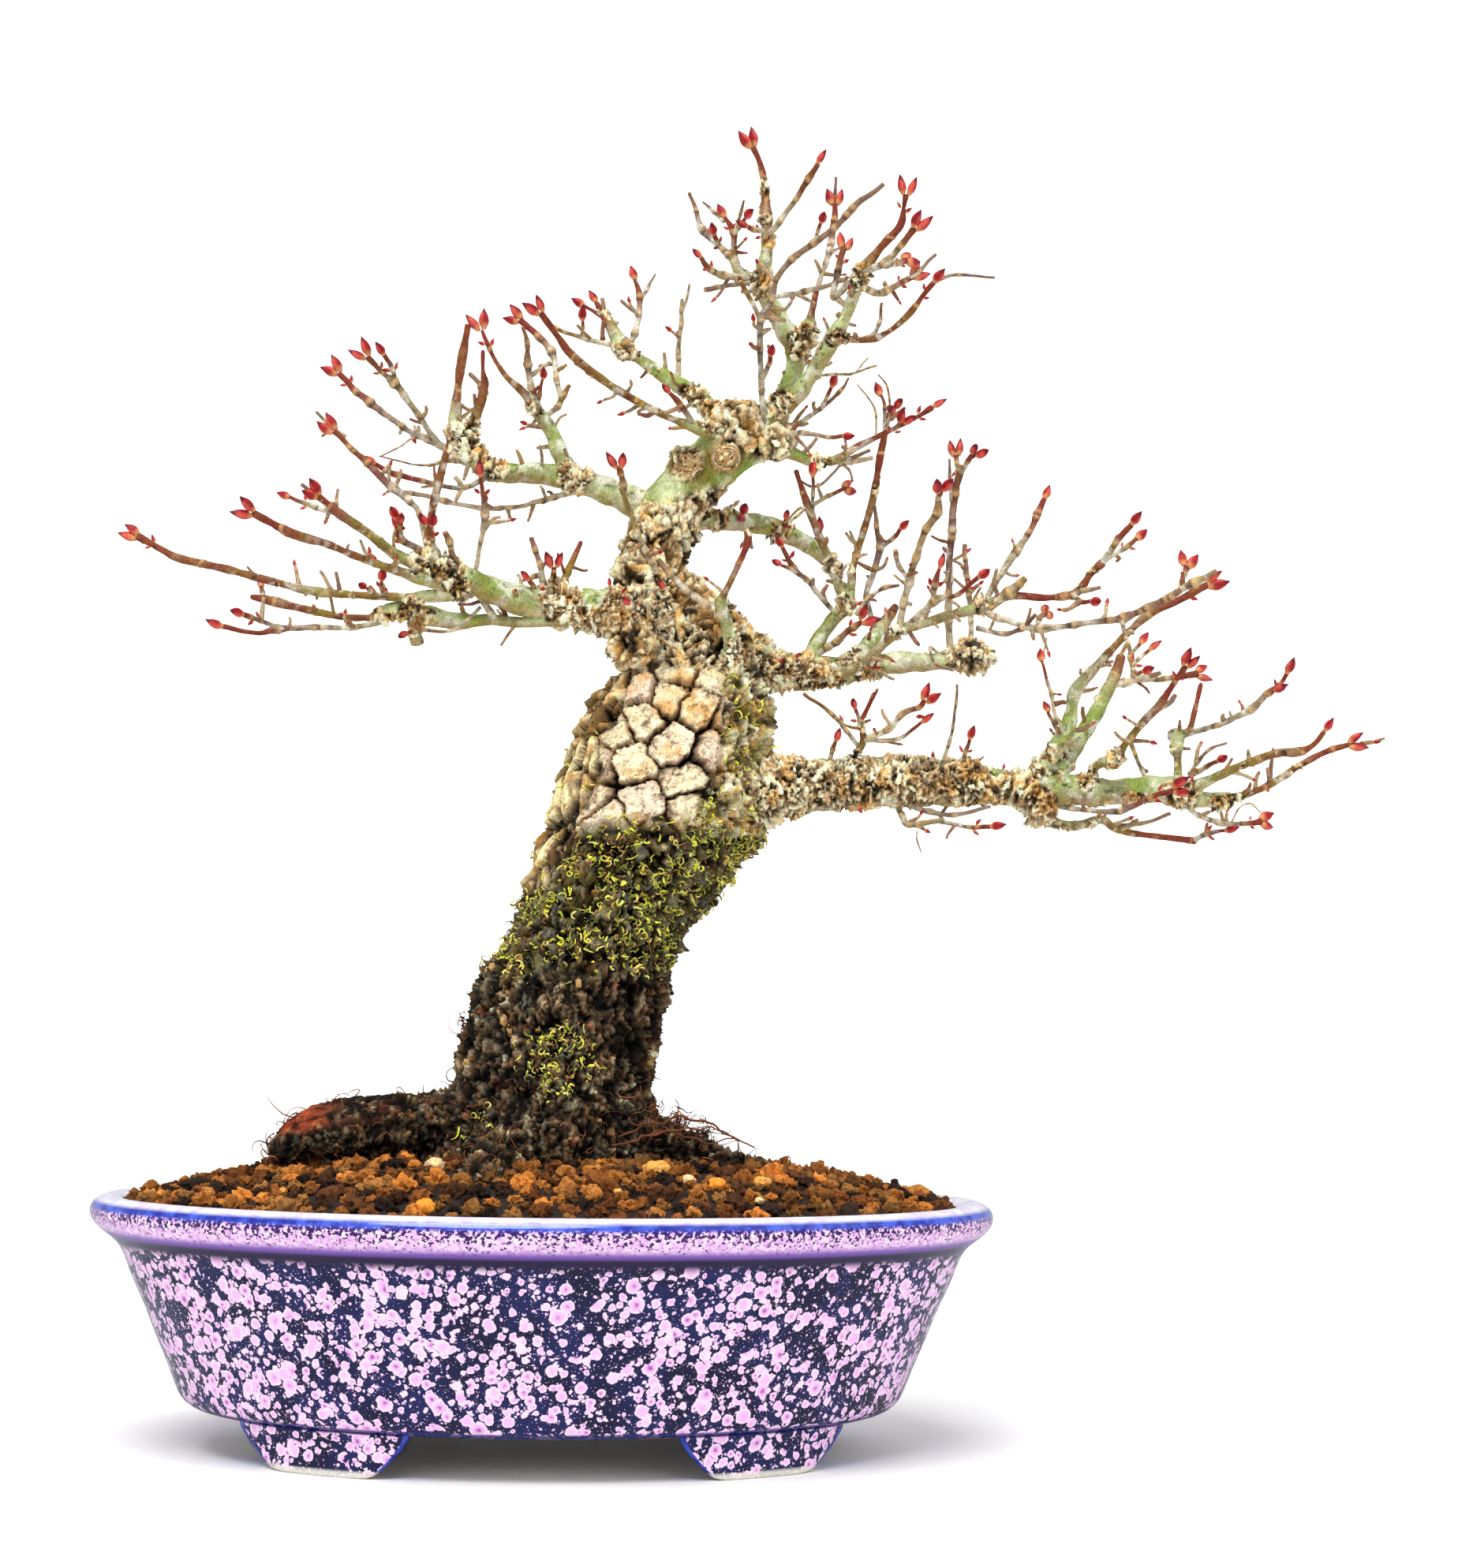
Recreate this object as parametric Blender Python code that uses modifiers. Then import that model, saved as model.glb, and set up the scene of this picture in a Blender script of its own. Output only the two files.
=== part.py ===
"""Rough-bark Japanese maple bonsai in winter: an oval glazed pot on four cloud feet, a mounded bed
of granular soil, one trunk with its surface roots, and the limbs and shoots that grow from it.

Lengths in the tables are millimetres. The pot's middle is at x = y = 0 and its feet stand on z = 0;
x runs to the viewer's right and y away from the viewer.
"""
import math
import random

import bmesh
import bpy
from mathutils import Vector, noise

MM = 0.001

# ---------------------------------------------------------------- driving sizes
POT_LENGTH = 170.0
POT_WIDTH = 126.0
POT_HEIGHT = 47.0
FOOT_HEIGHT = 7.5
WALL = 6.5
FLOOR = 5.0
LIP_HEIGHT = 8.5
FOOT_SPREAD = 78.0
FOOT_TOP_WIDTH = 31.0
FOOT_SOLE_WIDTH = 18.0
FOOT_BELLY = 1.4
DRAIN_HOLE = 15.0
DRAIN_SPREAD = 68.0
SOIL_RISE = 8.5
TREE_SCALE = 1.0
TRUNK_GIRTH = 1.0
LIMB_GIRTH = 1.0
DEPTH_SPREAD = 1.6
VIEW_DISTANCE = 600.0
VIEW_HEIGHT = 83.3
VIEW_SIDE = -8.6

# ---------------------------------------------------------------- clearances
GAP = 0.3
WALL_SIDES = 44

# ---------------------------------------------------------------- sizes that follow
ASPECT = POT_WIDTH / POT_LENGTH
HALF = POT_LENGTH / 2
BODY_LENGTH = HALF * 0.79
RIM_INNER = HALF - WALL - 0.8
SOIL_LINE = POT_HEIGHT - 1.4
FLOOR_TOP = FOOT_HEIGHT + FLOOR
MESH_SIDE = DRAIN_HOLE + 9.0
MESH_THICK = 0.8
MESH_BAR = 1.2
MESH_WAYS = 4
MESH_ROOM = 3.0
WIRE = 0.6
CLIP_LEG = 3.5
SOIL_CLEAR = 0.9
SOIL_STEPS = 9


def collection(name):
    found = bpy.data.collections.new(name)
    bpy.context.scene.collection.children.link(found)
    return found


for old in list(bpy.data.objects):
    bpy.data.objects.remove(old, do_unlink=True)
BONSAI = collection("potted_maple")
CUTTERS = collection("cutters")


def material(name, colour, roughness=0.6, coat=0.0):
    made = bpy.data.materials.new(name)
    made.use_nodes = True
    shader = made.node_tree.nodes["Principled BSDF"]
    shader.inputs["Base Color"].default_value = (*colour, 1.0)
    shader.inputs["Roughness"].default_value = roughness
    shader.inputs["Coat Weight"].default_value = coat
    return made


GLAZE = material("crystal_glaze", (0.13, 0.08, 0.22), 0.18, 0.6)
SOIL = material("baked_clay_soil", (0.26, 0.12, 0.05), 0.95)
PUMICE = material("pumice", (0.78, 0.62, 0.42), 0.9)
BARK = material("rough_bark", (0.23, 0.16, 0.1), 0.9)
GREEN_BARK = material("young_bark", (0.38, 0.43, 0.25), 0.7)
SHOOT = material("winter_shoot", (0.4, 0.2, 0.12), 0.55)
PLASTIC = material("mesh_plastic", (0.03, 0.035, 0.03), 0.6)
ALUMINIUM = material("clip_wire", (0.42, 0.3, 0.2), 0.4)


# ---------------------------------------------------------------- helpers
def rehome(made, home):
    """Leave an object in one collection only."""
    for old_home in list(made.users_collection):
        old_home.objects.unlink(made)
    home.objects.link(made)
    return made


def mesh_object(name, mesh, look, home=None):
    made = bpy.data.objects.new(name, mesh)
    (home or BONSAI).objects.link(made)
    mesh.materials.clear()
    mesh.materials.append(look)
    return made


def as_cutter(made):
    made.hide_render = True
    made.display_type = "WIRE"
    return made


def tidy(mesh, merge=0.00002):
    """Weld a mesh's caps to its sides and face it outwards."""
    work = bmesh.new()
    work.from_mesh(mesh)
    bmesh.ops.remove_doubles(work, verts=work.verts, dist=merge)
    bmesh.ops.recalc_face_normals(work, faces=work.faces)
    work.to_mesh(mesh)
    work.free()


def frozen(made, merge=0.00002):
    """An object's modifiers or curve made into plain mesh, with its matrix kept."""
    bpy.context.view_layer.update()
    shape = made.evaluated_get(bpy.context.evaluated_depsgraph_get())
    mesh = bpy.data.meshes.new_from_object(shape)
    mesh.transform(made.matrix_world)
    tidy(mesh, merge)
    name, home = made.name, made.users_collection[0]
    look = made.data.materials[0] if made.data.materials else BARK
    bpy.data.objects.remove(made, do_unlink=True)
    return mesh_object(name, mesh, look, home)


def boolean(made, other, operation):
    modifier = made.modifiers.new(operation.lower(), "BOOLEAN")
    modifier.operation = operation
    modifier.solver = "EXACT"
    if isinstance(other, bpy.types.Collection):
        modifier.operand_type = "COLLECTION"
        modifier.collection = other
    else:
        modifier.object = other
    return modifier


def turned(name, profile, look, steps=WALL_SIDES, home=None):
    """A closed profile of (radius, height) turned about z and narrowed to the pot's oval."""
    mesh = bpy.data.meshes.new(name)
    points = [(r * MM, 0, z * MM) for r, z in profile]
    mesh.from_pydata(points, [(i, i + 1) for i in range(len(points) - 1)], [])
    made = mesh_object(name, mesh, look, home)
    spin = made.modifiers.new("spin", "SCREW")
    spin.steps = steps
    spin.render_steps = steps
    spin.use_merge_vertices = True
    spin.merge_threshold = 0.0001
    made.scale = (1, ASPECT, 1)
    return frozen(made, 0.00004)


def in_space(x, z, depth):
    """A point of the front elevation, moved along the viewer's line to its own depth."""
    depth *= DEPTH_SPREAD
    reach = (VIEW_DISTANCE + depth) / VIEW_DISTANCE
    across = VIEW_SIDE + (x - VIEW_SIDE) * reach
    height = VIEW_HEIGHT + (z - VIEW_HEIGHT) * reach
    base = POT_HEIGHT + SOIL_RISE
    return Vector((
        across * TREE_SCALE,
        depth * TREE_SCALE,
        base + (height - base) * TREE_SCALE,
    ))


def tube(name, points, sides, look, home=CUTTERS, more=0.0):
    """A tapering stem through (position, radius) pairs; `more` fattens it on all sides."""
    curve = bpy.data.curves.new(name, "CURVE")
    curve.dimensions = "3D"
    curve.bevel_depth = MM
    curve.bevel_resolution = (sides - 4) // 2
    curve.use_fill_caps = True
    spline = curve.splines.new("POLY")
    spline.points.add(len(points) - 1)
    for point, (place, radius) in zip(spline.points, points):
        point.co = (*(place * MM), 1)
        point.radius = radius + more
    made = bpy.data.objects.new(name, curve)
    home.objects.link(made)
    curve.materials.append(look)
    return frozen(made)


def travelled(points):
    """How far along the front elevation each of a stem's points lies."""
    lengths = [0.0]
    for (x0, z0, _), (x1, z1, _) in zip(points, points[1:]):
        lengths.append(lengths[-1] + math.hypot(x1 - x0, z1 - z0))
    return lengths


def stem_points(row, girth):
    """A table row made into (position, radius) pairs, its depth eased along the stem."""
    base, lean, _, *points = row
    lengths = travelled(points)
    return [
        (in_space(x, z, base + lean * t / lengths[-1]), r * girth * TREE_SCALE)
        for (x, z, r), t in zip(points, lengths)
    ]


def depth_beside(rows, x, z):
    """The depth of whichever stem passes nearest to (x, z) on the front elevation."""
    best = None
    for base, lean, _, *points in rows:
        lengths = travelled(points)
        for n in range(len(points) - 1):
            (x0, z0, _), (x1, z1, _) = points[n : n + 2]
            run = lengths[n + 1] - lengths[n]
            share = ((x - x0) * (x1 - x0) + (z - z0) * (z1 - z0)) / run**2
            share = min(max(share, 0.0), 1.0)
            off = math.hypot(x - x0 - share * (x1 - x0), z - z0 - share * (z1 - z0))
            if best is None or off < best[0]:
                best = (off, base + lean * (lengths[n] + share * run) / lengths[-1])
    return best[1]


def settled(table):
    """The limb tables with every base depth filled in from the wood it springs from."""
    done = {}
    for name, rows in table.items():
        done[name] = []
        parents = [row for parent in GROWS_FROM[name] for row in done.get(parent, [])]
        for base, lean, tip, *points in rows:
            if base is None:
                base = depth_beside(done[name] or parents, *points[0][:2])
            done[name].append((base, lean, tip, *points))
    return done


BUD_SHAPE = ((-0.6, 0.42), (0.7, 0.95), (1.9, 0.75), (3.4, 0.12))


def buds(points, kind):
    """The winter buds on a stem's end: one, or a pair that leans apart."""
    (before, _), (end, radius) = points[-2], points[-1]
    along = (end - before).normalized()
    side = along.cross(Vector((0, 1, 0))).normalized()
    leans = {"bud": (0.0,), "pair": (0.42, -0.42)}[kind]
    for lean in leans:
        way = (along * math.cos(lean) + side * math.sin(lean)).normalized()
        apart = (0.5 if lean > 0 else -0.5 if lean < 0 else 0.0) * TREE_SCALE
        start = end + side * apart
        yield [(start + way * t * TREE_SCALE, r * TREE_SCALE) for t, r in BUD_SHAPE]


def roughened(made, depth, scale):
    """Push a mesh's points in and out a little, as bark or loose grains would be."""
    mesh = made.data
    mesh.update()
    moves = [
        v.normal * noise.noise(v.co / MM * scale) * depth * MM for v in mesh.vertices
    ]
    for vertex, move in zip(mesh.vertices, moves):
        vertex.co += move
    return made


def joined(name, first, parts, look):
    """One grown piece from stems that run into each other."""
    if parts:
        home = collection(name + "_parts")
        for part in parts:
            rehome(part, home)
        boolean(first, home, "UNION")
    whole = frozen(first, 0.000001)
    for part in parts:
        bpy.data.objects.remove(part, do_unlink=True)
    if parts:
        bpy.data.collections.remove(home)
    whole.name = name
    whole.data.materials[0] = look
    return whole


# ---------------------------------------------------------------- pot
def build_pot():
    base, top = FOOT_HEIGHT, POT_HEIGHT
    lip = top - LIP_HEIGHT
    outside = [
        (0.0, base),
        (BODY_LENGTH - 8.0, base),
        (BODY_LENGTH - 2.5, base + 0.4),
        (BODY_LENGTH - 0.4, base + 1.6),
        (BODY_LENGTH + 0.7, base + 3.4),
        (BODY_LENGTH + 2.2, base + 7.5),
        (BODY_LENGTH + 4.6, base + 13.0),
        (BODY_LENGTH + 7.0, base + 19.0),
        (BODY_LENGTH + 9.6, base + 24.5),
        (HALF - 5.4, lip),
        (HALF - 4.6, lip + 0.7),
        (HALF - 2.6, lip + 1.9),
        (HALF - 0.7, lip + 3.6),
        (HALF, lip + 5.3),
        (HALF - 0.5, top - 1.5),
        (HALF - 1.9, top - 0.3),
        (HALF - 3.6, top),
    ]
    inside = [
        (RIM_INNER + 0.9, top - 0.4),
        (RIM_INNER, top - 1.4),
        (RIM_INNER - 1.6, lip - 2.0),
        (BODY_LENGTH + 7.0 - WALL, base + 19.0),
        (BODY_LENGTH + 2.2 - WALL, base + 9.0),
        (BODY_LENGTH - 3.0 - WALL, base + FLOOR + 0.6),
        (BODY_LENGTH - 6.0 - WALL, base + FLOOR),
        (0.0, base + FLOOR),
    ]
    body = turned("pot", list(reversed(outside + inside)), GLAZE)

    feet = collection("feet")
    pairs = [foot_pair(side * FOOT_SPREAD / 2) for side in (-1, 1)]
    for pair in pairs:
        rehome(as_cutter(pair), feet)
    boolean(body, feet, "UNION")
    body = frozen(body)
    for pair in pairs:
        bpy.data.objects.remove(pair, do_unlink=True)
    bpy.data.collections.remove(feet)

    holes = collection("drain_holes")
    drills = []
    for side in (-1, 1):
        bpy.ops.mesh.primitive_cylinder_add(vertices=32, radius=DRAIN_HOLE / 2 * MM, depth=20 * MM)
        drill = bpy.context.object
        drill.location = (side * DRAIN_SPREAD / 2 * MM, 0, (base + 2) * MM)
        rehome(drill, holes)
        drills.append(as_cutter(drill))
    boolean(body, holes, "DIFFERENCE")
    body = frozen(body)
    for drill in drills:
        bpy.data.objects.remove(drill, do_unlink=True)
    bpy.data.collections.remove(holes)
    return body


def foot_pair(middle):
    """The front and back foot on one side: a turned band under the wall, cut to the foot's outline."""
    base = FOOT_HEIGHT
    band = turned(
        "foot_band",
        [
            (BODY_LENGTH - 12.0, base + 2.0),
            (BODY_LENGTH - 11.0, 0.0),
            (BODY_LENGTH - 4.6, 0.0),
            (BODY_LENGTH - 4.0, 0.6),
            (BODY_LENGTH - 3.6, base - 3.2),
            (BODY_LENGTH - 2.6, base - 0.8),
            (BODY_LENGTH - 2.6, base + 2.0),
            (BODY_LENGTH - 12.0, base + 2.0),
        ],
        GLAZE,
        home=CUTTERS,
    )
    outline = as_cutter(foot_outline(middle))
    boolean(band, outline, "INTERSECT")
    pair = frozen(band)
    bpy.data.objects.remove(outline, do_unlink=True)
    return pair


def foot_outline(middle):
    """A cloud foot seen from the front, run right through the pot from front to back."""
    top, sole = FOOT_TOP_WIDTH / 2, FOOT_SOLE_WIDTH / 2
    height = FOOT_HEIGHT + 2.5
    right = [(sole, -0.5), (sole, 0.0)]
    for step in range(1, 7):
        share = step / 6
        across = sole + (top - sole) * (1 - (1 - share) ** FOOT_BELLY)
        right.append((across, FOOT_HEIGHT * share))
    right.append((top + 0.4, height))
    outline = right + [(-x, z) for x, z in reversed(right)]
    curve = bpy.data.curves.new("foot_outline", "CURVE")
    curve.dimensions = "2D"
    curve.fill_mode = "BOTH"
    curve.extrude = POT_WIDTH / 2 * MM
    spline = curve.splines.new("POLY")
    spline.points.add(len(outline) - 1)
    for point, (x, z) in zip(spline.points, outline):
        point.co = (x * MM, z * MM, 0, 1)
    spline.use_cyclic_u = True
    made = bpy.data.objects.new("foot_outline", curve)
    CUTTERS.objects.link(made)
    made.location = (middle * MM, 0, 0)
    made.rotation_euler = (math.radians(90), 0, 0)
    curve.materials.append(GLAZE)
    return frozen(made)


# ---------------------------------------------------------------- drainage
def drain_screen(name, x):
    """A square of plastic netting laid on the pot's floor over a drain hole."""
    bars = []
    pitch = MESH_SIDE / MESH_WAYS
    low = FLOOR_TOP + GAP
    for row in range(MESH_WAYS + 1):
        offset = -MESH_SIDE / 2 + row * pitch
        for along in (0, 1):
            length = MESH_SIDE + MESH_BAR
            size = (length, MESH_BAR) if along else (MESH_BAR, length)
            place = (x, offset) if along else (x + offset, 0)
            bpy.ops.mesh.primitive_cube_add(size=1)
            bar = bpy.context.object
            bar.name = f"{name}_bar"
            bar.scale = (size[0] * MM, size[1] * MM, (MESH_THICK - 0.1 * along) * MM)
            bar.location = (place[0] * MM, place[1] * MM, (low + MESH_THICK / 2) * MM)
            rehome(bar, CUTTERS)
            bar.data.materials.append(PLASTIC)
            bars.append(frozen(bar))
    first, rest = bars[0], bars[1:]
    rehome(first, BONSAI)
    return joined(name, first, rest, PLASTIC)


def drain_clip(name, x):
    """A staple of wire that pins the screen: over it, down the hole and out beneath the floor."""
    over = FLOOR_TOP + GAP + MESH_THICK + GAP + WIRE
    under = FOOT_HEIGHT - GAP - WIRE
    reach = DRAIN_HOLE / 2
    inset = gate = MESH_SIDE / 8
    route = [
        (x - reach - CLIP_LEG, under),
        (x - inset, under),
        (x - inset, over),
        (x + inset, over),
        (x + inset, under),
        (x + reach + CLIP_LEG, under),
    ]
    points = [(Vector((across, gate, height)), WIRE) for across, height in route]
    made = tube(name, points, 8, ALUMINIUM)
    rehome(made, BONSAI)
    return made


# ---------------------------------------------------------------- tree tables
# Each stem: its base's depth, how much deeper its tip stands, what ends it, then (x, z, radius) along
# it. A base depth of None is taken from the stem it springs from.
TRUNK = (
    0, 4, "cut",
    (-1, 36, 17), (-1, 44, 22), (-0.5, 51, 23), (0.5, 58, 21.3), (1, 64, 19.8), (1.5, 70, 19.2),
    (2.5, 77, 18.9), (4, 83, 18.9), (6.5, 89, 17.4), (8.5, 95, 16.9), (11, 101, 16.9),
    (13.5, 107, 17.9), (17, 113, 19.2), (20, 120, 20.2), (22, 127, 19.9), (24, 134, 18.7),
    (26, 141, 16.4), (26.7, 147, 13.6), (25, 153, 11), (21, 159, 8.6), (18, 165, 7), (18.7, 171, 6.3),
    (20.8, 176, 6.8), (24, 181, 6), (28.5, 186, 5.3), (32, 190, 5.6), (36, 193.5, 6.3), (39.5, 195.5, 4.6),
)
ROOTS = (
    (0, -5, "cut", (-6, 60, 9), (-18, 59, 8), (-27, 59, 6.9), (-36, 58.8, 6.3), (-41.5, 58.6, 5.3),
     (-46, 57.2, 4.2), (-50.5, 53.6, 3)),
    (-1, -6, "cut", (10, 56, 8), (19, 56, 6), (27, 54.8, 4.2), (36, 52.5, 3), (46, 49.5, 2)),
    (-5, -17, "cut", (-4, 55, 10), (-7, 54, 7), (-10, 52, 4.5), (-14, 49, 3)),
    (5, 18, "cut", (6, 56, 10), (9, 55, 7), (13, 52.5, 4.6), (18, 49, 3)),
)
KNOBS = (
    (3, (24.3, 187.3, 3.3)), (-1, (32, 188.4, 2.8)), (1, (42, 191.6, 3.6)), (4, (33, 196.5, 3.4)),
    (-3, (33, 154, 4.6)), (3, (36.5, 150, 5.5)), (0, (36, 116, 6)), (-3, (15, 151.5, 5)),
)
LIMBS = {
    "limb_left_low": (
        (0, -12, "cut", (20, 157.5, 6), (12, 158, 4.7), (5, 158.6, 3.9), (-5, 159.5, 3.2),
         (-10, 160.9, 2.7),
         (-15, 162.7, 2.5), (-20, 165, 2.4), (-24, 167, 2), (-28, 167.5, 1.5)),
        (None, -8, "pair", (-26, 166, 1.5), (-31, 168.3, 1.3), (-36, 172, 1.1), (-41.5, 175.6, 1.2),
         (-44.5, 178, 0.8), (-45.7, 179, 0.9)),
        (None, 3, "bud", (-41.5, 175.6, 0.6), (-46.5, 177, 0.7), (-51, 178.6, 0.5)),
        (None, -17, "pair", (-19, 162.5, 1.7), (-25, 163.6, 1.6), (-31, 165.2, 1.1), (-38, 167.5, 1),
         (-44, 169.9, 1), (-49.8, 171.4, 1.2), (-55, 173.9, 0.9), (-58, 175.4, 1)),
        (None, 12, "pair", (-18, 161, 1.5), (-24, 160.3, 1.4), (-30, 160, 1.1), (-38, 160.2, 1),
         (-46, 160.7, 1.2), (-54, 162.4, 1), (-63, 164.6, 1), (-71.3, 166.3, 1.1), (-75, 168, 0.8),
         (-79.5, 170.4, 1)),
        (None, -3, "bud", (-22, 167, 0.9), (-25.5, 169, 0.9), (-29.6, 171, 0.9), (-30.4, 173, 0.7)),
        (None, -8, "cut", (-21.4, 166.2, 1), (-24.6, 171, 0.95), (-24, 177, 1), (-22.3, 185, 1),
         (-20.7, 191, 1), (-20.2, 195, 1.3), (-19.6, 201, 0.9), (-19, 206, 1.1), (-17.9, 213, 0.8)),
        (None, 3, "pair", (-25, 170, 0.7), (-26.5, 176, 0.7), (-28.6, 178.3, 0.8), (-31.5, 180.9, 1.1),
         (-36.7, 185.6, 0.9), (-40, 188.6, 0.6), (-43, 191.5, 0.8)),
        (None, -8, "bud", (-15.8, 164, 0.7), (-14.6, 171.5, 0.6), (-14, 176.4, 0.9), (-15, 183.6, 0.5)),
        (None, -3, "pair", (-0.5, 160, 1.6), (-0.6, 164, 1), (-0.6, 166.4, 0.6)),
        (None, 4, "cut", (0, 160, 1.4), (2, 165.5, 1), (4.5, 171.5, 0.7)),
    ),
    "branch_left_under": (
        (-6, 0, "cut", (2, 156.5, 1.5), (-6, 155.7, 1.3), (-13, 156, 1.3), (-19, 155.6, 1.7),
         (-25, 156.6, 2), (-30, 157.5, 1.9), (-35, 155.8, 1.4)),
        (None, 4, "cut", (-33, 156, 1), (-40, 155.9, 0.9), (-48, 157.3, 0.9), (-54, 158.7, 1.3),
         (-58, 159.4, 0.7)),
        (None, -6, "bud", (-33, 155.4, 1), (-38, 154.1, 0.7), (-46, 153.8, 0.7), (-52.7, 153.4, 0.9),
         (-57, 152.4, 0.6), (-63, 153.6, 0.7)),
        (None, -5.5, "bud", (-51.5, 153.3, 0.6), (-56, 154.9, 0.6), (-59.3, 156, 0.7)),
        (None, 1, "cut", (-26, 156, 1.3), (-26.6, 153, 1.4), (-26.3, 151, 1.5)),
        (None, -6, "cut", (-11.5, 156, 1.1), (-15.6, 161.5, 0.8), (-18.6, 166, 0.7), (-20.6, 169.4, 0.6)),
    ),
    "limb_left_mid": (
        (3, 3, "cut", (19, 177.5, 3.4), (11, 180.8, 2.8), (5, 182.8, 2.5), (0, 184, 2.3), (-5, 184.5, 2.2),
         (-10, 184.4, 2), (-13.5, 185, 2.2), (-16.5, 188, 2.1), (-18, 191, 2.1), (-16.6, 194, 1.4),
         (-15.2, 198, 1.2), (-14.5, 201.4, 1), (-14.9, 204, 0.7), (-15, 208, 0.6)),
        (None, 6, "pair", (-13, 184.5, 1), (-19, 187.6, 1.1), (-25, 190.4, 1.1), (-30, 192.7, 0.7),
         (-36, 197.1, 1), (-39, 199.3, 0.9), (-42.3, 202.8, 0.8)),
        (None, -5.5, "pair", (-23, 189.5, 0.9), (-27, 195, 0.8), (-30, 199, 0.9), (-31.8, 201.2, 1.1),
         (-34, 203, 0.6), (-37, 206, 0.9)),
        (None, -2, "bud", (-31.5, 200.8, 0.7), (-32, 203.5, 0.6), (-33.8, 206.5, 0.7)),
        (None, -9, "bud", (-13, 184, 0.9), (-18, 181.4, 0.7), (-24, 182, 0.6), (-31, 183.6, 0.8),
         (-35, 185.6, 0.6)),
        (None, 10, "cut", (6, 182.2, 1), (-3, 179.2, 0.7), (-9, 177.8, 0.6), (-15, 177.5, 0.6),
         (-22, 178.7, 0.7), (-28, 180, 0.6), (-31, 180.2, 0.4)),
    ),
    "branch_left_upright": (
        (None, -2, "pair", (2.5, 184, 1.9), (0.3, 188, 1.7), (-1.8, 193, 1.6), (-4.6, 196.8, 1.5),
         (-7, 200, 1.1), (-10.2, 202.8, 0.8), (-12.5, 206, 0.6), (-14.3, 209.6, 0.6), (-15.3, 212, 0.5)),
        (None, -4.5, "cut", (-4.8, 197, 1.1), (-5.6, 201, 0.8), (-6.3, 205.7, 0.9), (-6.4, 209, 0.6),
         (-7.4, 212.8, 0.5)),
        (None, -3.5, "bud", (-4.4, 196.5, 0.8), (-4, 200, 0.5), (-3.4, 202.8, 0.4)),
        (None, 4.5, "cut", (-3, 195.5, 0.9), (-0.4, 197.5, 0.8), (0.6, 199.6, 0.8), (1.8, 201.4, 0.6)),
        (None, 4, "pair", (0.2, 199, 0.8), (-0.8, 203, 0.7), (-1.8, 208, 1), (-4.4, 211.2, 0.8),
         (-8, 214, 0.9)),
    ),
    "shoot_left_long": (
        (2, -12, "pair", (33, 192.5, 1.5), (27, 194, 1.6), (22, 195.6, 1), (16, 198.3, 1), (9, 202.3, 1),
         (2.4, 207.3, 1.1), (-0.6, 211, 0.8), (-4, 215.6, 1)),
        (None, -5, "bud", (26, 194.2, 0.9), (22.6, 199, 0.8), (21, 200.8, 0.6)),
    ),
    "limb_upper_left": (
        (4, 12, "bud", (34, 194, 2.2), (29.5, 197.3, 1.8), (26, 200.4, 1.8), (21, 203.4, 1.6),
         (15, 207.2, 1.3), (12, 209, 1.9), (10.3, 212, 1.5), (8, 215.6, 1.2), (6.6, 218, 0.7)),
        (None, 4, "bud", (12.6, 208.6, 1), (14, 212, 0.8), (14.9, 216, 0.7), (15, 219.4, 0.9),
         (14, 222.6, 0.5)),
        (None, 2.5, "cut", (15, 218.6, 0.6), (16.3, 220.8, 0.5), (17.8, 224, 0.3)),
        (None, 4, "cut", (11, 209.6, 0.9), (5, 210.8, 0.7), (1, 212, 0.5), (-2.6, 213.6, 0.5)),
        (None, 1, "cut", (22.6, 203, 0.9), (22.6, 209, 0.6), (23, 214, 0.6), (23.2, 219, 0.5)),
    ),
    "apex_leader": (
        (3, -3, "pair", (38.5, 195, 2.4), (42.5, 200, 1.9), (44.8, 205, 1.9), (45.6, 209.5, 2.3),
         (43.6, 213, 2.1), (41.3, 217, 1.9), (39, 221, 1.8), (38.8, 225, 1.6), (39.5, 230, 1.4),
         (39.2, 236, 1.3), (38.8, 241.5, 1), (38.6, 243.6, 0.9), (37.6, 247, 0.7), (36.4, 249.4, 1)),
        (None, -6, "bud", (39.4, 232, 1), (42, 235.2, 0.8), (45, 239.6, 0.7), (47.3, 243.5, 0.9),
         (49, 246.6, 0.7)),
        (None, 3, "bud", (38.8, 222.5, 1.3), (35, 224.3, 1.3), (33.4, 226, 1.2), (33, 229.5, 0.9),
         (32.9, 232.6, 1), (31.2, 235.4, 0.6)),
        (None, -5.4, "bud", (32.9, 232, 0.6), (34.4, 234.4, 0.5), (35.2, 235.6, 0.5)),
        (None, 7.4, "cut", (34, 225, 1), (31, 229, 0.8), (27, 232.6, 0.9), (25.6, 236.6, 0.6),
         (24.3, 240, 0.5)),
        (None, -2, "bud", (30, 230, 0.7), (29.2, 232, 0.7)),
        (None, -6, "bud", (36, 223.5, 1.1), (31, 224, 1), (28, 225.8, 0.8), (26.6, 227.4, 0.6)),
        (None, -4, "cut", (36.5, 222.8, 0.8), (31, 221.8, 0.6), (27.5, 221, 0.7)),
        (None, -1, "cut", (45.4, 210, 1.6), (47.4, 213, 1.8), (48.4, 218, 0.9), (49.3, 222.4, 0.8)),
        (None, 4, "pair", (49.2, 221.6, 0.8), (50.8, 227, 0.7), (51.9, 231, 0.9), (52.4, 235.6, 0.8),
         (52.5, 238.6, 0.8)),
    ),
    "riser_front": (
        (1, -10, "cut", (39.8, 194, 1.1), (38.8, 202, 0.8), (38.3, 210, 0.8), (38.5, 215.5, 1),
         (40.2, 219, 0.7), (41.6, 224, 0.7), (44.5, 227.7, 0.9), (48.5, 231, 0.9), (52.5, 234, 0.8),
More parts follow.
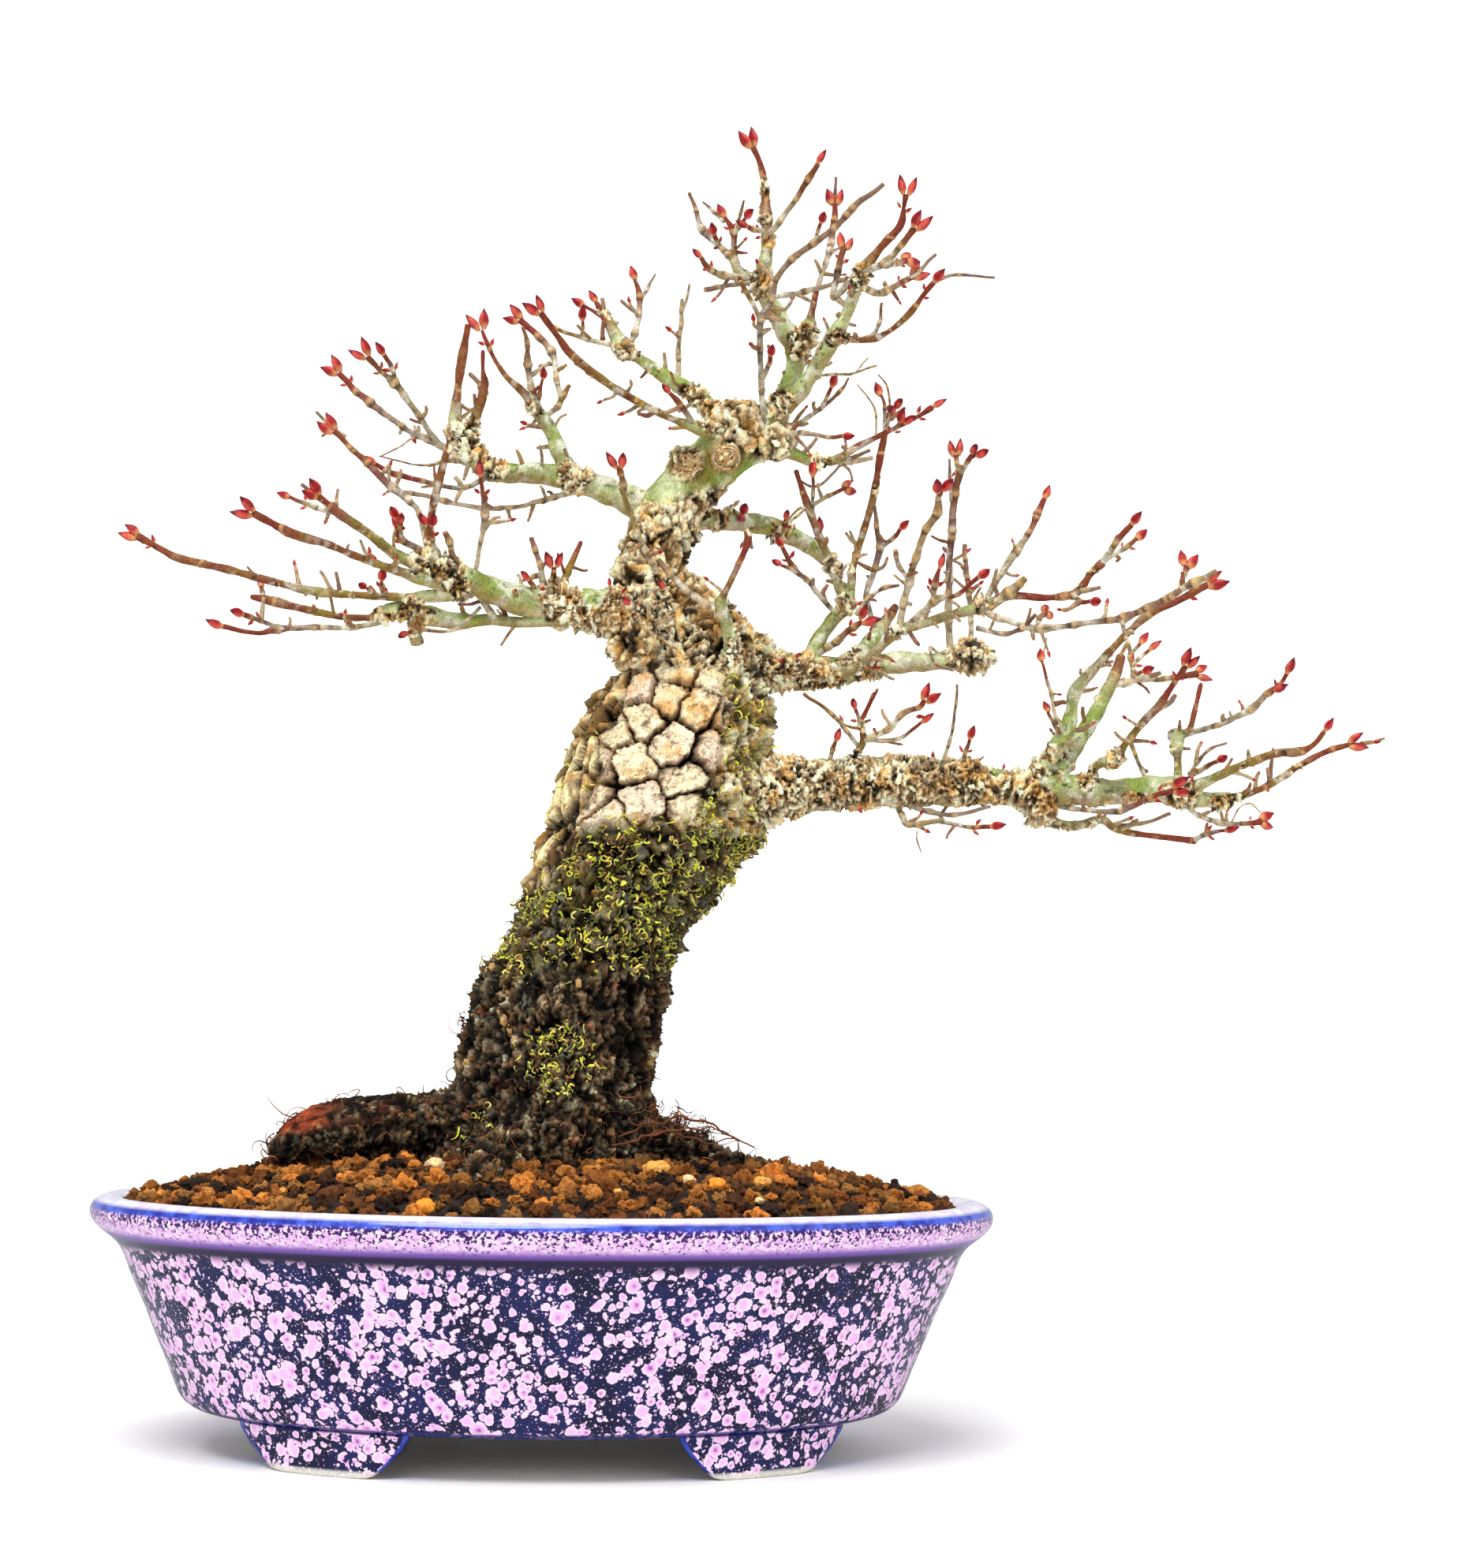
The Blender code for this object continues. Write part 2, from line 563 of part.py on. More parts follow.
         (56.2, 238, 0.9), (62, 243, 0.6)),
        (None, -4, "cut", (38.5, 215, 0.7), (36.6, 219, 0.6), (34.4, 223, 0.6)),
        (None, -4, "bud", (38.8, 204, 0.8), (40.2, 207, 0.6), (40.4, 208.6, 0.6)),
    ),
    "limb_upper_right": (
        (2, -14, "pair", (39, 194, 2.3), (42.5, 197.8, 1.9), (46, 201.6, 1.8), (48.6, 205.5, 1.6),
         (51, 209.5, 1.7), (53, 213, 1.7), (55, 217, 1.4), (56.6, 221.5, 1.4), (57.6, 225, 1.7),
         (60, 228.4, 1.2), (62.2, 231.2, 1), (65.4, 235, 1), (66, 238.6, 0.6), (66.4, 241, 0.9)),
        (None, -12, "bud", (53, 212.7, 1.4), (57, 212.2, 0.9), (60.5, 212.5, 1), (64, 214.5, 0.7),
         (67.3, 217.6, 0.9), (70, 221.4, 0.7), (72, 224, 0.7)),
        (None, 5, "pair", (57, 224, 1.2), (59.5, 222, 0.9), (62.6, 221.9, 1), (66, 224, 0.7),
         (67.8, 225, 0.8)),
        (None, -5, "pair", (58, 225.6, 1.2), (62.4, 227.6, 1), (65.6, 231, 0.8), (68.2, 234.4, 1)),
        (None, 5, "pair", (61.8, 227.4, 0.8), (64.6, 227.3, 0.7), (66.4, 228, 0.9)),
        (None, 5, "pair", (55.6, 223.5, 1), (52.6, 220.4, 0.9), (53.4, 226, 0.9), (54.4, 230, 0.9)),
        (None, -9, "bud", (41, 195, 1.2), (44, 193.6, 1), (47, 193.6, 0.7), (52, 193, 0.5),
         (54.6, 193.2, 0.6)),
        (None, 8, "cut", (42, 196.5, 1.1), (45, 195, 0.8), (50.4, 198.6, 0.6), (54, 202, 0.5),
         (55.5, 204.6, 0.3)),
    ),
    "limb_right_high": (
        (1, -3, "bud", (39, 191.5, 2), (44, 190, 1.5), (49, 188.2, 1.3), (53.4, 188.6, 1.2), (57, 191, 0.9),
         (63, 194.2, 0.7), (68, 196.8, 0.6), (72, 199.4, 0.9)),
        (None, 2.4, "cut", (52.6, 188.3, 0.9), (56.5, 188.4, 0.8), (60.4, 189.3, 0.6)),
    ),
    "limb_right_back": (
        (6, 16, "cut", (22, 176.5, 3.2), (29, 176.4, 2.2), (35, 176.1, 2.1), (40, 175.5, 2.1),
         (44, 174, 2), (48, 172, 1.8), (52, 169.2, 1.5), (54.6, 167.6, 1)),
        (None, -5, "pair", (35.4, 175.5, 0.9), (35.3, 177.4, 0.8)),
        (None, -3, "bud", (43.4, 174, 0.8), (43.8, 177, 0.7)),
    ),
    "limb_right_mid": (
        (0, 6, "cut", (28, 149, 6), (36, 148.6, 5), (42, 147.6, 4.1), (48, 147.5, 3.4), (54, 147.7, 2.8),
         (60, 148.7, 2.4), (66, 149.6, 2.3), (72, 149.7, 1.8), (76, 150.4, 2), (79.5, 151, 3.4),
         (83, 150.6, 2.4)),
        (None, 5, "cut", (48, 149, 1.5), (50.4, 153.6, 1.6), (53.2, 157.6, 1.5), (55.6, 160.6, 1.7),
         (56.6, 164, 1.2), (57.1, 168.4, 0.9), (58.6, 174, 0.9), (60.6, 181, 1.1), (61.4, 186, 0.8),
         (62, 190, 1), (63, 195, 0.8)),
        (None, 4, "bud", (62.9, 194, 0.7), (62.6, 199, 0.5), (61.8, 201.4, 0.4)),
        (None, -6, "pair", (62.9, 194.5, 0.7), (63.8, 197.6, 0.7), (64.4, 198.8, 0.7)),
        (None, -2, "cut", (55.6, 160.4, 1.3), (53, 167.4, 1.2), (50, 174.4, 1.1), (48, 179.6, 1.1),
         (46.4, 184, 0.7), (45.6, 186.4, 0.7)),
        (None, 6, "pair", (48.4, 179.2, 0.6), (52, 181.5, 0.6), (55, 183, 0.6)),
        (None, 8, "cut", (57, 149.5, 1.6), (60.5, 153.6, 1.6), (63, 157, 1.4), (65.3, 160.4, 1.1)),
        (None, -4, "cut", (61.4, 155.5, 0.9), (59.6, 162, 0.8), (61.2, 168, 0.8), (62, 171.8, 1),
         (61.4, 176, 0.6),
         (60.9, 180, 0.5)),
        (None, -3.6, "bud", (61.9, 171.4, 0.6), (64.6, 173.6, 0.6), (66, 175.4, 0.6)),
        (None, -3, "cut", (76, 151, 1), (75.6, 158, 1), (75.6, 166, 1), (75.9, 174, 1), (76.6, 182.6, 1),
         (77.6, 187, 1.1)),
        (None, 1, "pair", (77.5, 186.4, 0.8), (76.9, 188.6, 0.6), (76.7, 190, 0.7)),
        (None, -5, "pair", (77.6, 186.6, 0.8), (79, 189, 0.7), (80.3, 190.4, 0.8)),
        (None, 9, "cut", (80, 152, 0.9), (79.9, 158, 0.7), (79.3, 164, 0.7), (78.6, 170, 0.6),
         (78.6, 172.6, 0.7)),
        (None, -9, "bud", (54, 159, 0.8), (52.4, 160, 0.7), (48, 165, 0.7), (45.2, 167.6, 0.8),
         (43.2, 171.4, 0.6)),
    ),
    "branch_right_front": (
        (-2.4, -9.6, "cut", (46.5, 147.4, 1.7), (53, 147.2, 1.3), (58.5, 148.7, 1.2),
         (62.4, 152.6, 1.2), (66, 155.8, 1.4),
         (71, 157.3, 1.2), (76.5, 159.2, 1.2), (82.5, 160.8, 1.5), (86.6, 162.8, 1.1), (90, 163, 1),
         (95, 162.8, 0.9), (100.3, 163.9, 1.1), (103, 167.4, 0.9), (105.6, 170, 1.1)),
        (None, -3, "bud", (105.2, 169.6, 0.9), (108.2, 173.8, 0.8), (111, 177.4, 0.8)),
        (None, 3, "bud", (105.2, 169.7, 0.7), (110, 173, 0.6), (112, 174.6, 0.6)),
        (None, -5, "bud", (99.8, 163.6, 0.8), (101.2, 162.1, 0.6), (103.4, 162.2, 0.6)),
        (None, 6, "bud", (82.5, 160.8, 1), (84.2, 165, 0.8), (88.6, 171.6, 1.1), (91, 175.2, 0.8),
         (92.5, 178.4, 0.9), (94, 182, 0.8)),
        (None, -13, "cut", (82, 160.6, 1.2), (85, 158.5, 0.9), (90, 157.2, 0.8), (93.5, 156.7, 1.1),
         (100, 157.6, 0.7),
         (107, 158.7, 0.8), (109.5, 159.4, 1.1), (113, 160.7, 0.8), (118, 163.1, 0.8), (120.8, 165, 0.9)),
        (None, 1.6, "pair", (120.2, 164.7, 0.8), (121.4, 168, 0.6), (121.8, 169.4, 0.8)),
        (None, -2.4, "cut", (120, 164.5, 0.8), (123, 166.2, 1), (128, 168.7, 0.6)),
        (None, -6.5, "cut", (109.2, 159, 0.8), (110, 156, 0.5), (111.2, 151.6, 0.6), (111.6, 149.6, 0.6)),
        (None, 0.5, "bud", (111, 152, 0.5), (112.8, 154.2, 0.5)),
        (None, 6, "pair", (93, 156.8, 0.8), (93.2, 158.6, 0.7), (94.4, 159.7, 0.6)),
        (None, -9, "cut", (66, 156, 1), (66.8, 161, 0.9), (67.8, 165.3, 1), (69, 170, 0.9),
         (71.2, 175.6, 0.9),
         (73.2, 179, 1.1), (73.3, 182, 0.8)),
        (None, -1.4, "pair", (73.2, 181.4, 0.8), (73.7, 183, 0.8)),
        (None, -6.4, "cut", (67.8, 165.2, 0.7), (66, 168, 0.6), (65, 171.2, 0.6)),
        (None, -12.6, "bud", (67, 156.2, 0.8), (70, 159, 0.8), (73, 161.8, 1), (77.4, 163, 0.6),
         (81.4, 166.4, 0.6)),
        (None, -2.2, "bud", (72.4, 161.4, 0.7), (72.8, 165, 0.9), (73.7, 168, 0.5)),
    ),
    "limb_right_low": (
        (0, -4, "cut", (26, 122.5, 8), (36, 123.8, 7.4), (44, 125, 5.9), (51, 125.5, 4.9), (59, 126, 4.8),
         (66, 126.6, 4.9), (74, 126.6, 4.6), (80, 126.3, 4.3), (86, 125.8, 3.5), (92, 125.2, 3.5),
         (97, 125.7, 3.2), (103, 125.3, 2.9), (109, 125.4, 2.6), (115, 126, 2.7), (120, 125.8, 3),
         (123.5, 125.3, 2.2)),
        (None, 1, "cut", (92.5, 124, 3), (93.5, 121.2, 3.3), (94, 119.6, 1.9)),
        (None, 6, "cut", (120.5, 126, 1.6), (120.4, 131, 1), (120.4, 136.2, 1.6), (122.6, 137.6, 0.9),
         (123.6, 141, 0.7), (124.9, 146.8, 0.7)),
        (None, -8, "bud", (121.2, 136.6, 0.9), (128, 138.7, 0.7), (134.6, 142, 1), (138, 145, 0.8),
         (140.6, 147, 0.5), (141.7, 149, 0.6)),
        (None, -9, "bud", (122, 125.8, 1.5), (128, 128.7, 1.2), (133, 131, 1), (139.8, 133.5, 1.1),
         (144, 133.8, 1.1), (147, 135.2, 0.7), (149.2, 138, 0.7)),
        (None, 1, "pair", (121.5, 124.4, 1.7), (129, 124.3, 1.5), (135, 125.8, 0.9), (140, 128.3, 1),
         (145, 131.6, 0.9), (150, 134.2, 0.8), (154, 135.4, 0.8)),
        (None, 8, "cut", (94, 119.8, 1.3), (100, 118.7, 1.2), (105.6, 120, 1.1), (108, 118.4, 1),
         (112, 117.4, 0.9),
         (118, 116.8, 0.8), (124, 116.2, 0.9)),
        (None, -2.6, "bud", (123.5, 116.2, 0.8), (126, 117.6, 0.7), (129.6, 118.3, 0.5)),
        (None, 10, "pair", (121, 124, 1), (124.6, 121.2, 0.7), (128.4, 119.8, 0.8), (133, 119.8, 0.6),
         (136.6, 120.2, 0.9)),
        (None, -8, "pair", (96, 122.6, 0.8), (103, 121.7, 0.6), (109.3, 121.9, 0.9),
         (115, 124.4, 0.6), (119.4, 126, 0.8)),
        (None, -6, "cut", (65.4, 123.5, 1), (67, 120, 0.8), (68.4, 118.4, 0.8), (75, 119.2, 0.7)),
        (None, -4.6, "bud", (74, 119.1, 0.6), (80, 118, 0.5), (84, 118.3, 0.6)),
        (None, -5, "cut", (56.4, 129, 1.3), (58.6, 133, 0.9), (59.4, 134.6, 1), (58.8, 137.6, 0.8),
         (60, 140.6, 0.6),
         (61.8, 144.4, 0.6)),
        (None, -2.6, "bud", (58.8, 137.2, 0.6), (57.6, 140.6, 0.5)),
        (None, -5.8, "pair", (59.3, 134.4, 0.9), (64, 136.6, 0.8), (66.6, 139.6, 0.8),
         (70, 140.8, 0.7), (71, 142.2, 0.7)),
    ),
    "branch_right_uprights": (
        (None, -8, "pair", (91, 126, 2), (93.6, 129.8, 1.9), (96.4, 133.4, 1.7), (98.8, 137.4, 1.7),
         (99.6, 141, 1.4),
         (100.4, 144.8, 1.5), (104, 149.2, 1.2), (107.2, 152.8, 1), (110.4, 156.2, 1), (114.6, 160, 1.1),
         (121, 163.2, 1), (126, 166, 1)),
        (None, 9, "cut", (96, 127, 2), (99, 132, 1.9), (101.8, 136.4, 1.7), (104.3, 140.4, 1.6),
         (106.6, 145, 1.5), (108.4, 149, 1.3), (109.2, 151.8, 1.2)),
        (None, 6.4, "pair", (106.6, 146, 1), (110, 146.8, 1.1), (113, 147.2, 0.9), (118, 147.6, 0.7),
         (124, 148.6, 1)),
        (None, 8, "bud", (98.6, 137.2, 0.8), (97, 139, 0.6), (95.5, 144, 0.5), (93.8, 150.4, 0.4)),
    ),
    "branch_right_middle": (
        (None, -12, "pair", (101.5, 126, 1.5), (104.6, 130.4, 1.1), (108, 131.6, 1.5),
         (110.4, 135, 0.9), (113.4, 138.8, 1),
         (117, 142.7, 1.1), (119.4, 146.4, 0.7), (121.8, 150, 0.9)),
        (None, 4.6, "cut", (115.4, 141, 0.9), (118, 142.4, 0.8), (119.8, 144.2, 0.7)),
    ),
    "shoot_trunk_right": (
        (-5.5, -5.5, "cut", (33.5, 148, 2), (33.6, 152.6, 1.6), (32.6, 156.5, 1.4), (31.4, 160, 1.4),
         (32.6, 163, 0.8),
         (34.6, 167.5, 0.8), (36.5, 172.2, 1), (36.4, 174.6, 0.6)),
        (None, 0.2, "cut", (31.5, 159, 1), (28.6, 160, 1), (25, 162.4, 0.9), (21.6, 165.8, 0.8),
         (19.4, 168.6, 0.7)),
    ),
    "shoot_trunk_left": (
        (-5, -7, "bud", (21, 153, 1.4), (18.4, 156, 1), (15.4, 158.4, 0.7), (14, 159.6, 0.6)),
        (None, -6, "bud", (21, 153, 1.4), (20.8, 157.5, 0.9), (20.2, 162.6, 0.6)),
    ),
}
# What each limb grows from, and so is cut back from by the gap.
GROWS_FROM = {
    "limb_left_low": ("trunk_with_roots",),
    "branch_left_under": ("trunk_with_roots", "limb_left_low"),
    "limb_left_mid": ("trunk_with_roots",),
    "branch_left_upright": ("limb_left_mid",),
    "shoot_left_long": ("trunk_with_roots",),
    "limb_upper_left": ("trunk_with_roots",),
    "apex_leader": ("trunk_with_roots",),
    "riser_front": ("trunk_with_roots", "limb_upper_right"),
    "limb_upper_right": ("trunk_with_roots", "apex_leader"),
    "limb_right_high": ("trunk_with_roots", "limb_upper_right"),
    "limb_right_back": ("trunk_with_roots",),
    "limb_right_mid": ("trunk_with_roots",),
    "branch_right_front": ("limb_right_mid",),
    "limb_right_low": ("trunk_with_roots",),
    "branch_right_uprights": ("limb_right_low",),
    "branch_right_middle": ("limb_right_low",),
    "shoot_trunk_right": ("trunk_with_roots", "limb_right_mid"),
    "shoot_trunk_left": ("trunk_with_roots",),
}
LIMBS = settled(LIMBS)
OLD_WOOD = ("limb_left_low", "limb_left_mid", "limb_right_mid", "limb_right_low", "limb_right_back")
# Across and back as shares of the pot's half length and half width, then the radius.
PUMICE_GRAINS = (
    (-0.24, -0.37, 2.0), (-0.25, -0.8, 2.0), (0.23, -0.39, 2.1), (0.29, -0.52, 1.6), (0.355, -0.53, 1.8),
    (0.455, -0.44, 1.6),
)


def ball(name, place, radius, look, rings=8):
    bpy.ops.mesh.primitive_uv_sphere_add(segments=rings + 2, ring_count=rings, radius=radius * MM)
    made = bpy.context.object
    made.name = name
    made.location = place * MM
    rehome(made, CUTTERS)
    made.data.materials.append(look)
    return frozen(made)


def trunk_parts(more):
    """The trunk, its roots and its old pruning scars; `more` fattens every part."""
    main = tube("trunk_core", stem_points(TRUNK, TRUNK_GIRTH), 16, BARK, more=more)
    parts = [
        tube(f"root_{n}", stem_points(row, TRUNK_GIRTH), 10, BARK, more=more)
        for n, row in enumerate(ROOTS)
    ]
    for n, (depth, (x, z, radius)) in enumerate(KNOBS):
        size = radius * TRUNK_GIRTH * TREE_SCALE + more
        parts.append(ball(f"knob_{n}", in_space(x, z, depth), size, BARK))
    return main, parts


def build_trunk():
    main, parts = trunk_parts(0.0)
    rehome(main, BONSAI)
    return joined("trunk_with_roots", main, parts, BARK)


def sides_for(points):
    thickest = max(radius for _, radius in points)
    if thickest > 3.5:
        return 10
    if thickest > 1.5:
        return 8
    if thickest > 0.95:
        return 6
    return 4


def limb_parts(name, rows, more=0.0, with_buds=True):
    made = []
    for n, row in enumerate(rows):
        points = stem_points(row, LIMB_GIRTH)
        made.append(tube(f"{name}_{n}", points, sides_for(points), GREEN_BARK, more=more))
        if with_buds and row[2] != "cut":
            for m, bud in enumerate(buds(points, row[2])):
                made.append(tube(f"{name}_{n}_bud{m}", bud, 4, SHOOT, more=more))
    return made


def build_limb(name, rows):
    first, *rest = limb_parts(name, rows)
    rehome(first, BONSAI)
    look = GREEN_BARK if name in OLD_WOOD else SHOOT
    limb = joined(name, first, rest, look)
    for parent in GROWS_FROM[name]:
        if parent == "trunk_with_roots":
            main, parts = trunk_parts(GAP)
            fat = [main, *parts]
        else:
            fat = limb_parts(parent, LIMBS[parent], more=GAP)
        home = collection("fat_parent")
        for part in fat:
            rehome(as_cutter(part), home)
        boolean(limb, home, "DIFFERENCE")
        limb = frozen(limb, 0.000001)
        for part in fat:
            bpy.data.objects.remove(part, do_unlink=True)
        bpy.data.collections.remove(home)
    return largest_body(limb)


def largest_body(made):
    """Keep the grown piece and drop the slivers a cut leaves inside its parent."""
    work = bmesh.new()
    work.from_mesh(made.data)
    left = set(work.verts)
    groups = []
    while left:
        heap = [left.pop()]
        group = []
        while heap:
            vertex = heap.pop()
            group.append(vertex)
            for edge in vertex.link_edges:
                other = edge.other_vert(vertex)
                if other in left:
                    left.remove(other)
                    heap.append(other)
        groups.append(group)
    groups.sort(key=len)
    for group in groups[:-1]:
        bmesh.ops.delete(work, geom=group, context="VERTS")
    work.to_mesh(made.data)
    work.free()
    return made


# ---------------------------------------------------------------- soil
def soil_height(share):
    """The mound's surface from its middle (0) to the pot's wall (1)."""
    return SOIL_LINE + SOIL_RISE * (1 - share ** 2.6)


def build_soil(trunk_cutters, dents):
    top_radius = RIM_INNER - SOIL_CLEAR
    profile = [
        (0.0, FLOOR_TOP + GAP),
        (BODY_LENGTH - 7.0 - WALL, FLOOR_TOP + GAP),
        (BODY_LENGTH + 1.6 - WALL, FOOT_HEIGHT + 9.4),
        (BODY_LENGTH + 6.2 - WALL, FOOT_HEIGHT + 19.0),
        (RIM_INNER - 2.4, POT_HEIGHT - LIP_HEIGHT - 2.0),
        (top_radius, SOIL_LINE - 1.0),
    ]
    for step in range(SOIL_STEPS):
        share = 1 - step / SOIL_STEPS
        profile.append((top_radius * share, soil_height(share)))
    profile.append((0.0, soil_height(0)))
    bed = turned("soil_bed", profile, SOIL, steps=32)
    boolean(bed, trunk_cutters, "DIFFERENCE")
    bed = frozen(bed)
    for n, dent in enumerate(dents):
        boolean(bed, dent, "DIFFERENCE").name = f"dent_{n}"
    bed = frozen(bed)
    return largest_body(bed)


def grain_place(across, back, radius):
    x, y = across * HALF, back * POT_WIDTH / 2
    share = math.hypot(x, y / ASPECT) / (RIM_INNER - SOIL_CLEAR)
    return Vector((x, y, soil_height(share) + radius * 0.25))


def build_grains():
    made = []
    for n, (across, back, radius) in enumerate(PUMICE_GRAINS):
        random.seed(n)
        bpy.ops.mesh.primitive_ico_sphere_add(subdivisions=2, radius=radius * MM)
        grain = bpy.context.object
        grain.name = f"pumice_grain_{n + 1}"
        grain.scale = (1.0 + random.uniform(-0.1, 0.25), 1.0, 0.8)
        grain.rotation_euler = (random.uniform(-0.4, 0.4), random.uniform(-0.4, 0.4), random.uniform(0, 3))
        grain.location = grain_place(across, back, radius) * MM
        rehome(grain, BONSAI)
        grain.data.materials.append(PUMICE)
        made.append(roughened(frozen(grain), 0.35, 0.9))
    return made


def pockets():
    """Hollows for the pumice grains and, in the soil's underside, for the screens and their clips."""
    made = []
    tall = GAP + MESH_THICK + GAP + 2 * WIRE + GAP
    for side in (-1, 1):
        bpy.ops.mesh.primitive_cube_add(size=1)
        space = bpy.context.object
        space.name = "screen_space"
        side_length = MESH_SIDE + MESH_ROOM
        space.scale = (side_length * MM, side_length * MM, 2 * tall * MM)
        space.location = (side * DRAIN_SPREAD / 2 * MM, 0, FLOOR_TOP * MM)
        rehome(space, CUTTERS)
        space.data.materials.append(SOIL)
        made.append(as_cutter(frozen(space)))
    for n, (across, back, radius) in enumerate(PUMICE_GRAINS):
        place = grain_place(across, back, radius)
        made.append(as_cutter(ball(f"pocket_{n}", place, radius * 1.3 + GAP, SOIL, rings=6)))
    return made


# ---------------------------------------------------------------- assembly
build_pot()
for tag, side in (("left", -1), ("right", 1)):
    drain_screen(f"drainage_mesh_{tag}", side * DRAIN_SPREAD / 2)
    drain_clip(f"mesh_clip_{tag}", side * DRAIN_SPREAD / 2)
build_trunk()
for limb_name, limb_rows in LIMBS.items():
    build_limb(limb_name, limb_rows)
build_grains()
hollow_core, hollow_parts = trunk_parts(GAP)
hollow = collection("root_hollow")
for piece in (hollow_core, *hollow_parts):
    rehome(as_cutter(piece), hollow)
dents = pockets()
build_soil(hollow, dents)
for piece in (hollow_core, *hollow_parts, *dents):
    bpy.data.objects.remove(piece, do_unlink=True)
bpy.data.collections.remove(hollow)

# The whole plant hangs on one empty, set so the middle of its bounding box stands over the origin.
root = bpy.data.objects.new("root_frame", None)
BONSAI.objects.link(root)
bpy.context.view_layer.update()
solids = [thing for thing in BONSAI.objects if thing.type == "MESH"]
corners = [thing.matrix_world @ Vector(corner) for thing in solids for corner in thing.bound_box]
low_x, high_x = min(c.x for c in corners), max(c.x for c in corners)
low_y, high_y = min(c.y for c in corners), max(c.y for c in corners)
for thing in solids:
    thing.parent = root
root.location = (-(low_x + high_x) / 2, -(low_y + high_y) / 2, 0)
bpy.context.view_layer.update()
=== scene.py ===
"""Looks of the potted maple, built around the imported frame: bark, moss, hair roots, shoots and buds,
loose soil and the spotted glaze.

The tables give stems in millimetres on the front elevation through the pot's middle, as part.py's do.
"""
import math
import bpy
import numpy as np
from mathutils import Matrix, Vector


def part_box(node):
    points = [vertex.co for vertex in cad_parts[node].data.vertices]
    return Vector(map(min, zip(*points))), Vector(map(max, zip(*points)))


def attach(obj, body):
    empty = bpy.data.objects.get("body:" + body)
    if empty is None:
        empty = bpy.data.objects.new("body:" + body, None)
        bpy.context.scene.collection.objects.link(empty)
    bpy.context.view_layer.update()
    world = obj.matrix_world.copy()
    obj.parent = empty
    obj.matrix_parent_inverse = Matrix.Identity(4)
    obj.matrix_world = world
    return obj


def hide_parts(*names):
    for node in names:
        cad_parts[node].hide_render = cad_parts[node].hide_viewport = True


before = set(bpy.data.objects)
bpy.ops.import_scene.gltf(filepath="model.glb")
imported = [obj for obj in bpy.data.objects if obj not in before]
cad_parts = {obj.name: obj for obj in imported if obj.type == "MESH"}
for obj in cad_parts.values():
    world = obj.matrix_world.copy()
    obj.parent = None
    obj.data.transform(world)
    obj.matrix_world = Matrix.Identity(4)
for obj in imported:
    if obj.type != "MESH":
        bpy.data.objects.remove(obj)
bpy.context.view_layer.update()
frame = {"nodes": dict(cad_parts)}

MM = 0.001
RNG = np.random.default_rng(20)
TRUNK_VOXEL = 0.42
LIMB_VOXEL = 0.3
MOSS_THREADS = 5600
FEEDER_ROOTS = 620
SOIL_TRIES = 30000
SOIL_MOST = 2500

# ---------------------------------------------------------------- sizes taken from the frame
pot_low, pot_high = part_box("pot")
POT_MIDDLE = (pot_low.x + pot_high.x) / 2
HALF = (pot_high.x - pot_low.x) / 2 / MM
ASPECT = (pot_high.y - pot_low.y) / (pot_high.x - pot_low.x)
POT_TOP = pot_high.z / MM
FOOT_HEIGHT = 7.5
LIP_HEIGHT = 8.5
WALL = 6.5
BODY_LENGTH = HALF * 0.79
RIM_INNER = HALF - WALL - 0.8
SOIL_LINE = POT_TOP - 1.4
SOIL_RISE = 8.5
FOOT_SPREAD = 78.0
FOOT_TOP_HALF = 15.5
FOOT_SOLE_HALF = 9.0
FOOT_BELLY = 1.4
DRAIN_SPREAD = 68.0
DRAIN_HOLE = 15.0
POT_SIDES = 300
FOOT_SIDES = 88

# ---------------------------------------------------------------- the viewer's place
VIEW_DISTANCE = 600.0
VIEW_HEIGHT = 83.3
VIEW_SIDE = -8.6
DEPTH_SPREAD = 1.6


# ---------------------------------------------------------------- tree tables
# Each stem: its base's depth, how much deeper its tip stands, what ends it, then (x, z, radius) along
# it. A base depth of None is taken from the stem it springs from.
TRUNK = (
    0, 4, "cut",
    (-1, 36, 17), (-1, 44, 22), (-0.5, 51, 23), (0.5, 58, 21.3), (1, 64, 19.8), (1.5, 70, 19.2),
    (2.5, 77, 18.9), (4, 83, 18.9), (6.5, 89, 17.4), (8.5, 95, 16.9), (11, 101, 16.9),
    (13.5, 107, 17.9), (17, 113, 19.2), (20, 120, 20.2), (22, 127, 19.9), (24, 134, 18.7),
    (26, 141, 16.4), (26.7, 147, 13.6), (25, 153, 11), (21, 159, 8.6), (18, 165, 7), (18.7, 171, 6.3),
    (20.8, 176, 6.8), (24, 181, 6), (28.5, 186, 5.3), (32, 190, 5.6), (36, 193.5, 6.3), (39.5, 195.5, 4.6),
)
ROOTS = (
    (0, -5, "cut", (-6, 60, 9), (-18, 59, 8), (-27, 59, 6.9), (-36, 58.8, 6.3), (-41.5, 58.6, 5.3),
     (-46, 57.2, 4.2), (-50.5, 53.6, 3)),
    (-1, -6, "cut", (10, 56, 8), (19, 56, 6), (27, 54.8, 4.2), (36, 52.5, 3), (46, 49.5, 2)),
    (-5, -17, "cut", (-4, 55, 10), (-7, 54, 7), (-10, 52, 4.5), (-14, 49, 3)),
    (5, 18, "cut", (6, 56, 10), (9, 55, 7), (13, 52.5, 4.6), (18, 49, 3)),
)
KNOBS = (
    (3, (24.3, 187.3, 3.3)), (-1, (32, 188.4, 2.8)), (1, (42, 191.6, 3.6)), (4, (33, 196.5, 3.4)),
    (-3, (33, 154, 4.6)), (3, (36.5, 150, 5.5)), (0, (36, 116, 6)), (-3, (15, 151.5, 5)),
)
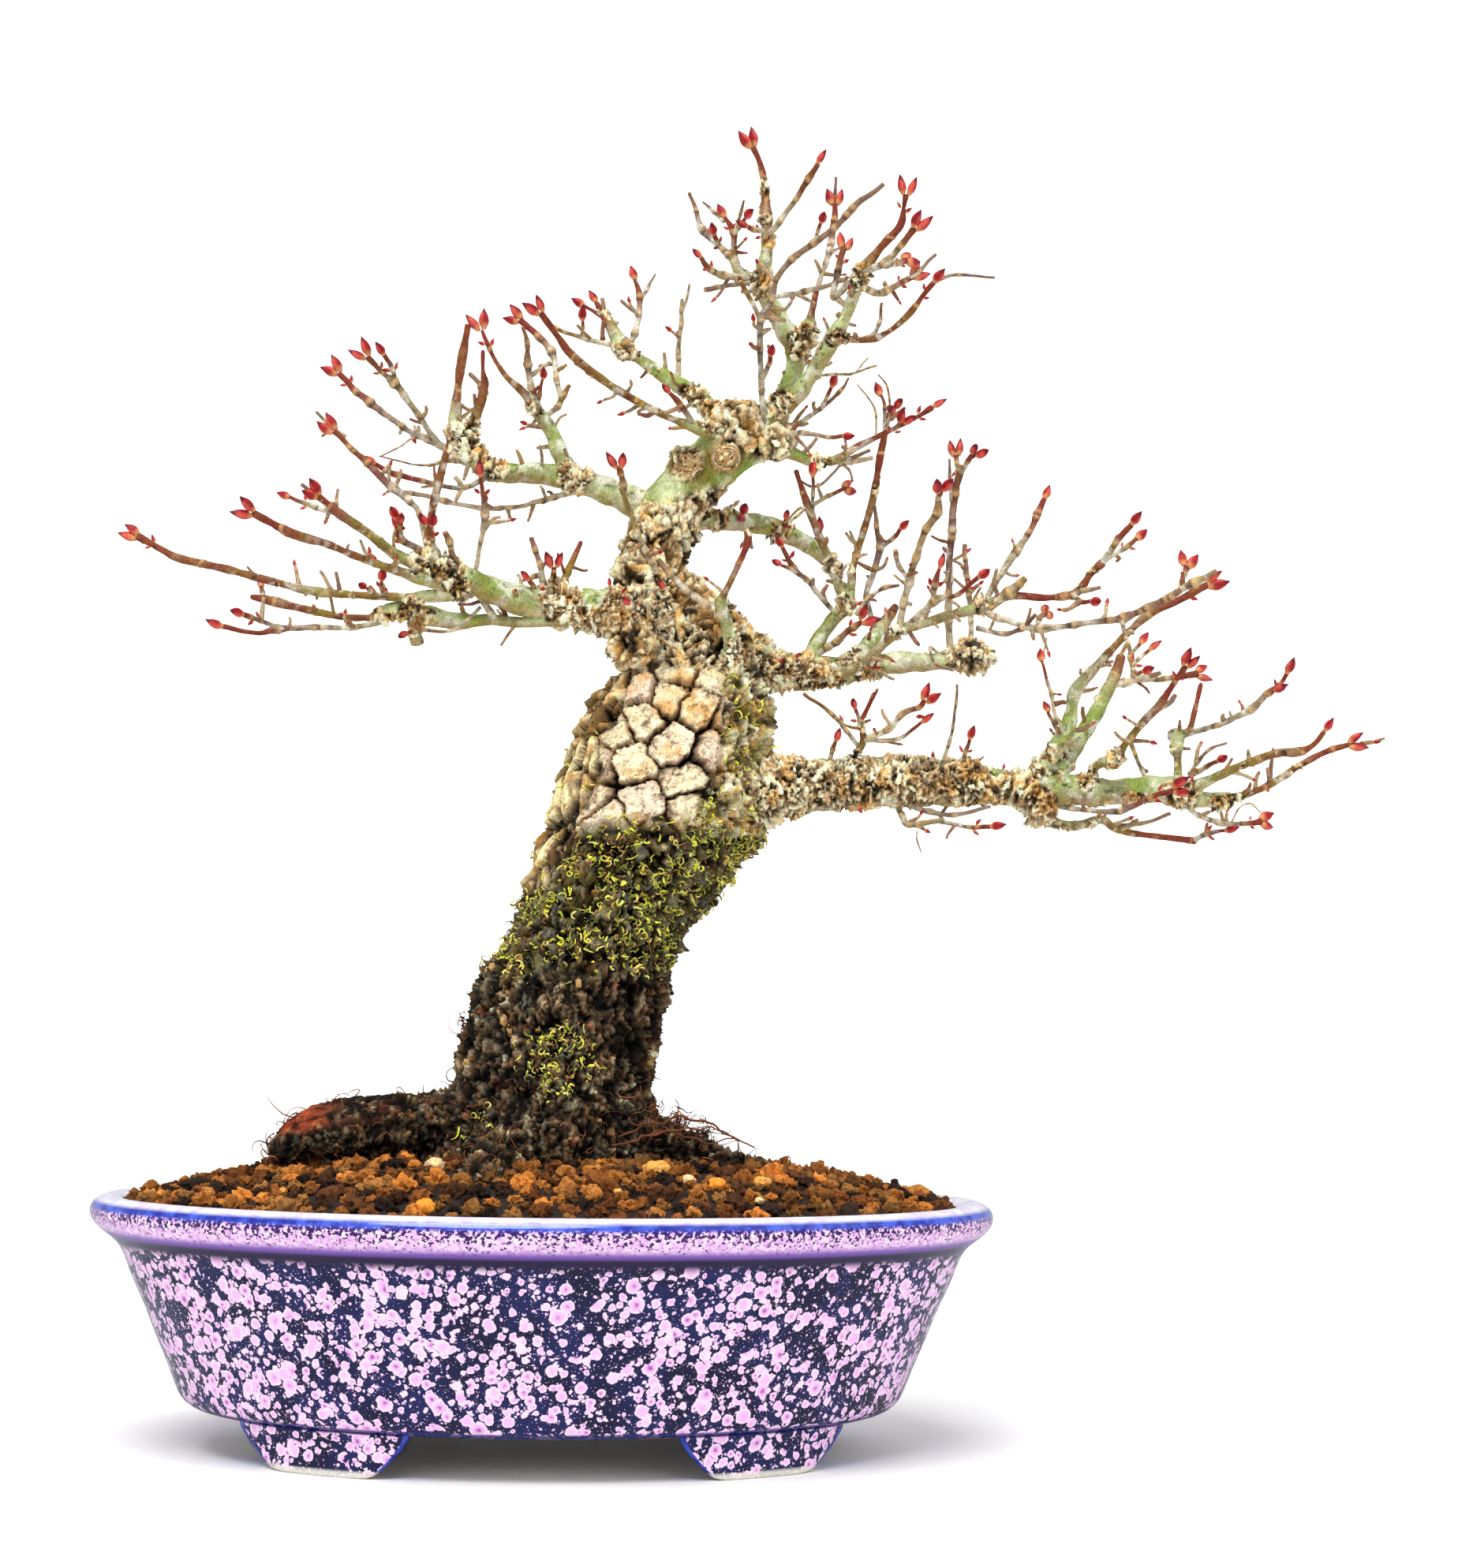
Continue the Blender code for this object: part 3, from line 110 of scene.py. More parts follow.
LIMBS = {
    "limb_left_low": (
        (0, -12, "cut", (20, 157.5, 6), (12, 158, 4.7), (5, 158.6, 3.9), (-5, 159.5, 3.2),
         (-10, 160.9, 2.7),
         (-15, 162.7, 2.5), (-20, 165, 2.4), (-24, 167, 2), (-28, 167.5, 1.5)),
        (None, -8, "pair", (-26, 166, 1.5), (-31, 168.3, 1.3), (-36, 172, 1.1), (-41.5, 175.6, 1.2),
         (-44.5, 178, 0.8), (-45.7, 179, 0.9)),
        (None, 3, "bud", (-41.5, 175.6, 0.6), (-46.5, 177, 0.7), (-51, 178.6, 0.5)),
        (None, -17, "pair", (-19, 162.5, 1.7), (-25, 163.6, 1.6), (-31, 165.2, 1.1), (-38, 167.5, 1),
         (-44, 169.9, 1), (-49.8, 171.4, 1.2), (-55, 173.9, 0.9), (-58, 175.4, 1)),
        (None, 12, "pair", (-18, 161, 1.5), (-24, 160.3, 1.4), (-30, 160, 1.1), (-38, 160.2, 1),
         (-46, 160.7, 1.2), (-54, 162.4, 1), (-63, 164.6, 1), (-71.3, 166.3, 1.1), (-75, 168, 0.8),
         (-79.5, 170.4, 1)),
        (None, -3, "bud", (-22, 167, 0.9), (-25.5, 169, 0.9), (-29.6, 171, 0.9), (-30.4, 173, 0.7)),
        (None, -8, "cut", (-21.4, 166.2, 1), (-24.6, 171, 0.95), (-24, 177, 1), (-22.3, 185, 1),
         (-20.7, 191, 1), (-20.2, 195, 1.3), (-19.6, 201, 0.9), (-19, 206, 1.1), (-17.9, 213, 0.8)),
        (None, 3, "pair", (-25, 170, 0.7), (-26.5, 176, 0.7), (-28.6, 178.3, 0.8), (-31.5, 180.9, 1.1),
         (-36.7, 185.6, 0.9), (-40, 188.6, 0.6), (-43, 191.5, 0.8)),
        (None, -8, "bud", (-15.8, 164, 0.7), (-14.6, 171.5, 0.6), (-14, 176.4, 0.9), (-15, 183.6, 0.5)),
        (None, -3, "pair", (-0.5, 160, 1.6), (-0.6, 164, 1), (-0.6, 166.4, 0.6)),
        (None, 4, "cut", (0, 160, 1.4), (2, 165.5, 1), (4.5, 171.5, 0.7)),
    ),
    "branch_left_under": (
        (-6, 0, "cut", (2, 156.5, 1.5), (-6, 155.7, 1.3), (-13, 156, 1.3), (-19, 155.6, 1.7),
         (-25, 156.6, 2), (-30, 157.5, 1.9), (-35, 155.8, 1.4)),
        (None, 4, "cut", (-33, 156, 1), (-40, 155.9, 0.9), (-48, 157.3, 0.9), (-54, 158.7, 1.3),
         (-58, 159.4, 0.7)),
        (None, -6, "bud", (-33, 155.4, 1), (-38, 154.1, 0.7), (-46, 153.8, 0.7), (-52.7, 153.4, 0.9),
         (-57, 152.4, 0.6), (-63, 153.6, 0.7)),
        (None, -5.5, "bud", (-51.5, 153.3, 0.6), (-56, 154.9, 0.6), (-59.3, 156, 0.7)),
        (None, 1, "cut", (-26, 156, 1.3), (-26.6, 153, 1.4), (-26.3, 151, 1.5)),
        (None, -6, "cut", (-11.5, 156, 1.1), (-15.6, 161.5, 0.8), (-18.6, 166, 0.7), (-20.6, 169.4, 0.6)),
    ),
    "limb_left_mid": (
        (3, 3, "cut", (19, 177.5, 3.4), (11, 180.8, 2.8), (5, 182.8, 2.5), (0, 184, 2.3), (-5, 184.5, 2.2),
         (-10, 184.4, 2), (-13.5, 185, 2.2), (-16.5, 188, 2.1), (-18, 191, 2.1), (-16.6, 194, 1.4),
         (-15.2, 198, 1.2), (-14.5, 201.4, 1), (-14.9, 204, 0.7), (-15, 208, 0.6)),
        (None, 6, "pair", (-13, 184.5, 1), (-19, 187.6, 1.1), (-25, 190.4, 1.1), (-30, 192.7, 0.7),
         (-36, 197.1, 1), (-39, 199.3, 0.9), (-42.3, 202.8, 0.8)),
        (None, -5.5, "pair", (-23, 189.5, 0.9), (-27, 195, 0.8), (-30, 199, 0.9), (-31.8, 201.2, 1.1),
         (-34, 203, 0.6), (-37, 206, 0.9)),
        (None, -2, "bud", (-31.5, 200.8, 0.7), (-32, 203.5, 0.6), (-33.8, 206.5, 0.7)),
        (None, -9, "bud", (-13, 184, 0.9), (-18, 181.4, 0.7), (-24, 182, 0.6), (-31, 183.6, 0.8),
         (-35, 185.6, 0.6)),
        (None, 10, "cut", (6, 182.2, 1), (-3, 179.2, 0.7), (-9, 177.8, 0.6), (-15, 177.5, 0.6),
         (-22, 178.7, 0.7), (-28, 180, 0.6), (-31, 180.2, 0.4)),
    ),
    "branch_left_upright": (
        (None, -2, "pair", (2.5, 184, 1.9), (0.3, 188, 1.7), (-1.8, 193, 1.6), (-4.6, 196.8, 1.5),
         (-7, 200, 1.1), (-10.2, 202.8, 0.8), (-12.5, 206, 0.6), (-14.3, 209.6, 0.6), (-15.3, 212, 0.5)),
        (None, -4.5, "cut", (-4.8, 197, 1.1), (-5.6, 201, 0.8), (-6.3, 205.7, 0.9), (-6.4, 209, 0.6),
         (-7.4, 212.8, 0.5)),
        (None, -3.5, "bud", (-4.4, 196.5, 0.8), (-4, 200, 0.5), (-3.4, 202.8, 0.4)),
        (None, 4.5, "cut", (-3, 195.5, 0.9), (-0.4, 197.5, 0.8), (0.6, 199.6, 0.8), (1.8, 201.4, 0.6)),
        (None, 4, "pair", (0.2, 199, 0.8), (-0.8, 203, 0.7), (-1.8, 208, 1), (-4.4, 211.2, 0.8),
         (-8, 214, 0.9)),
    ),
    "shoot_left_long": (
        (2, -12, "pair", (33, 192.5, 1.5), (27, 194, 1.6), (22, 195.6, 1), (16, 198.3, 1), (9, 202.3, 1),
         (2.4, 207.3, 1.1), (-0.6, 211, 0.8), (-4, 215.6, 1)),
        (None, -5, "bud", (26, 194.2, 0.9), (22.6, 199, 0.8), (21, 200.8, 0.6)),
    ),
    "limb_upper_left": (
        (4, 12, "bud", (34, 194, 2.2), (29.5, 197.3, 1.8), (26, 200.4, 1.8), (21, 203.4, 1.6),
         (15, 207.2, 1.3), (12, 209, 1.9), (10.3, 212, 1.5), (8, 215.6, 1.2), (6.6, 218, 0.7)),
        (None, 4, "bud", (12.6, 208.6, 1), (14, 212, 0.8), (14.9, 216, 0.7), (15, 219.4, 0.9),
         (14, 222.6, 0.5)),
        (None, 2.5, "cut", (15, 218.6, 0.6), (16.3, 220.8, 0.5), (17.8, 224, 0.3)),
        (None, 4, "cut", (11, 209.6, 0.9), (5, 210.8, 0.7), (1, 212, 0.5), (-2.6, 213.6, 0.5)),
        (None, 1, "cut", (22.6, 203, 0.9), (22.6, 209, 0.6), (23, 214, 0.6), (23.2, 219, 0.5)),
    ),
    "apex_leader": (
        (3, -3, "pair", (38.5, 195, 2.4), (42.5, 200, 1.9), (44.8, 205, 1.9), (45.6, 209.5, 2.3),
         (43.6, 213, 2.1), (41.3, 217, 1.9), (39, 221, 1.8), (38.8, 225, 1.6), (39.5, 230, 1.4),
         (39.2, 236, 1.3), (38.8, 241.5, 1), (38.6, 243.6, 0.9), (37.6, 247, 0.7), (36.4, 249.4, 1)),
        (None, -6, "bud", (39.4, 232, 1), (42, 235.2, 0.8), (45, 239.6, 0.7), (47.3, 243.5, 0.9),
         (49, 246.6, 0.7)),
        (None, 3, "bud", (38.8, 222.5, 1.3), (35, 224.3, 1.3), (33.4, 226, 1.2), (33, 229.5, 0.9),
         (32.9, 232.6, 1), (31.2, 235.4, 0.6)),
        (None, -5.4, "bud", (32.9, 232, 0.6), (34.4, 234.4, 0.5), (35.2, 235.6, 0.5)),
        (None, 7.4, "cut", (34, 225, 1), (31, 229, 0.8), (27, 232.6, 0.9), (25.6, 236.6, 0.6),
         (24.3, 240, 0.5)),
        (None, -2, "bud", (30, 230, 0.7), (29.2, 232, 0.7)),
        (None, -6, "bud", (36, 223.5, 1.1), (31, 224, 1), (28, 225.8, 0.8), (26.6, 227.4, 0.6)),
        (None, -4, "cut", (36.5, 222.8, 0.8), (31, 221.8, 0.6), (27.5, 221, 0.7)),
        (None, -1, "cut", (45.4, 210, 1.6), (47.4, 213, 1.8), (48.4, 218, 0.9), (49.3, 222.4, 0.8)),
        (None, 4, "pair", (49.2, 221.6, 0.8), (50.8, 227, 0.7), (51.9, 231, 0.9), (52.4, 235.6, 0.8),
         (52.5, 238.6, 0.8)),
    ),
    "riser_front": (
        (1, -10, "cut", (39.8, 194, 1.1), (38.8, 202, 0.8), (38.3, 210, 0.8), (38.5, 215.5, 1),
         (40.2, 219, 0.7), (41.6, 224, 0.7), (44.5, 227.7, 0.9), (48.5, 231, 0.9), (52.5, 234, 0.8),
         (56.2, 238, 0.9), (62, 243, 0.6)),
        (None, -4, "cut", (38.5, 215, 0.7), (36.6, 219, 0.6), (34.4, 223, 0.6)),
        (None, -4, "bud", (38.8, 204, 0.8), (40.2, 207, 0.6), (40.4, 208.6, 0.6)),
    ),
    "limb_upper_right": (
        (2, -14, "pair", (39, 194, 2.3), (42.5, 197.8, 1.9), (46, 201.6, 1.8), (48.6, 205.5, 1.6),
         (51, 209.5, 1.7), (53, 213, 1.7), (55, 217, 1.4), (56.6, 221.5, 1.4), (57.6, 225, 1.7),
         (60, 228.4, 1.2), (62.2, 231.2, 1), (65.4, 235, 1), (66, 238.6, 0.6), (66.4, 241, 0.9)),
        (None, -12, "bud", (53, 212.7, 1.4), (57, 212.2, 0.9), (60.5, 212.5, 1), (64, 214.5, 0.7),
         (67.3, 217.6, 0.9), (70, 221.4, 0.7), (72, 224, 0.7)),
        (None, 5, "pair", (57, 224, 1.2), (59.5, 222, 0.9), (62.6, 221.9, 1), (66, 224, 0.7),
         (67.8, 225, 0.8)),
        (None, -5, "pair", (58, 225.6, 1.2), (62.4, 227.6, 1), (65.6, 231, 0.8), (68.2, 234.4, 1)),
        (None, 5, "pair", (61.8, 227.4, 0.8), (64.6, 227.3, 0.7), (66.4, 228, 0.9)),
        (None, 5, "pair", (55.6, 223.5, 1), (52.6, 220.4, 0.9), (53.4, 226, 0.9), (54.4, 230, 0.9)),
        (None, -9, "bud", (41, 195, 1.2), (44, 193.6, 1), (47, 193.6, 0.7), (52, 193, 0.5),
         (54.6, 193.2, 0.6)),
        (None, 8, "cut", (42, 196.5, 1.1), (45, 195, 0.8), (50.4, 198.6, 0.6), (54, 202, 0.5),
         (55.5, 204.6, 0.3)),
    ),
    "limb_right_high": (
        (1, -3, "bud", (39, 191.5, 2), (44, 190, 1.5), (49, 188.2, 1.3), (53.4, 188.6, 1.2), (57, 191, 0.9),
         (63, 194.2, 0.7), (68, 196.8, 0.6), (72, 199.4, 0.9)),
        (None, 2.4, "cut", (52.6, 188.3, 0.9), (56.5, 188.4, 0.8), (60.4, 189.3, 0.6)),
    ),
    "limb_right_back": (
        (6, 16, "cut", (22, 176.5, 3.2), (29, 176.4, 2.2), (35, 176.1, 2.1), (40, 175.5, 2.1),
         (44, 174, 2), (48, 172, 1.8), (52, 169.2, 1.5), (54.6, 167.6, 1)),
        (None, -5, "pair", (35.4, 175.5, 0.9), (35.3, 177.4, 0.8)),
        (None, -3, "bud", (43.4, 174, 0.8), (43.8, 177, 0.7)),
    ),
    "limb_right_mid": (
        (0, 6, "cut", (28, 149, 6), (36, 148.6, 5), (42, 147.6, 4.1), (48, 147.5, 3.4), (54, 147.7, 2.8),
         (60, 148.7, 2.4), (66, 149.6, 2.3), (72, 149.7, 1.8), (76, 150.4, 2), (79.5, 151, 3.4),
         (83, 150.6, 2.4)),
        (None, 5, "cut", (48, 149, 1.5), (50.4, 153.6, 1.6), (53.2, 157.6, 1.5), (55.6, 160.6, 1.7),
         (56.6, 164, 1.2), (57.1, 168.4, 0.9), (58.6, 174, 0.9), (60.6, 181, 1.1), (61.4, 186, 0.8),
         (62, 190, 1), (63, 195, 0.8)),
        (None, 4, "bud", (62.9, 194, 0.7), (62.6, 199, 0.5), (61.8, 201.4, 0.4)),
        (None, -6, "pair", (62.9, 194.5, 0.7), (63.8, 197.6, 0.7), (64.4, 198.8, 0.7)),
        (None, -2, "cut", (55.6, 160.4, 1.3), (53, 167.4, 1.2), (50, 174.4, 1.1), (48, 179.6, 1.1),
         (46.4, 184, 0.7), (45.6, 186.4, 0.7)),
        (None, 6, "pair", (48.4, 179.2, 0.6), (52, 181.5, 0.6), (55, 183, 0.6)),
        (None, 8, "cut", (57, 149.5, 1.6), (60.5, 153.6, 1.6), (63, 157, 1.4), (65.3, 160.4, 1.1)),
        (None, -4, "cut", (61.4, 155.5, 0.9), (59.6, 162, 0.8), (61.2, 168, 0.8), (62, 171.8, 1),
         (61.4, 176, 0.6),
         (60.9, 180, 0.5)),
        (None, -3.6, "bud", (61.9, 171.4, 0.6), (64.6, 173.6, 0.6), (66, 175.4, 0.6)),
        (None, -3, "cut", (76, 151, 1), (75.6, 158, 1), (75.6, 166, 1), (75.9, 174, 1), (76.6, 182.6, 1),
         (77.6, 187, 1.1)),
        (None, 1, "pair", (77.5, 186.4, 0.8), (76.9, 188.6, 0.6), (76.7, 190, 0.7)),
        (None, -5, "pair", (77.6, 186.6, 0.8), (79, 189, 0.7), (80.3, 190.4, 0.8)),
        (None, 9, "cut", (80, 152, 0.9), (79.9, 158, 0.7), (79.3, 164, 0.7), (78.6, 170, 0.6),
         (78.6, 172.6, 0.7)),
        (None, -9, "bud", (54, 159, 0.8), (52.4, 160, 0.7), (48, 165, 0.7), (45.2, 167.6, 0.8),
         (43.2, 171.4, 0.6)),
    ),
    "branch_right_front": (
        (-2.4, -9.6, "cut", (46.5, 147.4, 1.7), (53, 147.2, 1.3), (58.5, 148.7, 1.2),
         (62.4, 152.6, 1.2), (66, 155.8, 1.4),
         (71, 157.3, 1.2), (76.5, 159.2, 1.2), (82.5, 160.8, 1.5), (86.6, 162.8, 1.1), (90, 163, 1),
         (95, 162.8, 0.9), (100.3, 163.9, 1.1), (103, 167.4, 0.9), (105.6, 170, 1.1)),
        (None, -3, "bud", (105.2, 169.6, 0.9), (108.2, 173.8, 0.8), (111, 177.4, 0.8)),
        (None, 3, "bud", (105.2, 169.7, 0.7), (110, 173, 0.6), (112, 174.6, 0.6)),
        (None, -5, "bud", (99.8, 163.6, 0.8), (101.2, 162.1, 0.6), (103.4, 162.2, 0.6)),
        (None, 6, "bud", (82.5, 160.8, 1), (84.2, 165, 0.8), (88.6, 171.6, 1.1), (91, 175.2, 0.8),
         (92.5, 178.4, 0.9), (94, 182, 0.8)),
        (None, -13, "cut", (82, 160.6, 1.2), (85, 158.5, 0.9), (90, 157.2, 0.8), (93.5, 156.7, 1.1),
         (100, 157.6, 0.7),
         (107, 158.7, 0.8), (109.5, 159.4, 1.1), (113, 160.7, 0.8), (118, 163.1, 0.8), (120.8, 165, 0.9)),
        (None, 1.6, "pair", (120.2, 164.7, 0.8), (121.4, 168, 0.6), (121.8, 169.4, 0.8)),
        (None, -2.4, "cut", (120, 164.5, 0.8), (123, 166.2, 1), (128, 168.7, 0.6)),
        (None, -6.5, "cut", (109.2, 159, 0.8), (110, 156, 0.5), (111.2, 151.6, 0.6), (111.6, 149.6, 0.6)),
        (None, 0.5, "bud", (111, 152, 0.5), (112.8, 154.2, 0.5)),
        (None, 6, "pair", (93, 156.8, 0.8), (93.2, 158.6, 0.7), (94.4, 159.7, 0.6)),
        (None, -9, "cut", (66, 156, 1), (66.8, 161, 0.9), (67.8, 165.3, 1), (69, 170, 0.9),
         (71.2, 175.6, 0.9),
         (73.2, 179, 1.1), (73.3, 182, 0.8)),
        (None, -1.4, "pair", (73.2, 181.4, 0.8), (73.7, 183, 0.8)),
        (None, -6.4, "cut", (67.8, 165.2, 0.7), (66, 168, 0.6), (65, 171.2, 0.6)),
        (None, -12.6, "bud", (67, 156.2, 0.8), (70, 159, 0.8), (73, 161.8, 1), (77.4, 163, 0.6),
         (81.4, 166.4, 0.6)),
        (None, -2.2, "bud", (72.4, 161.4, 0.7), (72.8, 165, 0.9), (73.7, 168, 0.5)),
    ),
    "limb_right_low": (
        (0, -4, "cut", (26, 122.5, 8), (36, 123.8, 7.4), (44, 125, 5.9), (51, 125.5, 4.9), (59, 126, 4.8),
         (66, 126.6, 4.9), (74, 126.6, 4.6), (80, 126.3, 4.3), (86, 125.8, 3.5), (92, 125.2, 3.5),
         (97, 125.7, 3.2), (103, 125.3, 2.9), (109, 125.4, 2.6), (115, 126, 2.7), (120, 125.8, 3),
         (123.5, 125.3, 2.2)),
        (None, 1, "cut", (92.5, 124, 3), (93.5, 121.2, 3.3), (94, 119.6, 1.9)),
        (None, 6, "cut", (120.5, 126, 1.6), (120.4, 131, 1), (120.4, 136.2, 1.6), (122.6, 137.6, 0.9),
         (123.6, 141, 0.7), (124.9, 146.8, 0.7)),
        (None, -8, "bud", (121.2, 136.6, 0.9), (128, 138.7, 0.7), (134.6, 142, 1), (138, 145, 0.8),
         (140.6, 147, 0.5), (141.7, 149, 0.6)),
        (None, -9, "bud", (122, 125.8, 1.5), (128, 128.7, 1.2), (133, 131, 1), (139.8, 133.5, 1.1),
         (144, 133.8, 1.1), (147, 135.2, 0.7), (149.2, 138, 0.7)),
        (None, 1, "pair", (121.5, 124.4, 1.7), (129, 124.3, 1.5), (135, 125.8, 0.9), (140, 128.3, 1),
         (145, 131.6, 0.9), (150, 134.2, 0.8), (154, 135.4, 0.8)),
        (None, 8, "cut", (94, 119.8, 1.3), (100, 118.7, 1.2), (105.6, 120, 1.1), (108, 118.4, 1),
         (112, 117.4, 0.9),
         (118, 116.8, 0.8), (124, 116.2, 0.9)),
        (None, -2.6, "bud", (123.5, 116.2, 0.8), (126, 117.6, 0.7), (129.6, 118.3, 0.5)),
        (None, 10, "pair", (121, 124, 1), (124.6, 121.2, 0.7), (128.4, 119.8, 0.8), (133, 119.8, 0.6),
         (136.6, 120.2, 0.9)),
        (None, -8, "pair", (96, 122.6, 0.8), (103, 121.7, 0.6), (109.3, 121.9, 0.9),
         (115, 124.4, 0.6), (119.4, 126, 0.8)),
        (None, -6, "cut", (65.4, 123.5, 1), (67, 120, 0.8), (68.4, 118.4, 0.8), (75, 119.2, 0.7)),
        (None, -4.6, "bud", (74, 119.1, 0.6), (80, 118, 0.5), (84, 118.3, 0.6)),
        (None, -5, "cut", (56.4, 129, 1.3), (58.6, 133, 0.9), (59.4, 134.6, 1), (58.8, 137.6, 0.8),
         (60, 140.6, 0.6),
         (61.8, 144.4, 0.6)),
        (None, -2.6, "bud", (58.8, 137.2, 0.6), (57.6, 140.6, 0.5)),
        (None, -5.8, "pair", (59.3, 134.4, 0.9), (64, 136.6, 0.8), (66.6, 139.6, 0.8),
         (70, 140.8, 0.7), (71, 142.2, 0.7)),
    ),
    "branch_right_uprights": (
        (None, -8, "pair", (91, 126, 2), (93.6, 129.8, 1.9), (96.4, 133.4, 1.7), (98.8, 137.4, 1.7),
         (99.6, 141, 1.4),
         (100.4, 144.8, 1.5), (104, 149.2, 1.2), (107.2, 152.8, 1), (110.4, 156.2, 1), (114.6, 160, 1.1),
         (121, 163.2, 1), (126, 166, 1)),
        (None, 9, "cut", (96, 127, 2), (99, 132, 1.9), (101.8, 136.4, 1.7), (104.3, 140.4, 1.6),
         (106.6, 145, 1.5), (108.4, 149, 1.3), (109.2, 151.8, 1.2)),
        (None, 6.4, "pair", (106.6, 146, 1), (110, 146.8, 1.1), (113, 147.2, 0.9), (118, 147.6, 0.7),
         (124, 148.6, 1)),
        (None, 8, "bud", (98.6, 137.2, 0.8), (97, 139, 0.6), (95.5, 144, 0.5), (93.8, 150.4, 0.4)),
    ),
    "branch_right_middle": (
        (None, -12, "pair", (101.5, 126, 1.5), (104.6, 130.4, 1.1), (108, 131.6, 1.5),
         (110.4, 135, 0.9), (113.4, 138.8, 1),
         (117, 142.7, 1.1), (119.4, 146.4, 0.7), (121.8, 150, 0.9)),
        (None, 4.6, "cut", (115.4, 141, 0.9), (118, 142.4, 0.8), (119.8, 144.2, 0.7)),
    ),
    "shoot_trunk_right": (
        (-5.5, -5.5, "cut", (33.5, 148, 2), (33.6, 152.6, 1.6), (32.6, 156.5, 1.4), (31.4, 160, 1.4),
         (32.6, 163, 0.8),
         (34.6, 167.5, 0.8), (36.5, 172.2, 1), (36.4, 174.6, 0.6)),
        (None, 0.2, "cut", (31.5, 159, 1), (28.6, 160, 1), (25, 162.4, 0.9), (21.6, 165.8, 0.8),
         (19.4, 168.6, 0.7)),
    ),
    "shoot_trunk_left": (
        (-5, -7, "bud", (21, 153, 1.4), (18.4, 156, 1), (15.4, 158.4, 0.7), (14, 159.6, 0.6)),
        (None, -6, "bud", (21, 153, 1.4), (20.8, 157.5, 0.9), (20.2, 162.6, 0.6)),
    ),
}
GROWS_FROM = {
    "limb_left_low": ("trunk_with_roots",),
    "branch_left_under": ("trunk_with_roots", "limb_left_low"),
    "limb_left_mid": ("trunk_with_roots",),
    "branch_left_upright": ("limb_left_mid",),
    "shoot_left_long": ("trunk_with_roots",),
    "limb_upper_left": ("trunk_with_roots",),
    "apex_leader": ("trunk_with_roots",),
    "riser_front": ("trunk_with_roots", "limb_upper_right"),
    "limb_upper_right": ("trunk_with_roots", "apex_leader"),
    "limb_right_high": ("trunk_with_roots", "limb_upper_right"),
    "limb_right_back": ("trunk_with_roots",),
    "limb_right_mid": ("trunk_with_roots",),
    "branch_right_front": ("limb_right_mid",),
    "limb_right_low": ("trunk_with_roots",),
    "branch_right_uprights": ("limb_right_low",),
    "branch_right_middle": ("limb_right_low",),
    "shoot_trunk_right": ("trunk_with_roots", "limb_right_mid"),
    "shoot_trunk_left": ("trunk_with_roots",),
}
# Thread-like roots over the soil at the trunk's right foot.
ROOT_THREADS = (
    (-9, -4, "cut", (8, 56, 0.5), (13, 58, 0.5), (18, 60, 0.4), (22, 61, 0.4), (25, 63, 0.3)),
    (-11, -3, "cut", (12, 56.5, 0.5), (20, 58.5, 0.5), (27, 60.5, 0.4), (32, 60, 0.3), (36, 57.5, 0.3)),
    (-8, -3, "cut", (18, 57, 0.5), (24, 61.5, 0.5), (29, 61.8, 0.5), (33, 59, 0.4), (39, 57, 0.3)),
    (-9, 2, "cut", (20, 62, 0.4), (25, 59, 0.4), (31, 57.5, 0.3), (36, 57.8, 0.3)),
)
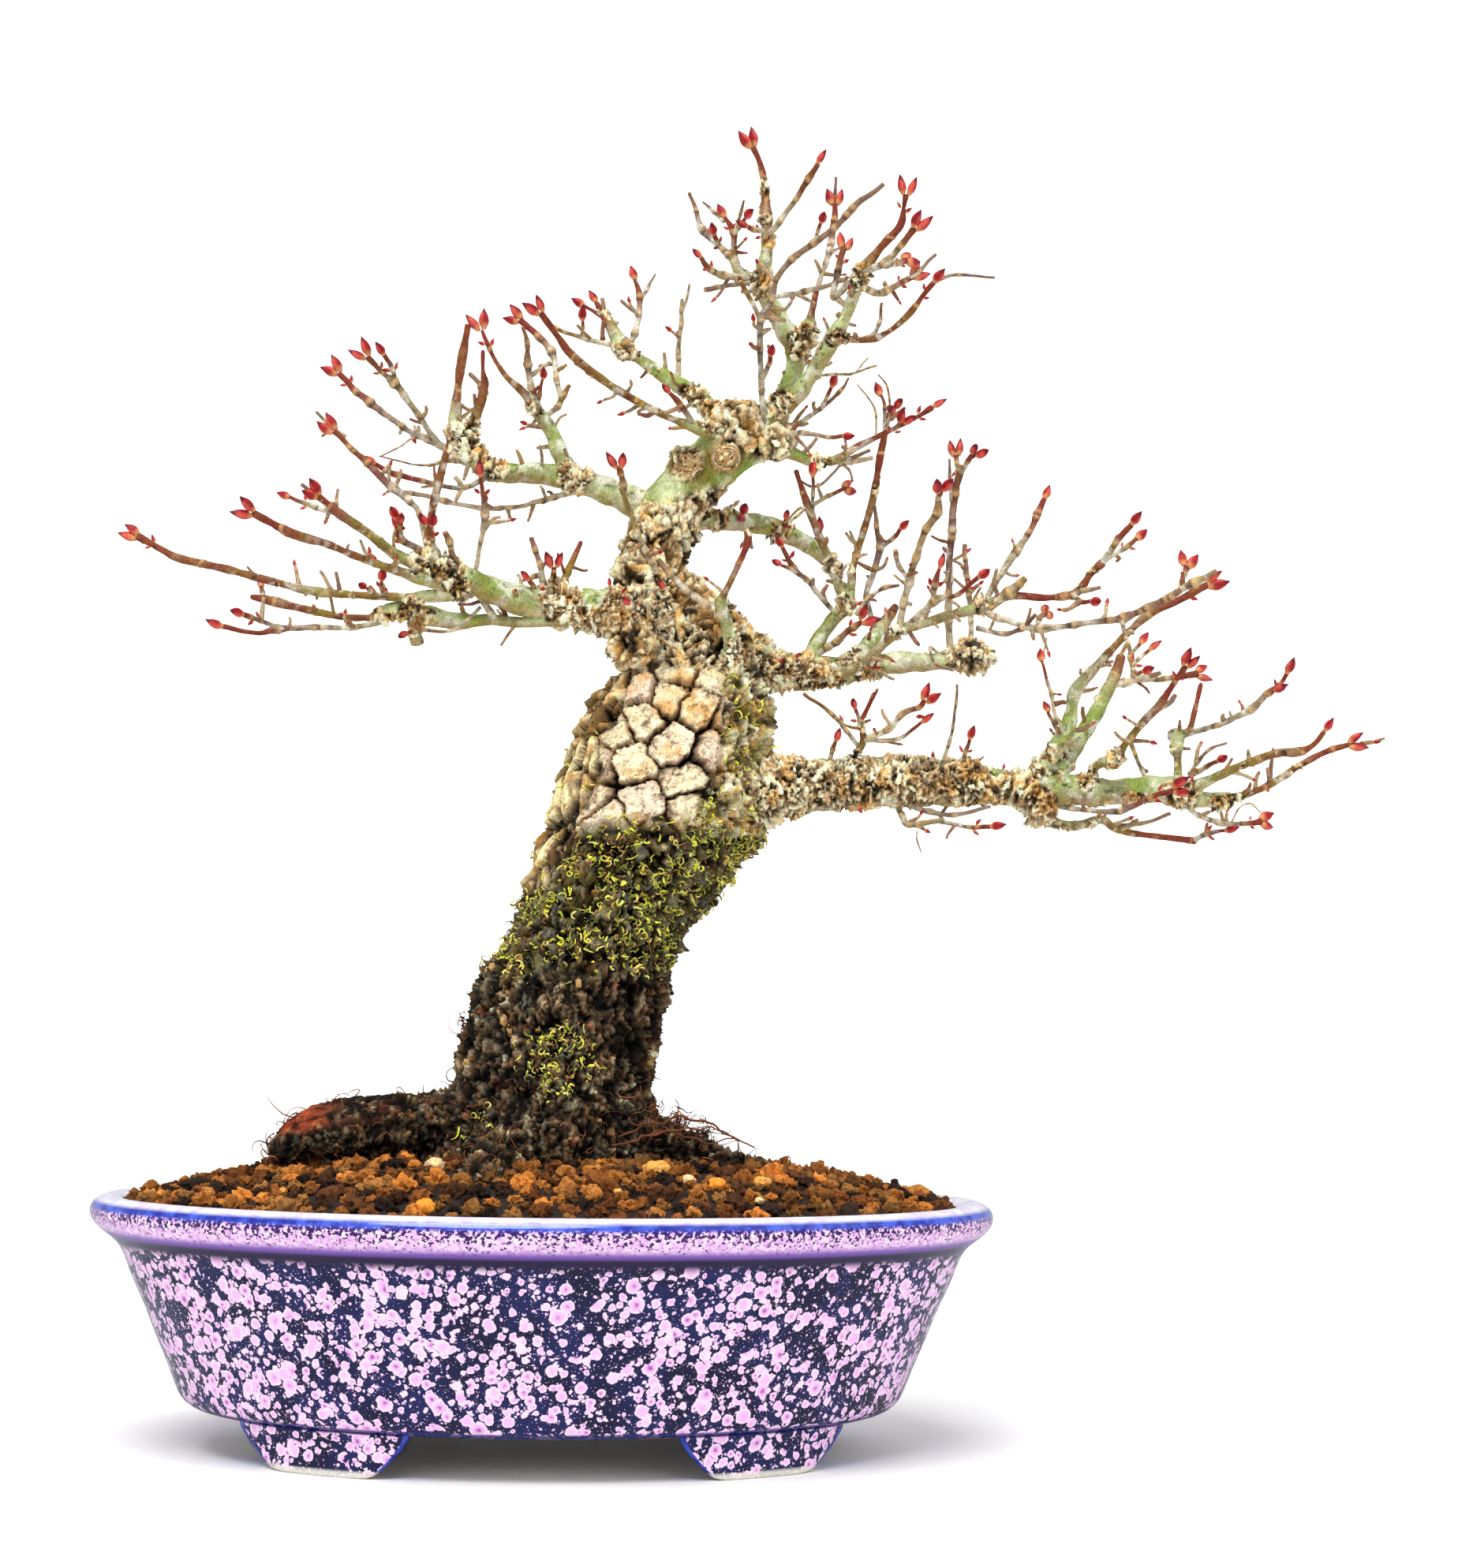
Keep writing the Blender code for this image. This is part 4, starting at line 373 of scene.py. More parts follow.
# Small shoots, stubs and tendrils too slight for the solid model.
MORE = {
    "limb_left_low": (
        (None, -3, "bud", (-32.8, 160.2, 0.6), (-33.4, 161.6, 0.5), (-33.3, 163.2, 0.45)),
        (None, -2, "cut", (-43.5, 176.8, 0.7), (-46, 179, 0.6), (-48.8, 181.3, 0.5)),
        (None, 3, "cut", (-41.8, 175.6, 0.6), (-42.2, 178, 0.45), (-42, 180.5, 0.4)),
        (None, -5, "pair", (-22.6, 168, 0.7), (-24, 171.6, 0.6), (-24.6, 174, 0.6)),
        (None, -4, "pair", (-29.6, 171, 0.6), (-30, 173, 0.6), (-30.4, 175, 0.6)),
        (None, 2, "cut", (-2.6, 163.5, 0.9), (-3.4, 167, 0.7), (-5, 172, 0.7)),
        (None, 1, "cut", (-2.6, 161.8, 0.9), (-3.4, 164.8, 0.8), (-6.5, 163.7, 0.4)),
        (None, -2, "cut", (-20, 168, 0.9), (-20.6, 171, 0.9), (-21.5, 172.6, 0.7)),
        (None, -4, "cut", (-14.5, 158.4, 0.5), (-19, 154, 0.45), (-25, 153.8, 0.45), (-28.5, 155, 0.4)),
        (None, -2, "bud", (-3.8, 160.5, 0.6), (-4.6, 162.8, 0.6), (-5.4, 163.8, 0.6)),
    ),
    "branch_left_under": (
        (None, -2, "bud", (-27, 155, 0.5), (-27.3, 153.8, 0.5), (-28.4, 153.2, 0.5)),
        (None, 2, "bud", (-55.5, 159, 0.7), (-55.8, 160.4, 0.6), (-56, 161.2, 0.5)),
        (None, -3, "bud", (-34, 160, 0.5), (-35.4, 160.8, 0.5), (-36.4, 161.6, 0.4)),
    ),
    "limb_left_mid": (
        (None, -3, "cut", (-20, 187.4, 0.4), (-25, 185.6, 0.3), (-30, 186, 0.25), (-34.5, 187, 0.2)),
        (None, -5, "cut", (-24, 190, 0.4), (-28, 190.5, 0.3), (-31, 188.6, 0.25), (-34, 187, 0.2)),
        (None, 4, "cut", (-13.8, 185, 0.7), (-20, 186.5, 0.6), (-25, 185.5, 0.4)),
        (None, 5, "cut", (-16.6, 192, 1.0), (-15.8, 197, 0.8), (-15.4, 201, 0.7), (-17.3, 203.5, 0.6)),
        (None, -2, "cut", (-40.8, 190.6, 0.6), (-43.5, 192.4, 0.5), (-46.5, 195.3, 0.4)),
        (None, 2, "cut", (-18, 191, 1.0), (-19.6, 194.4, 1.0), (-19.2, 197, 0.8)),
    ),
    "limb_upper_left": (
        (None, 2, "bud", (10.8, 214, 0.6), (7.5, 215.5, 0.5), (4.4, 217.2, 0.45)),
        (None, -1, "bud", (3.8, 211.2, 0.5), (4.1, 213, 0.45), (4, 214.3, 0.4)),
        (None, 1, "cut", (23, 216.5, 0.5), (24, 219, 0.4), (24.5, 222, 0.3)),
    ),
    "apex_leader": (
        (None, 2, "cut", (31, 234.5, 0.5), (29, 236.5, 0.45), (27, 238.3, 0.3)),
        (None, -3, "cut", (33.2, 232.5, 0.5), (34, 236, 0.4), (34.8, 239, 0.35)),
        (None, -2, "bud", (39.3, 233, 0.8), (36.6, 233.2, 0.7), (35.6, 233.7, 0.6)),
        (None, 3, "cut", (52.4, 237, 0.6), (52.5, 240, 0.5), (52.7, 244, 0.4)),
        (None, 3, "cut", (50.8, 227, 0.5), (52.3, 229.4, 0.45), (55.4, 231, 0.4)),
    ),
    "riser_front": (
        (None, -3, "bud", (48.5, 231, 0.6), (49.4, 233.4, 0.5), (49.9, 235, 0.45)),
    ),
    "limb_upper_right": (
        (None, -3, "cut", (71, 222.6, 0.6), (73.5, 224.8, 0.5), (77, 225.6, 0.4), (84, 225.3, 0.3)),
        (None, 2, "cut", (60, 212.6, 0.7), (61.5, 215.5, 0.5), (61.8, 219.5, 0.35)),
        (None, 2, "cut", (66, 224, 0.6), (69, 226, 0.5), (72.5, 229.5, 0.45)),
        (None, 6, "cut", (41.5, 220.3, 0.8), (47, 221.4, 0.7), (53, 223, 0.6)),
        (None, 4, "cut", (47.5, 204.6, 0.4), (55.5, 205.5, 0.35), (61, 207, 0.25)),
        (None, 3, "cut", (57, 205.8, 0.3), (58, 207, 0.25), (59.2, 208.6, 0.2)),
        (None, -2, "bud", (50.6, 199.2, 0.6), (51.6, 201, 0.5), (52.3, 202.8, 0.5)),
    ),
    "limb_right_high": (
        (None, 1, "cut", (53.8, 188.8, 0.7), (57, 189.4, 0.5), (60, 190.7, 0.5)),
        (None, -2, "pair", (64, 194.6, 0.6), (65.2, 195.4, 0.5), (66, 196.3, 0.5)),
        (None, -2, "cut", (61, 193, 0.35), (61, 198, 0.3), (59, 201.5, 0.25), (57.4, 203.6, 0.2)),
        (None, 3, "cut", (62.4, 193.8, 0.35), (63.8, 199, 0.3), (63, 203, 0.25), (61.4, 205.4, 0.2)),
    ),
    "limb_right_back": (
        (None, 2, "cut", (43, 174.6, 0.5), (46, 177.6, 0.4), (48, 179.5, 0.35)),
        (None, -2, "bud", (50.4, 171.4, 0.6), (50.6, 173.2, 0.5), (50.5, 174.6, 0.45)),
    ),
    "limb_right_mid": (
        (None, -4, "cut", (60, 189, 0.5), (55, 188, 0.4), (50, 183.5, 0.4), (46, 184.5, 0.35)),
        (None, -2, "bud", (49, 178, 0.5), (49, 182, 0.45), (48.9, 185.2, 0.45)),
        (None, -3, "cut", (49.6, 176.5, 0.5), (47, 179, 0.4), (43.5, 176, 0.3)),
        (None, -3, "bud", (46.6, 166.4, 0.5), (44.6, 167.2, 0.5), (42.9, 168, 0.45)),
        (None, -4, "pair", (49.6, 150.4, 1.0), (54, 153.5, 0.9), (57, 156, 0.8), (58.6, 157.3, 0.7)),
        (None, -3, "cut", (57.6, 158.6, 0.7), (60, 162, 0.6), (63, 164, 0.5), (66, 164.7, 0.4)),
        (None, -2, "cut", (75.9, 181, 0.6), (75.6, 185, 0.45), (75.4, 189.3, 0.35)),
        (None, -5, "cut", (74.6, 150.6, 0.5), (72, 152.5, 0.4), (73, 149.4, 0.35), (76.5, 148.2, 0.3)),
        (None, -4, "bud", (60.4, 147, 0.6), (61.2, 148.4, 0.6), (61.5, 149.6, 0.6)),
        (None, 3, "cut", (78.8, 166, 0.5), (78, 168.5, 0.4), (76.2, 169.6, 0.4)),
    ),
    "branch_right_front": (
        (None, -2, "cut", (84, 161.4, 1.1), (87.5, 163.6, 1.3), (90.6, 166.4, 0.8)),
        (None, -2, "cut", (98.4, 163, 0.7), (102, 164.4, 0.6), (105, 165.2, 0.5)),
        (None, 0, "bud", (111.4, 150, 0.5), (113, 151.6, 0.5), (114.6, 153, 0.45)),
        (None, -2, "bud", (111.5, 149.4, 0.5), (112.5, 148.4, 0.5), (113.5, 148.8, 0.45)),
        (None, -4, "cut", (81, 156.6, 0.7), (86, 155.6, 0.6), (90, 156.8, 0.6), (92.5, 159.5, 0.5)),
        (None, -2, "cut", (75, 158.8, 0.5), (75.2, 163, 0.45), (75.8, 168, 0.4)),
    ),
    "limb_right_low": (
        (None, -3, "cut", (74.6, 130, 0.6), (76.5, 137.5, 0.4), (77.3, 142, 0.4), (77.2, 145.5, 0.35)),
        (None, -2, "cut", (58.2, 133.4, 0.6), (53, 139.5, 0.5), (47.5, 143.2, 0.5)),
        (None, -3, "bud", (52.6, 129.6, 0.7), (53.4, 132.4, 0.6), (54, 134.2, 0.5)),
        (None, -2, "bud", (78.6, 130, 0.6), (79, 132.4, 0.5), (79.8, 135, 0.5)),
        (None, -3, "bud", (60, 134.4, 0.6), (66, 134.8, 0.5), (70.4, 138, 0.45)),
        (None, 2, "cut", (153, 135.2, 0.6), (157, 135.8, 0.5), (161, 136.8, 0.4)),
        (None, -5, "cut", (122.6, 129, 0.6), (124.4, 131.6, 0.5), (126.5, 134, 0.45), (130, 135.3, 0.35)),
        (None, -6, "bud", (122.8, 128.6, 0.6), (126, 130.6, 0.6), (128.3, 131.8, 0.6)),
        (None, -2, "bud", (137.4, 144.4, 0.5), (138.6, 145, 0.5), (139.5, 145.6, 0.45)),
        (None, 2, "cut", (114, 128.4, 0.6), (112, 133, 0.5), (111, 135.5, 0.7)),
        (None, -2, "cut", (108.6, 118.8, 0.6), (114, 119.7, 0.5), (119, 121.5, 0.5)),
        (None, -2, "cut", (65.4, 122.8, 0.8), (72, 121, 0.7), (77, 120.3, 0.6), (84, 122, 0.5)),
        (None, -2, "cut", (70, 118, 0.35), (69.8, 115.4, 0.25), (70.6, 113, 0.15)),
        (None, 2, "cut", (119.4, 136.2, 1.5), (119.7, 136.6, 1.6), (120.2, 137.2, 1.3)),
        (None, -2, "cut", (131, 119.9, 0.3), (132.4, 122.8, 0.22), (134.6, 123.6, 0.2), (136.8, 121.8, 0.15)),
    ),
    "branch_right_uprights": (
        (None, 2, "bud", (97, 136, 0.7), (96.4, 138, 0.5), (95.2, 140.6, 0.45)),
        (None, -2, "cut", (112, 147.2, 0.7), (114.4, 147.8, 0.7), (117, 148.6, 0.6)),
        (None, 3, "cut", (94.2, 149, 0.3), (94, 152, 0.25), (94.6, 155, 0.2)),
    ),
    "branch_right_middle": (),
    "branch_left_upright": (),
    "shoot_left_long": (),
    "shoot_trunk_right": (),
    "shoot_trunk_left": (
        (-8, -4, "cut", (19, 166, 0.8), (18, 168, 0.7), (15, 174, 0.75), (12, 182, 0.7)),
        (-9, -4, "pair", (12.8, 180, 0.7), (12.4, 183, 0.7), (11.5, 186, 0.8)),
    ),
}


# ---------------------------------------------------------------- arrays
def hashed(cell, salt):
    """A repeatable number from 0 to 1 for each whole-numbered cell."""
    h = cell[..., 0] * 73856093 ^ cell[..., 1] * 19349663 ^ cell[..., 2] * 83492791 ^ salt * 97531
    h = (h ^ (h >> 13)) * 1274126177 & 0xFFFFFFFF
    h = (h ^ (h >> 15)) * 2246822519 & 0xFFFFFFFF
    return ((h ^ (h >> 16)) & 0xFFFF) / 65535.0


def neighbours(reach):
    """Steps to every cell within reach."""
    return [(i, j, k) for i in reach for j in reach for k in reach]


def cells(co, size, salt=0):
    """Jittered Voronoi cells: distance to the seed and to the edge, own number and offset."""
    p = co / size
    base = np.floor(p).astype(np.int64)
    first = np.full(len(p), 9.0)
    second = first.copy()
    own = np.zeros(len(p))
    offset = np.zeros_like(p)
    for step in neighbours((-1, 0, 1)):
        cell = base + step
        seed = cell + np.stack([hashed(cell, salt + n) for n in (1, 2, 3)], axis=-1)
        away = p - seed
        reach = np.sqrt((away * away).sum(axis=1))
        closer = reach < first
        second = np.where(closer, first, np.minimum(second, reach))
        own = np.where(closer, hashed(cell, salt + 4), own)
        offset = np.where(closer[:, None], away, offset)
        first = np.where(closer, reach, first)
    return first, second - first, own, offset


def drift(co, size, salt=0, octaves=3):
    """Smooth noise about 0, from -1 to 1."""
    total = np.zeros(len(co))
    for octave in range(octaves):
        p = co / size * 2.0**octave
        base = np.floor(p).astype(np.int64)
        f = p - base
        f = f * f * (3 - 2 * f)
        value = np.zeros(len(co))
        for step in neighbours((0, 1)):
            weight = np.prod(np.where(step, f, 1 - f), axis=1)
            value += weight * hashed(base + step, salt + 17 * octave)
        total += (value * 2 - 1) / 2.0**octave
    return total / 1.5


def drift3(co, size, salt, octaves=2):
    """Smooth noise in three directions."""
    return np.stack([drift(co, size, salt + n, octaves) for n in range(3)], axis=1)


def circle(around):
    """Evenly spaced angles round a full turn."""
    return np.arange(around) / around * 2 * math.pi


def ramp(value, low, high):
    """A smooth step from 0 at low to 1 at high."""
    t = np.clip((value - low) / (high - low), 0, 1)
    return t * t * (3 - 2 * t)


def mixed(a, b, share):
    """Blend two colours, or arrays of them, by a share for each point."""
    share = np.asarray(share)[..., None]
    return np.asarray(a) * (1 - share) + np.asarray(b) * share


def in_space(x, z, depth):
    """A point of the front elevation, moved along the viewer's line to its own depth, in mm."""
    depth = depth * DEPTH_SPREAD
    reach = (VIEW_DISTANCE + depth) / VIEW_DISTANCE
    return np.array([
        VIEW_SIDE + (x - VIEW_SIDE) * reach,
        depth,
        VIEW_HEIGHT + (z - VIEW_HEIGHT) * reach,
    ])


def to_frame(co):
    """Millimetres about the pot's middle made into metres of the frame."""
    return np.asarray(co) * MM + (POT_MIDDLE, 0, 0)


def points_of(mesh):
    """A mesh's points in millimetres about the pot's middle: the inverse of to_frame."""
    co = np.empty(len(mesh.vertices) * 3)
    mesh.vertices.foreach_get("co", co)
    return (co.reshape(-1, 3) - (POT_MIDDLE, 0, 0)) / MM


TINT = "tint"  # the name of the colours that points carry
NO_QUADS = np.empty((0, 4), int)
NO_TRIS = np.empty((0, 3), int)


def mesh_of(name, co, quads=NO_QUADS, tris=NO_TRIS, colours=None, smooth=True):
    """A mesh from arrays in millimetres about the pot's middle, with a colour for each point."""
    mesh = bpy.data.meshes.new(name)
    mesh.vertices.add(len(co))
    mesh.vertices.foreach_set("co", to_frame(co).ravel())
    corners = np.concatenate([np.ravel(quads), np.ravel(tris)]).astype(np.int32)
    starts = np.concatenate([np.arange(len(quads)) * 4, len(quads) * 4 + np.arange(len(tris)) * 3])
    mesh.loops.add(len(corners))
    mesh.loops.foreach_set("vertex_index", corners)
    mesh.polygons.add(len(starts))
    mesh.polygons.foreach_set("loop_start", starts.astype(np.int32))
    mesh.polygons.foreach_set("use_smooth", np.full(len(starts), smooth))
    if colours is not None:
        rgba = np.ones((len(co), 4), np.float32)
        rgba[:, : np.shape(colours)[1]] = colours
        tint = mesh.color_attributes.new(TINT, "FLOAT_COLOR", "POINT")
        tint.data.foreach_set("color", rgba.ravel())
    mesh.update(calc_edges=True)
    mesh.validate()
    return mesh


def placed(name, data):
    """A new object that holds the data, linked into the scene."""
    made = bpy.data.objects.new(name, data)
    bpy.context.scene.collection.objects.link(made)
    return made


def piece(mesh, look, nodes=()):
    """A piece of the visual model, riding on the root and standing for the named CAD nodes."""
    made = placed(mesh.name, mesh)
    mesh.materials.clear()
    mesh.materials.append(look)
    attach(made, "root")
    if nodes:
        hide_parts(*nodes)
    return made


class Heap:
    """Shapes gathered into one mesh, with a colour for each point."""

    def __init__(self):
        self.co, self.quads, self.tris, self.colours = [], [], [], []
        self.count = 0

    def add(self, co, quads, tris, colours):
        self.co.append(co)
        self.quads.append(np.asarray(quads) + self.count)
        self.tris.append(np.asarray(tris) + self.count)
        self.colours.append(np.broadcast_to(colours, (len(co), 3)))
        self.count += len(co)

    def mesh(self, name, smooth=True):
        arrays = [np.concatenate(part) for part in (self.co, self.quads, self.tris, self.colours)]
        return mesh_of(name, *arrays, smooth=smooth)


def ring_faces(rings, around):
    """The faces of a closed tube, whose two end points follow the points of its rings."""
    here = np.arange(around)
    after = (here + 1) % around
    rows = np.arange(rings - 1)[:, None] * around
    corners = [rows + here, rows + after, rows + after + around, rows + here + around]
    start, last = rings * around, (rings - 1) * around
    tris = np.concatenate([
        np.stack([np.full(around, start), after, here], axis=1),
        np.stack([np.full(around, start + 1), last + here, last + after], axis=1),
    ])
    return np.stack(corners, axis=-1).reshape(-1, 4), tris


# ---------------------------------------------------------------- stems
def travelled(points):
    """The distance along a table's row at each of its points."""
    lengths = [0.0]
    for (x0, z0, _), (x1, z1, _) in zip(points, points[1:]):
        lengths.append(lengths[-1] + math.hypot(x1 - x0, z1 - z0))
    return lengths


def depth_beside(rows, x, z):
    """The depth of whichever stem passes nearest to (x, z) on the front elevation."""
    best = None
    for base, lean, _, *points in rows:
        lengths = travelled(points)
        for n in range(len(points) - 1):
            (x0, z0, _), (x1, z1, _) = points[n : n + 2]
            run = lengths[n + 1] - lengths[n]
            share = ((x - x0) * (x1 - x0) + (z - z0) * (z1 - z0)) / run**2
            share = min(max(share, 0.0), 1.0)
            off = math.hypot(x - x0 - share * (x1 - x0), z - z0 - share * (z1 - z0))
            if best is None or off < best[0]:
                best = (off, base + lean * (lengths[n] + share * run) / lengths[-1])
    return best[1]


def settled(table):
    """The limb tables with every base depth filled in from the wood it springs from."""
    done = {}
    for name, rows in table.items():
        done[name] = []
        parents = [row for parent in GROWS_FROM[name] for row in done.get(parent, [])]
        for base, lean, tip, *points in rows:
            if base is None:
                base = depth_beside(done[name] or parents, *points[0][:2])
            done[name].append((base, lean, tip, *points))
    return done


def stem_points(row):
    """A table's row as points in space and radii."""
    base, lean, _, *points = row
    lengths = travelled(points)
    co = [in_space(x, z, base + lean * t / lengths[-1]) for (x, z, _), t in zip(points, lengths)]
    return np.array(co), np.array([r for _, _, r in points])


def eased(co, radii, step):
    """A smooth line through the points: places, radii, distances along it, the points' own ones."""
    padded = np.vstack([2 * co[0] - co[1], co, 2 * co[-1] - co[-2]])
    places, sizes = [], []
    for n in range(len(co) - 1):
        p0, p1, p2, p3 = padded[n : n + 4]
        count = max(2, int(np.ceil(np.linalg.norm(p2 - p1) / step)))
        t = (np.arange(count) / count)[:, None]
        places.append(0.5 * (2 * p1 + (p2 - p0) * t + (2 * p0 - 5 * p1 + 4 * p2 - p3) * t**2
                             + (3 * p1 - p0 - 3 * p2 + p3) * t**3))
        share = (t * t * (3 - 2 * t))[:, 0]
        sizes.append(radii[n] * (1 - share) + radii[n + 1] * share)
    places = np.vstack([*places, co[-1:]])
    sizes = np.concatenate([*sizes, radii[-1:]])
    along = np.concatenate([[0], np.cumsum(np.linalg.norm(np.diff(places, axis=0), axis=1))])
    marks = [along[np.argmin(((places - p) ** 2).sum(axis=1))] for p in co]
    return places, sizes, along, np.array(marks)


def frames(places):
    """Two directions across a line at each of its points, carried along without twist."""
    way = np.gradient(places, axis=0)
    way /= np.linalg.norm(way, axis=1)[:, None]
    side = np.cross(way[0], (0.31, 0.9, 0.2))
    side /= np.linalg.norm(side)
    sides = []
    for w in way:
        side = side - w * np.dot(side, w)
        side /= np.linalg.norm(side)
        sides.append(side)
    sides = np.array(sides)
    return way, sides, np.cross(way, sides)


def lofted(places, radii, around):
    """A closed tube: points and faces, with a rounded point in the middle of each end."""
    way, side, other = frames(places)
    turn = circle(around)
    radii = np.broadcast_to(np.asarray(radii).reshape(len(places), -1), (len(places), around))
    ring = side[:, None] * np.cos(turn)[None, :, None]
    ring = ring + other[:, None] * np.sin(turn)[None, :, None]
    co = (places[:, None] + ring * radii[:, :, None]).reshape(-1, 3)
    ends = np.array([
        places[0] - way[0] * radii[0].mean() * 0.35,
        places[-1] + way[-1] * radii[-1].mean() * 0.35,
    ])
    return np.vstack([co, ends]), *ring_faces(len(places), around)


def elevation(co):
    """Where points stand on the front elevation: the inverse of in_space."""
    reach = (VIEW_DISTANCE + co[:, 1]) / VIEW_DISTANCE
    return (
        VIEW_SIDE + (co[:, 0] - VIEW_SIDE) / reach,
        VIEW_HEIGHT + (co[:, 2] - VIEW_HEIGHT) / reach,
    )


def ball(place, radius, around=14):
    turn = np.linspace(0.02, math.pi - 0.02, around // 2 + 1)
    line = place + np.outer(-np.cos(turn), (0, 0, radius))
    return lofted(line, radius * np.sin(turn), around)


def melted(name, shapes, voxel, rounds):
    """Overlapping closed shapes made one skin: its points, normals and quads."""
    heap = Heap()
    for shape in shapes:
        heap.add(*shape, (0, 0, 0))
    made = placed(name, heap.mesh(name))
    melt = made.modifiers.new("melt", "REMESH")
    melt.mode = "VOXEL"
    melt.voxel_size = voxel * MM
    ease = made.modifiers.new("ease", "SMOOTH")
    ease.factor = 0.5
    ease.iterations = rounds
    bpy.context.view_layer.update()
    done = made.evaluated_get(bpy.context.evaluated_depsgraph_get())
    mesh = bpy.data.meshes.new_from_object(done)
    bpy.data.objects.remove(made)
    co = points_of(mesh)
    normals = np.empty(len(mesh.vertices) * 3, np.float32)
    mesh.vertex_normals.foreach_get("vector", normals)
    corners = np.empty(len(mesh.loops), np.int32)
    mesh.loops.foreach_get("vertex_index", corners)
    bpy.data.meshes.remove(mesh)
    return co, normals.reshape(-1, 3).astype(float), corners.reshape(-1, 4)


def tone(*rgb):
    """A display colour, 0 to 255, as the linear values that shaders use."""
    c = np.array(rgb) / 255.0
    return np.where(c <= 0.04045, c / 12.92, ((c + 0.055) / 1.055) ** 2.4)


# ---------------------------------------------------------------- bark
# Near black for cracks and furrows: partly the bark's own dark, partly painted shade.
CRACK_AND_SHADE = tone(20, 13, 8)
PLATE = tone(255, 228, 188)
PLATE_PINK = tone(252, 218, 190)
PLATE_OCHRE = tone(228, 172, 96)
# Brown of flaking bark, also laid as painted shade along plate edges and steps.
FLAKE_AND_SHADE = tone(140, 108, 66)
CORK_PALE = tone(246, 224, 182)
CORK_MID = tone(172, 130, 74)
CORK_DARK = tone(26, 18, 12)
CORK_GREY = tone(176, 164, 134)
CORK_OCHRE = tone(206, 150, 66)
CORK_MOSSY = tone(128, 124, 40)
SPECK = tone(110, 80, 50)
STRIP_PALE = tone(252, 222, 168)
BARK_DARK = tone(76, 54, 34)
BARK_BLACK = tone(17, 13, 11)
BARK_RED = tone(150, 78, 46)
BARK_WORN = tone(112, 90, 66)
TORN_OLD = tone(104, 54, 38)
TORN_FRESH = tone(158, 68, 40)
TORN_DARK = tone(34, 18, 13)
TORN_BRIGHT = tone(222, 112, 54)
MOSS_BED = tone(104, 92, 22)
GREEN = tone(142, 160, 74)
GREEN_PALE = tone(204, 212, 160)
GREEN_OLIVE = tone(128, 120, 50)
BLOOM = tone(234, 234, 214)


def corky(co, size, salt):
    """Broken, flaky cork: how far it stands out, from about -1 to 1, and its colour, with painted shade in
    its gaps and hollows and painted highlight on its ridges.
    """
    warp = drift3(co, size * 1.3, salt, 3)
    flake = np.array([0.62, 0.8, 1.35]) * size
    _, edge, own, offset = cells(co + warp * size * 1.1, flake, salt)
    _, fine_edge, fine_own, fine_offset = cells(co + warp * size * 0.9, flake * 0.42, salt + 40)
    ragged = drift(co, size * 0.3, salt + 20, 3)
    gaping = ramp(drift(co, size * 1.5, salt + 30, 2), -0.2, 0.25)
    edge = edge + ragged * 0.26
    fine_edge = fine_edge + ragged * 0.3
    height = (own - 0.45) * 1.5 + leaning(own, offset) * 1.7
    height -= (1 - ramp(edge, 0.0, 0.16)) * (0.25 + gaping)
    height += (fine_own - 0.5) * 0.7 + leaning(fine_own, fine_offset) * 0.5
    height -= (1 - ramp(fine_edge, 0.0, 0.2)) * 0.4
    colour = mixed(CORK_MID, CORK_PALE, ramp(own * 0.8 + fine_own * 0.7 + ragged * 0.3, 0.4, 1.15))
    colour = mixed(colour, CORK_GREY, ramp(drift(co, 6.0, salt + 70), 0.0, 0.5) * 0.35)
    colour = mixed(colour, CORK_OCHRE, ramp(drift(co, 2.6, salt + 71), 0.05, 0.45) * 0.7)
    # The gaps between the flakes darken: partly the cork's own dark, partly painted shade.
    dark = (1 - ramp(edge, 0.0, 0.18)) * (0.3 + 0.8 * gaping)
    dark = np.clip(dark + (1 - ramp(fine_edge, 0.0, 0.2)) * 0.6 * gaping, 0, 1)
    dark = np.maximum(dark, ramp(drift(co, size * 0.9, salt + 31, 2), 0.3, 0.5))
    # Painted shade in the hollows and painted highlight on the ridges.
    return height, painted_shade_and_highlight(mixed(colour, CORK_DARK, dark * 0.95), height, -1.3, 0.6, 0.35, 1.6)


def painted_shade_and_highlight(colour, height, low, high, deep=0.3, ridge_highlight=1.2):
    """The colour darkened in the hollows and lifted on the ridges: painted shade in the hollows, painted
    highlight on the ridges.
    """
    return np.minimum(colour * (deep + (ridge_highlight - deep) * ramp(height, low, high))[:, None], 0.95)


def leaning(own, offset):
    """How far a cell's flat top rises at a point, each cell tipped its own way."""
    tip = np.stack([np.sin(own * 40), np.cos(own * 57), np.sin(own * 83)], axis=1)
    return (offset * tip).sum(axis=1)


def green_wood(co, salt):
    """Smooth young bark with pale grey bloom."""
    colour = mixed(GREEN, GREEN_PALE, ramp(drift(co, 5.0, salt), -0.35, 0.45))
    colour = mixed(colour, GREEN_OLIVE, ramp(drift(co, 7.0, salt + 9), 0.1, 0.6))
    height = drift(co, (3.0, 3.0, 3.0), salt + 3) * 0.18
    return height, colour


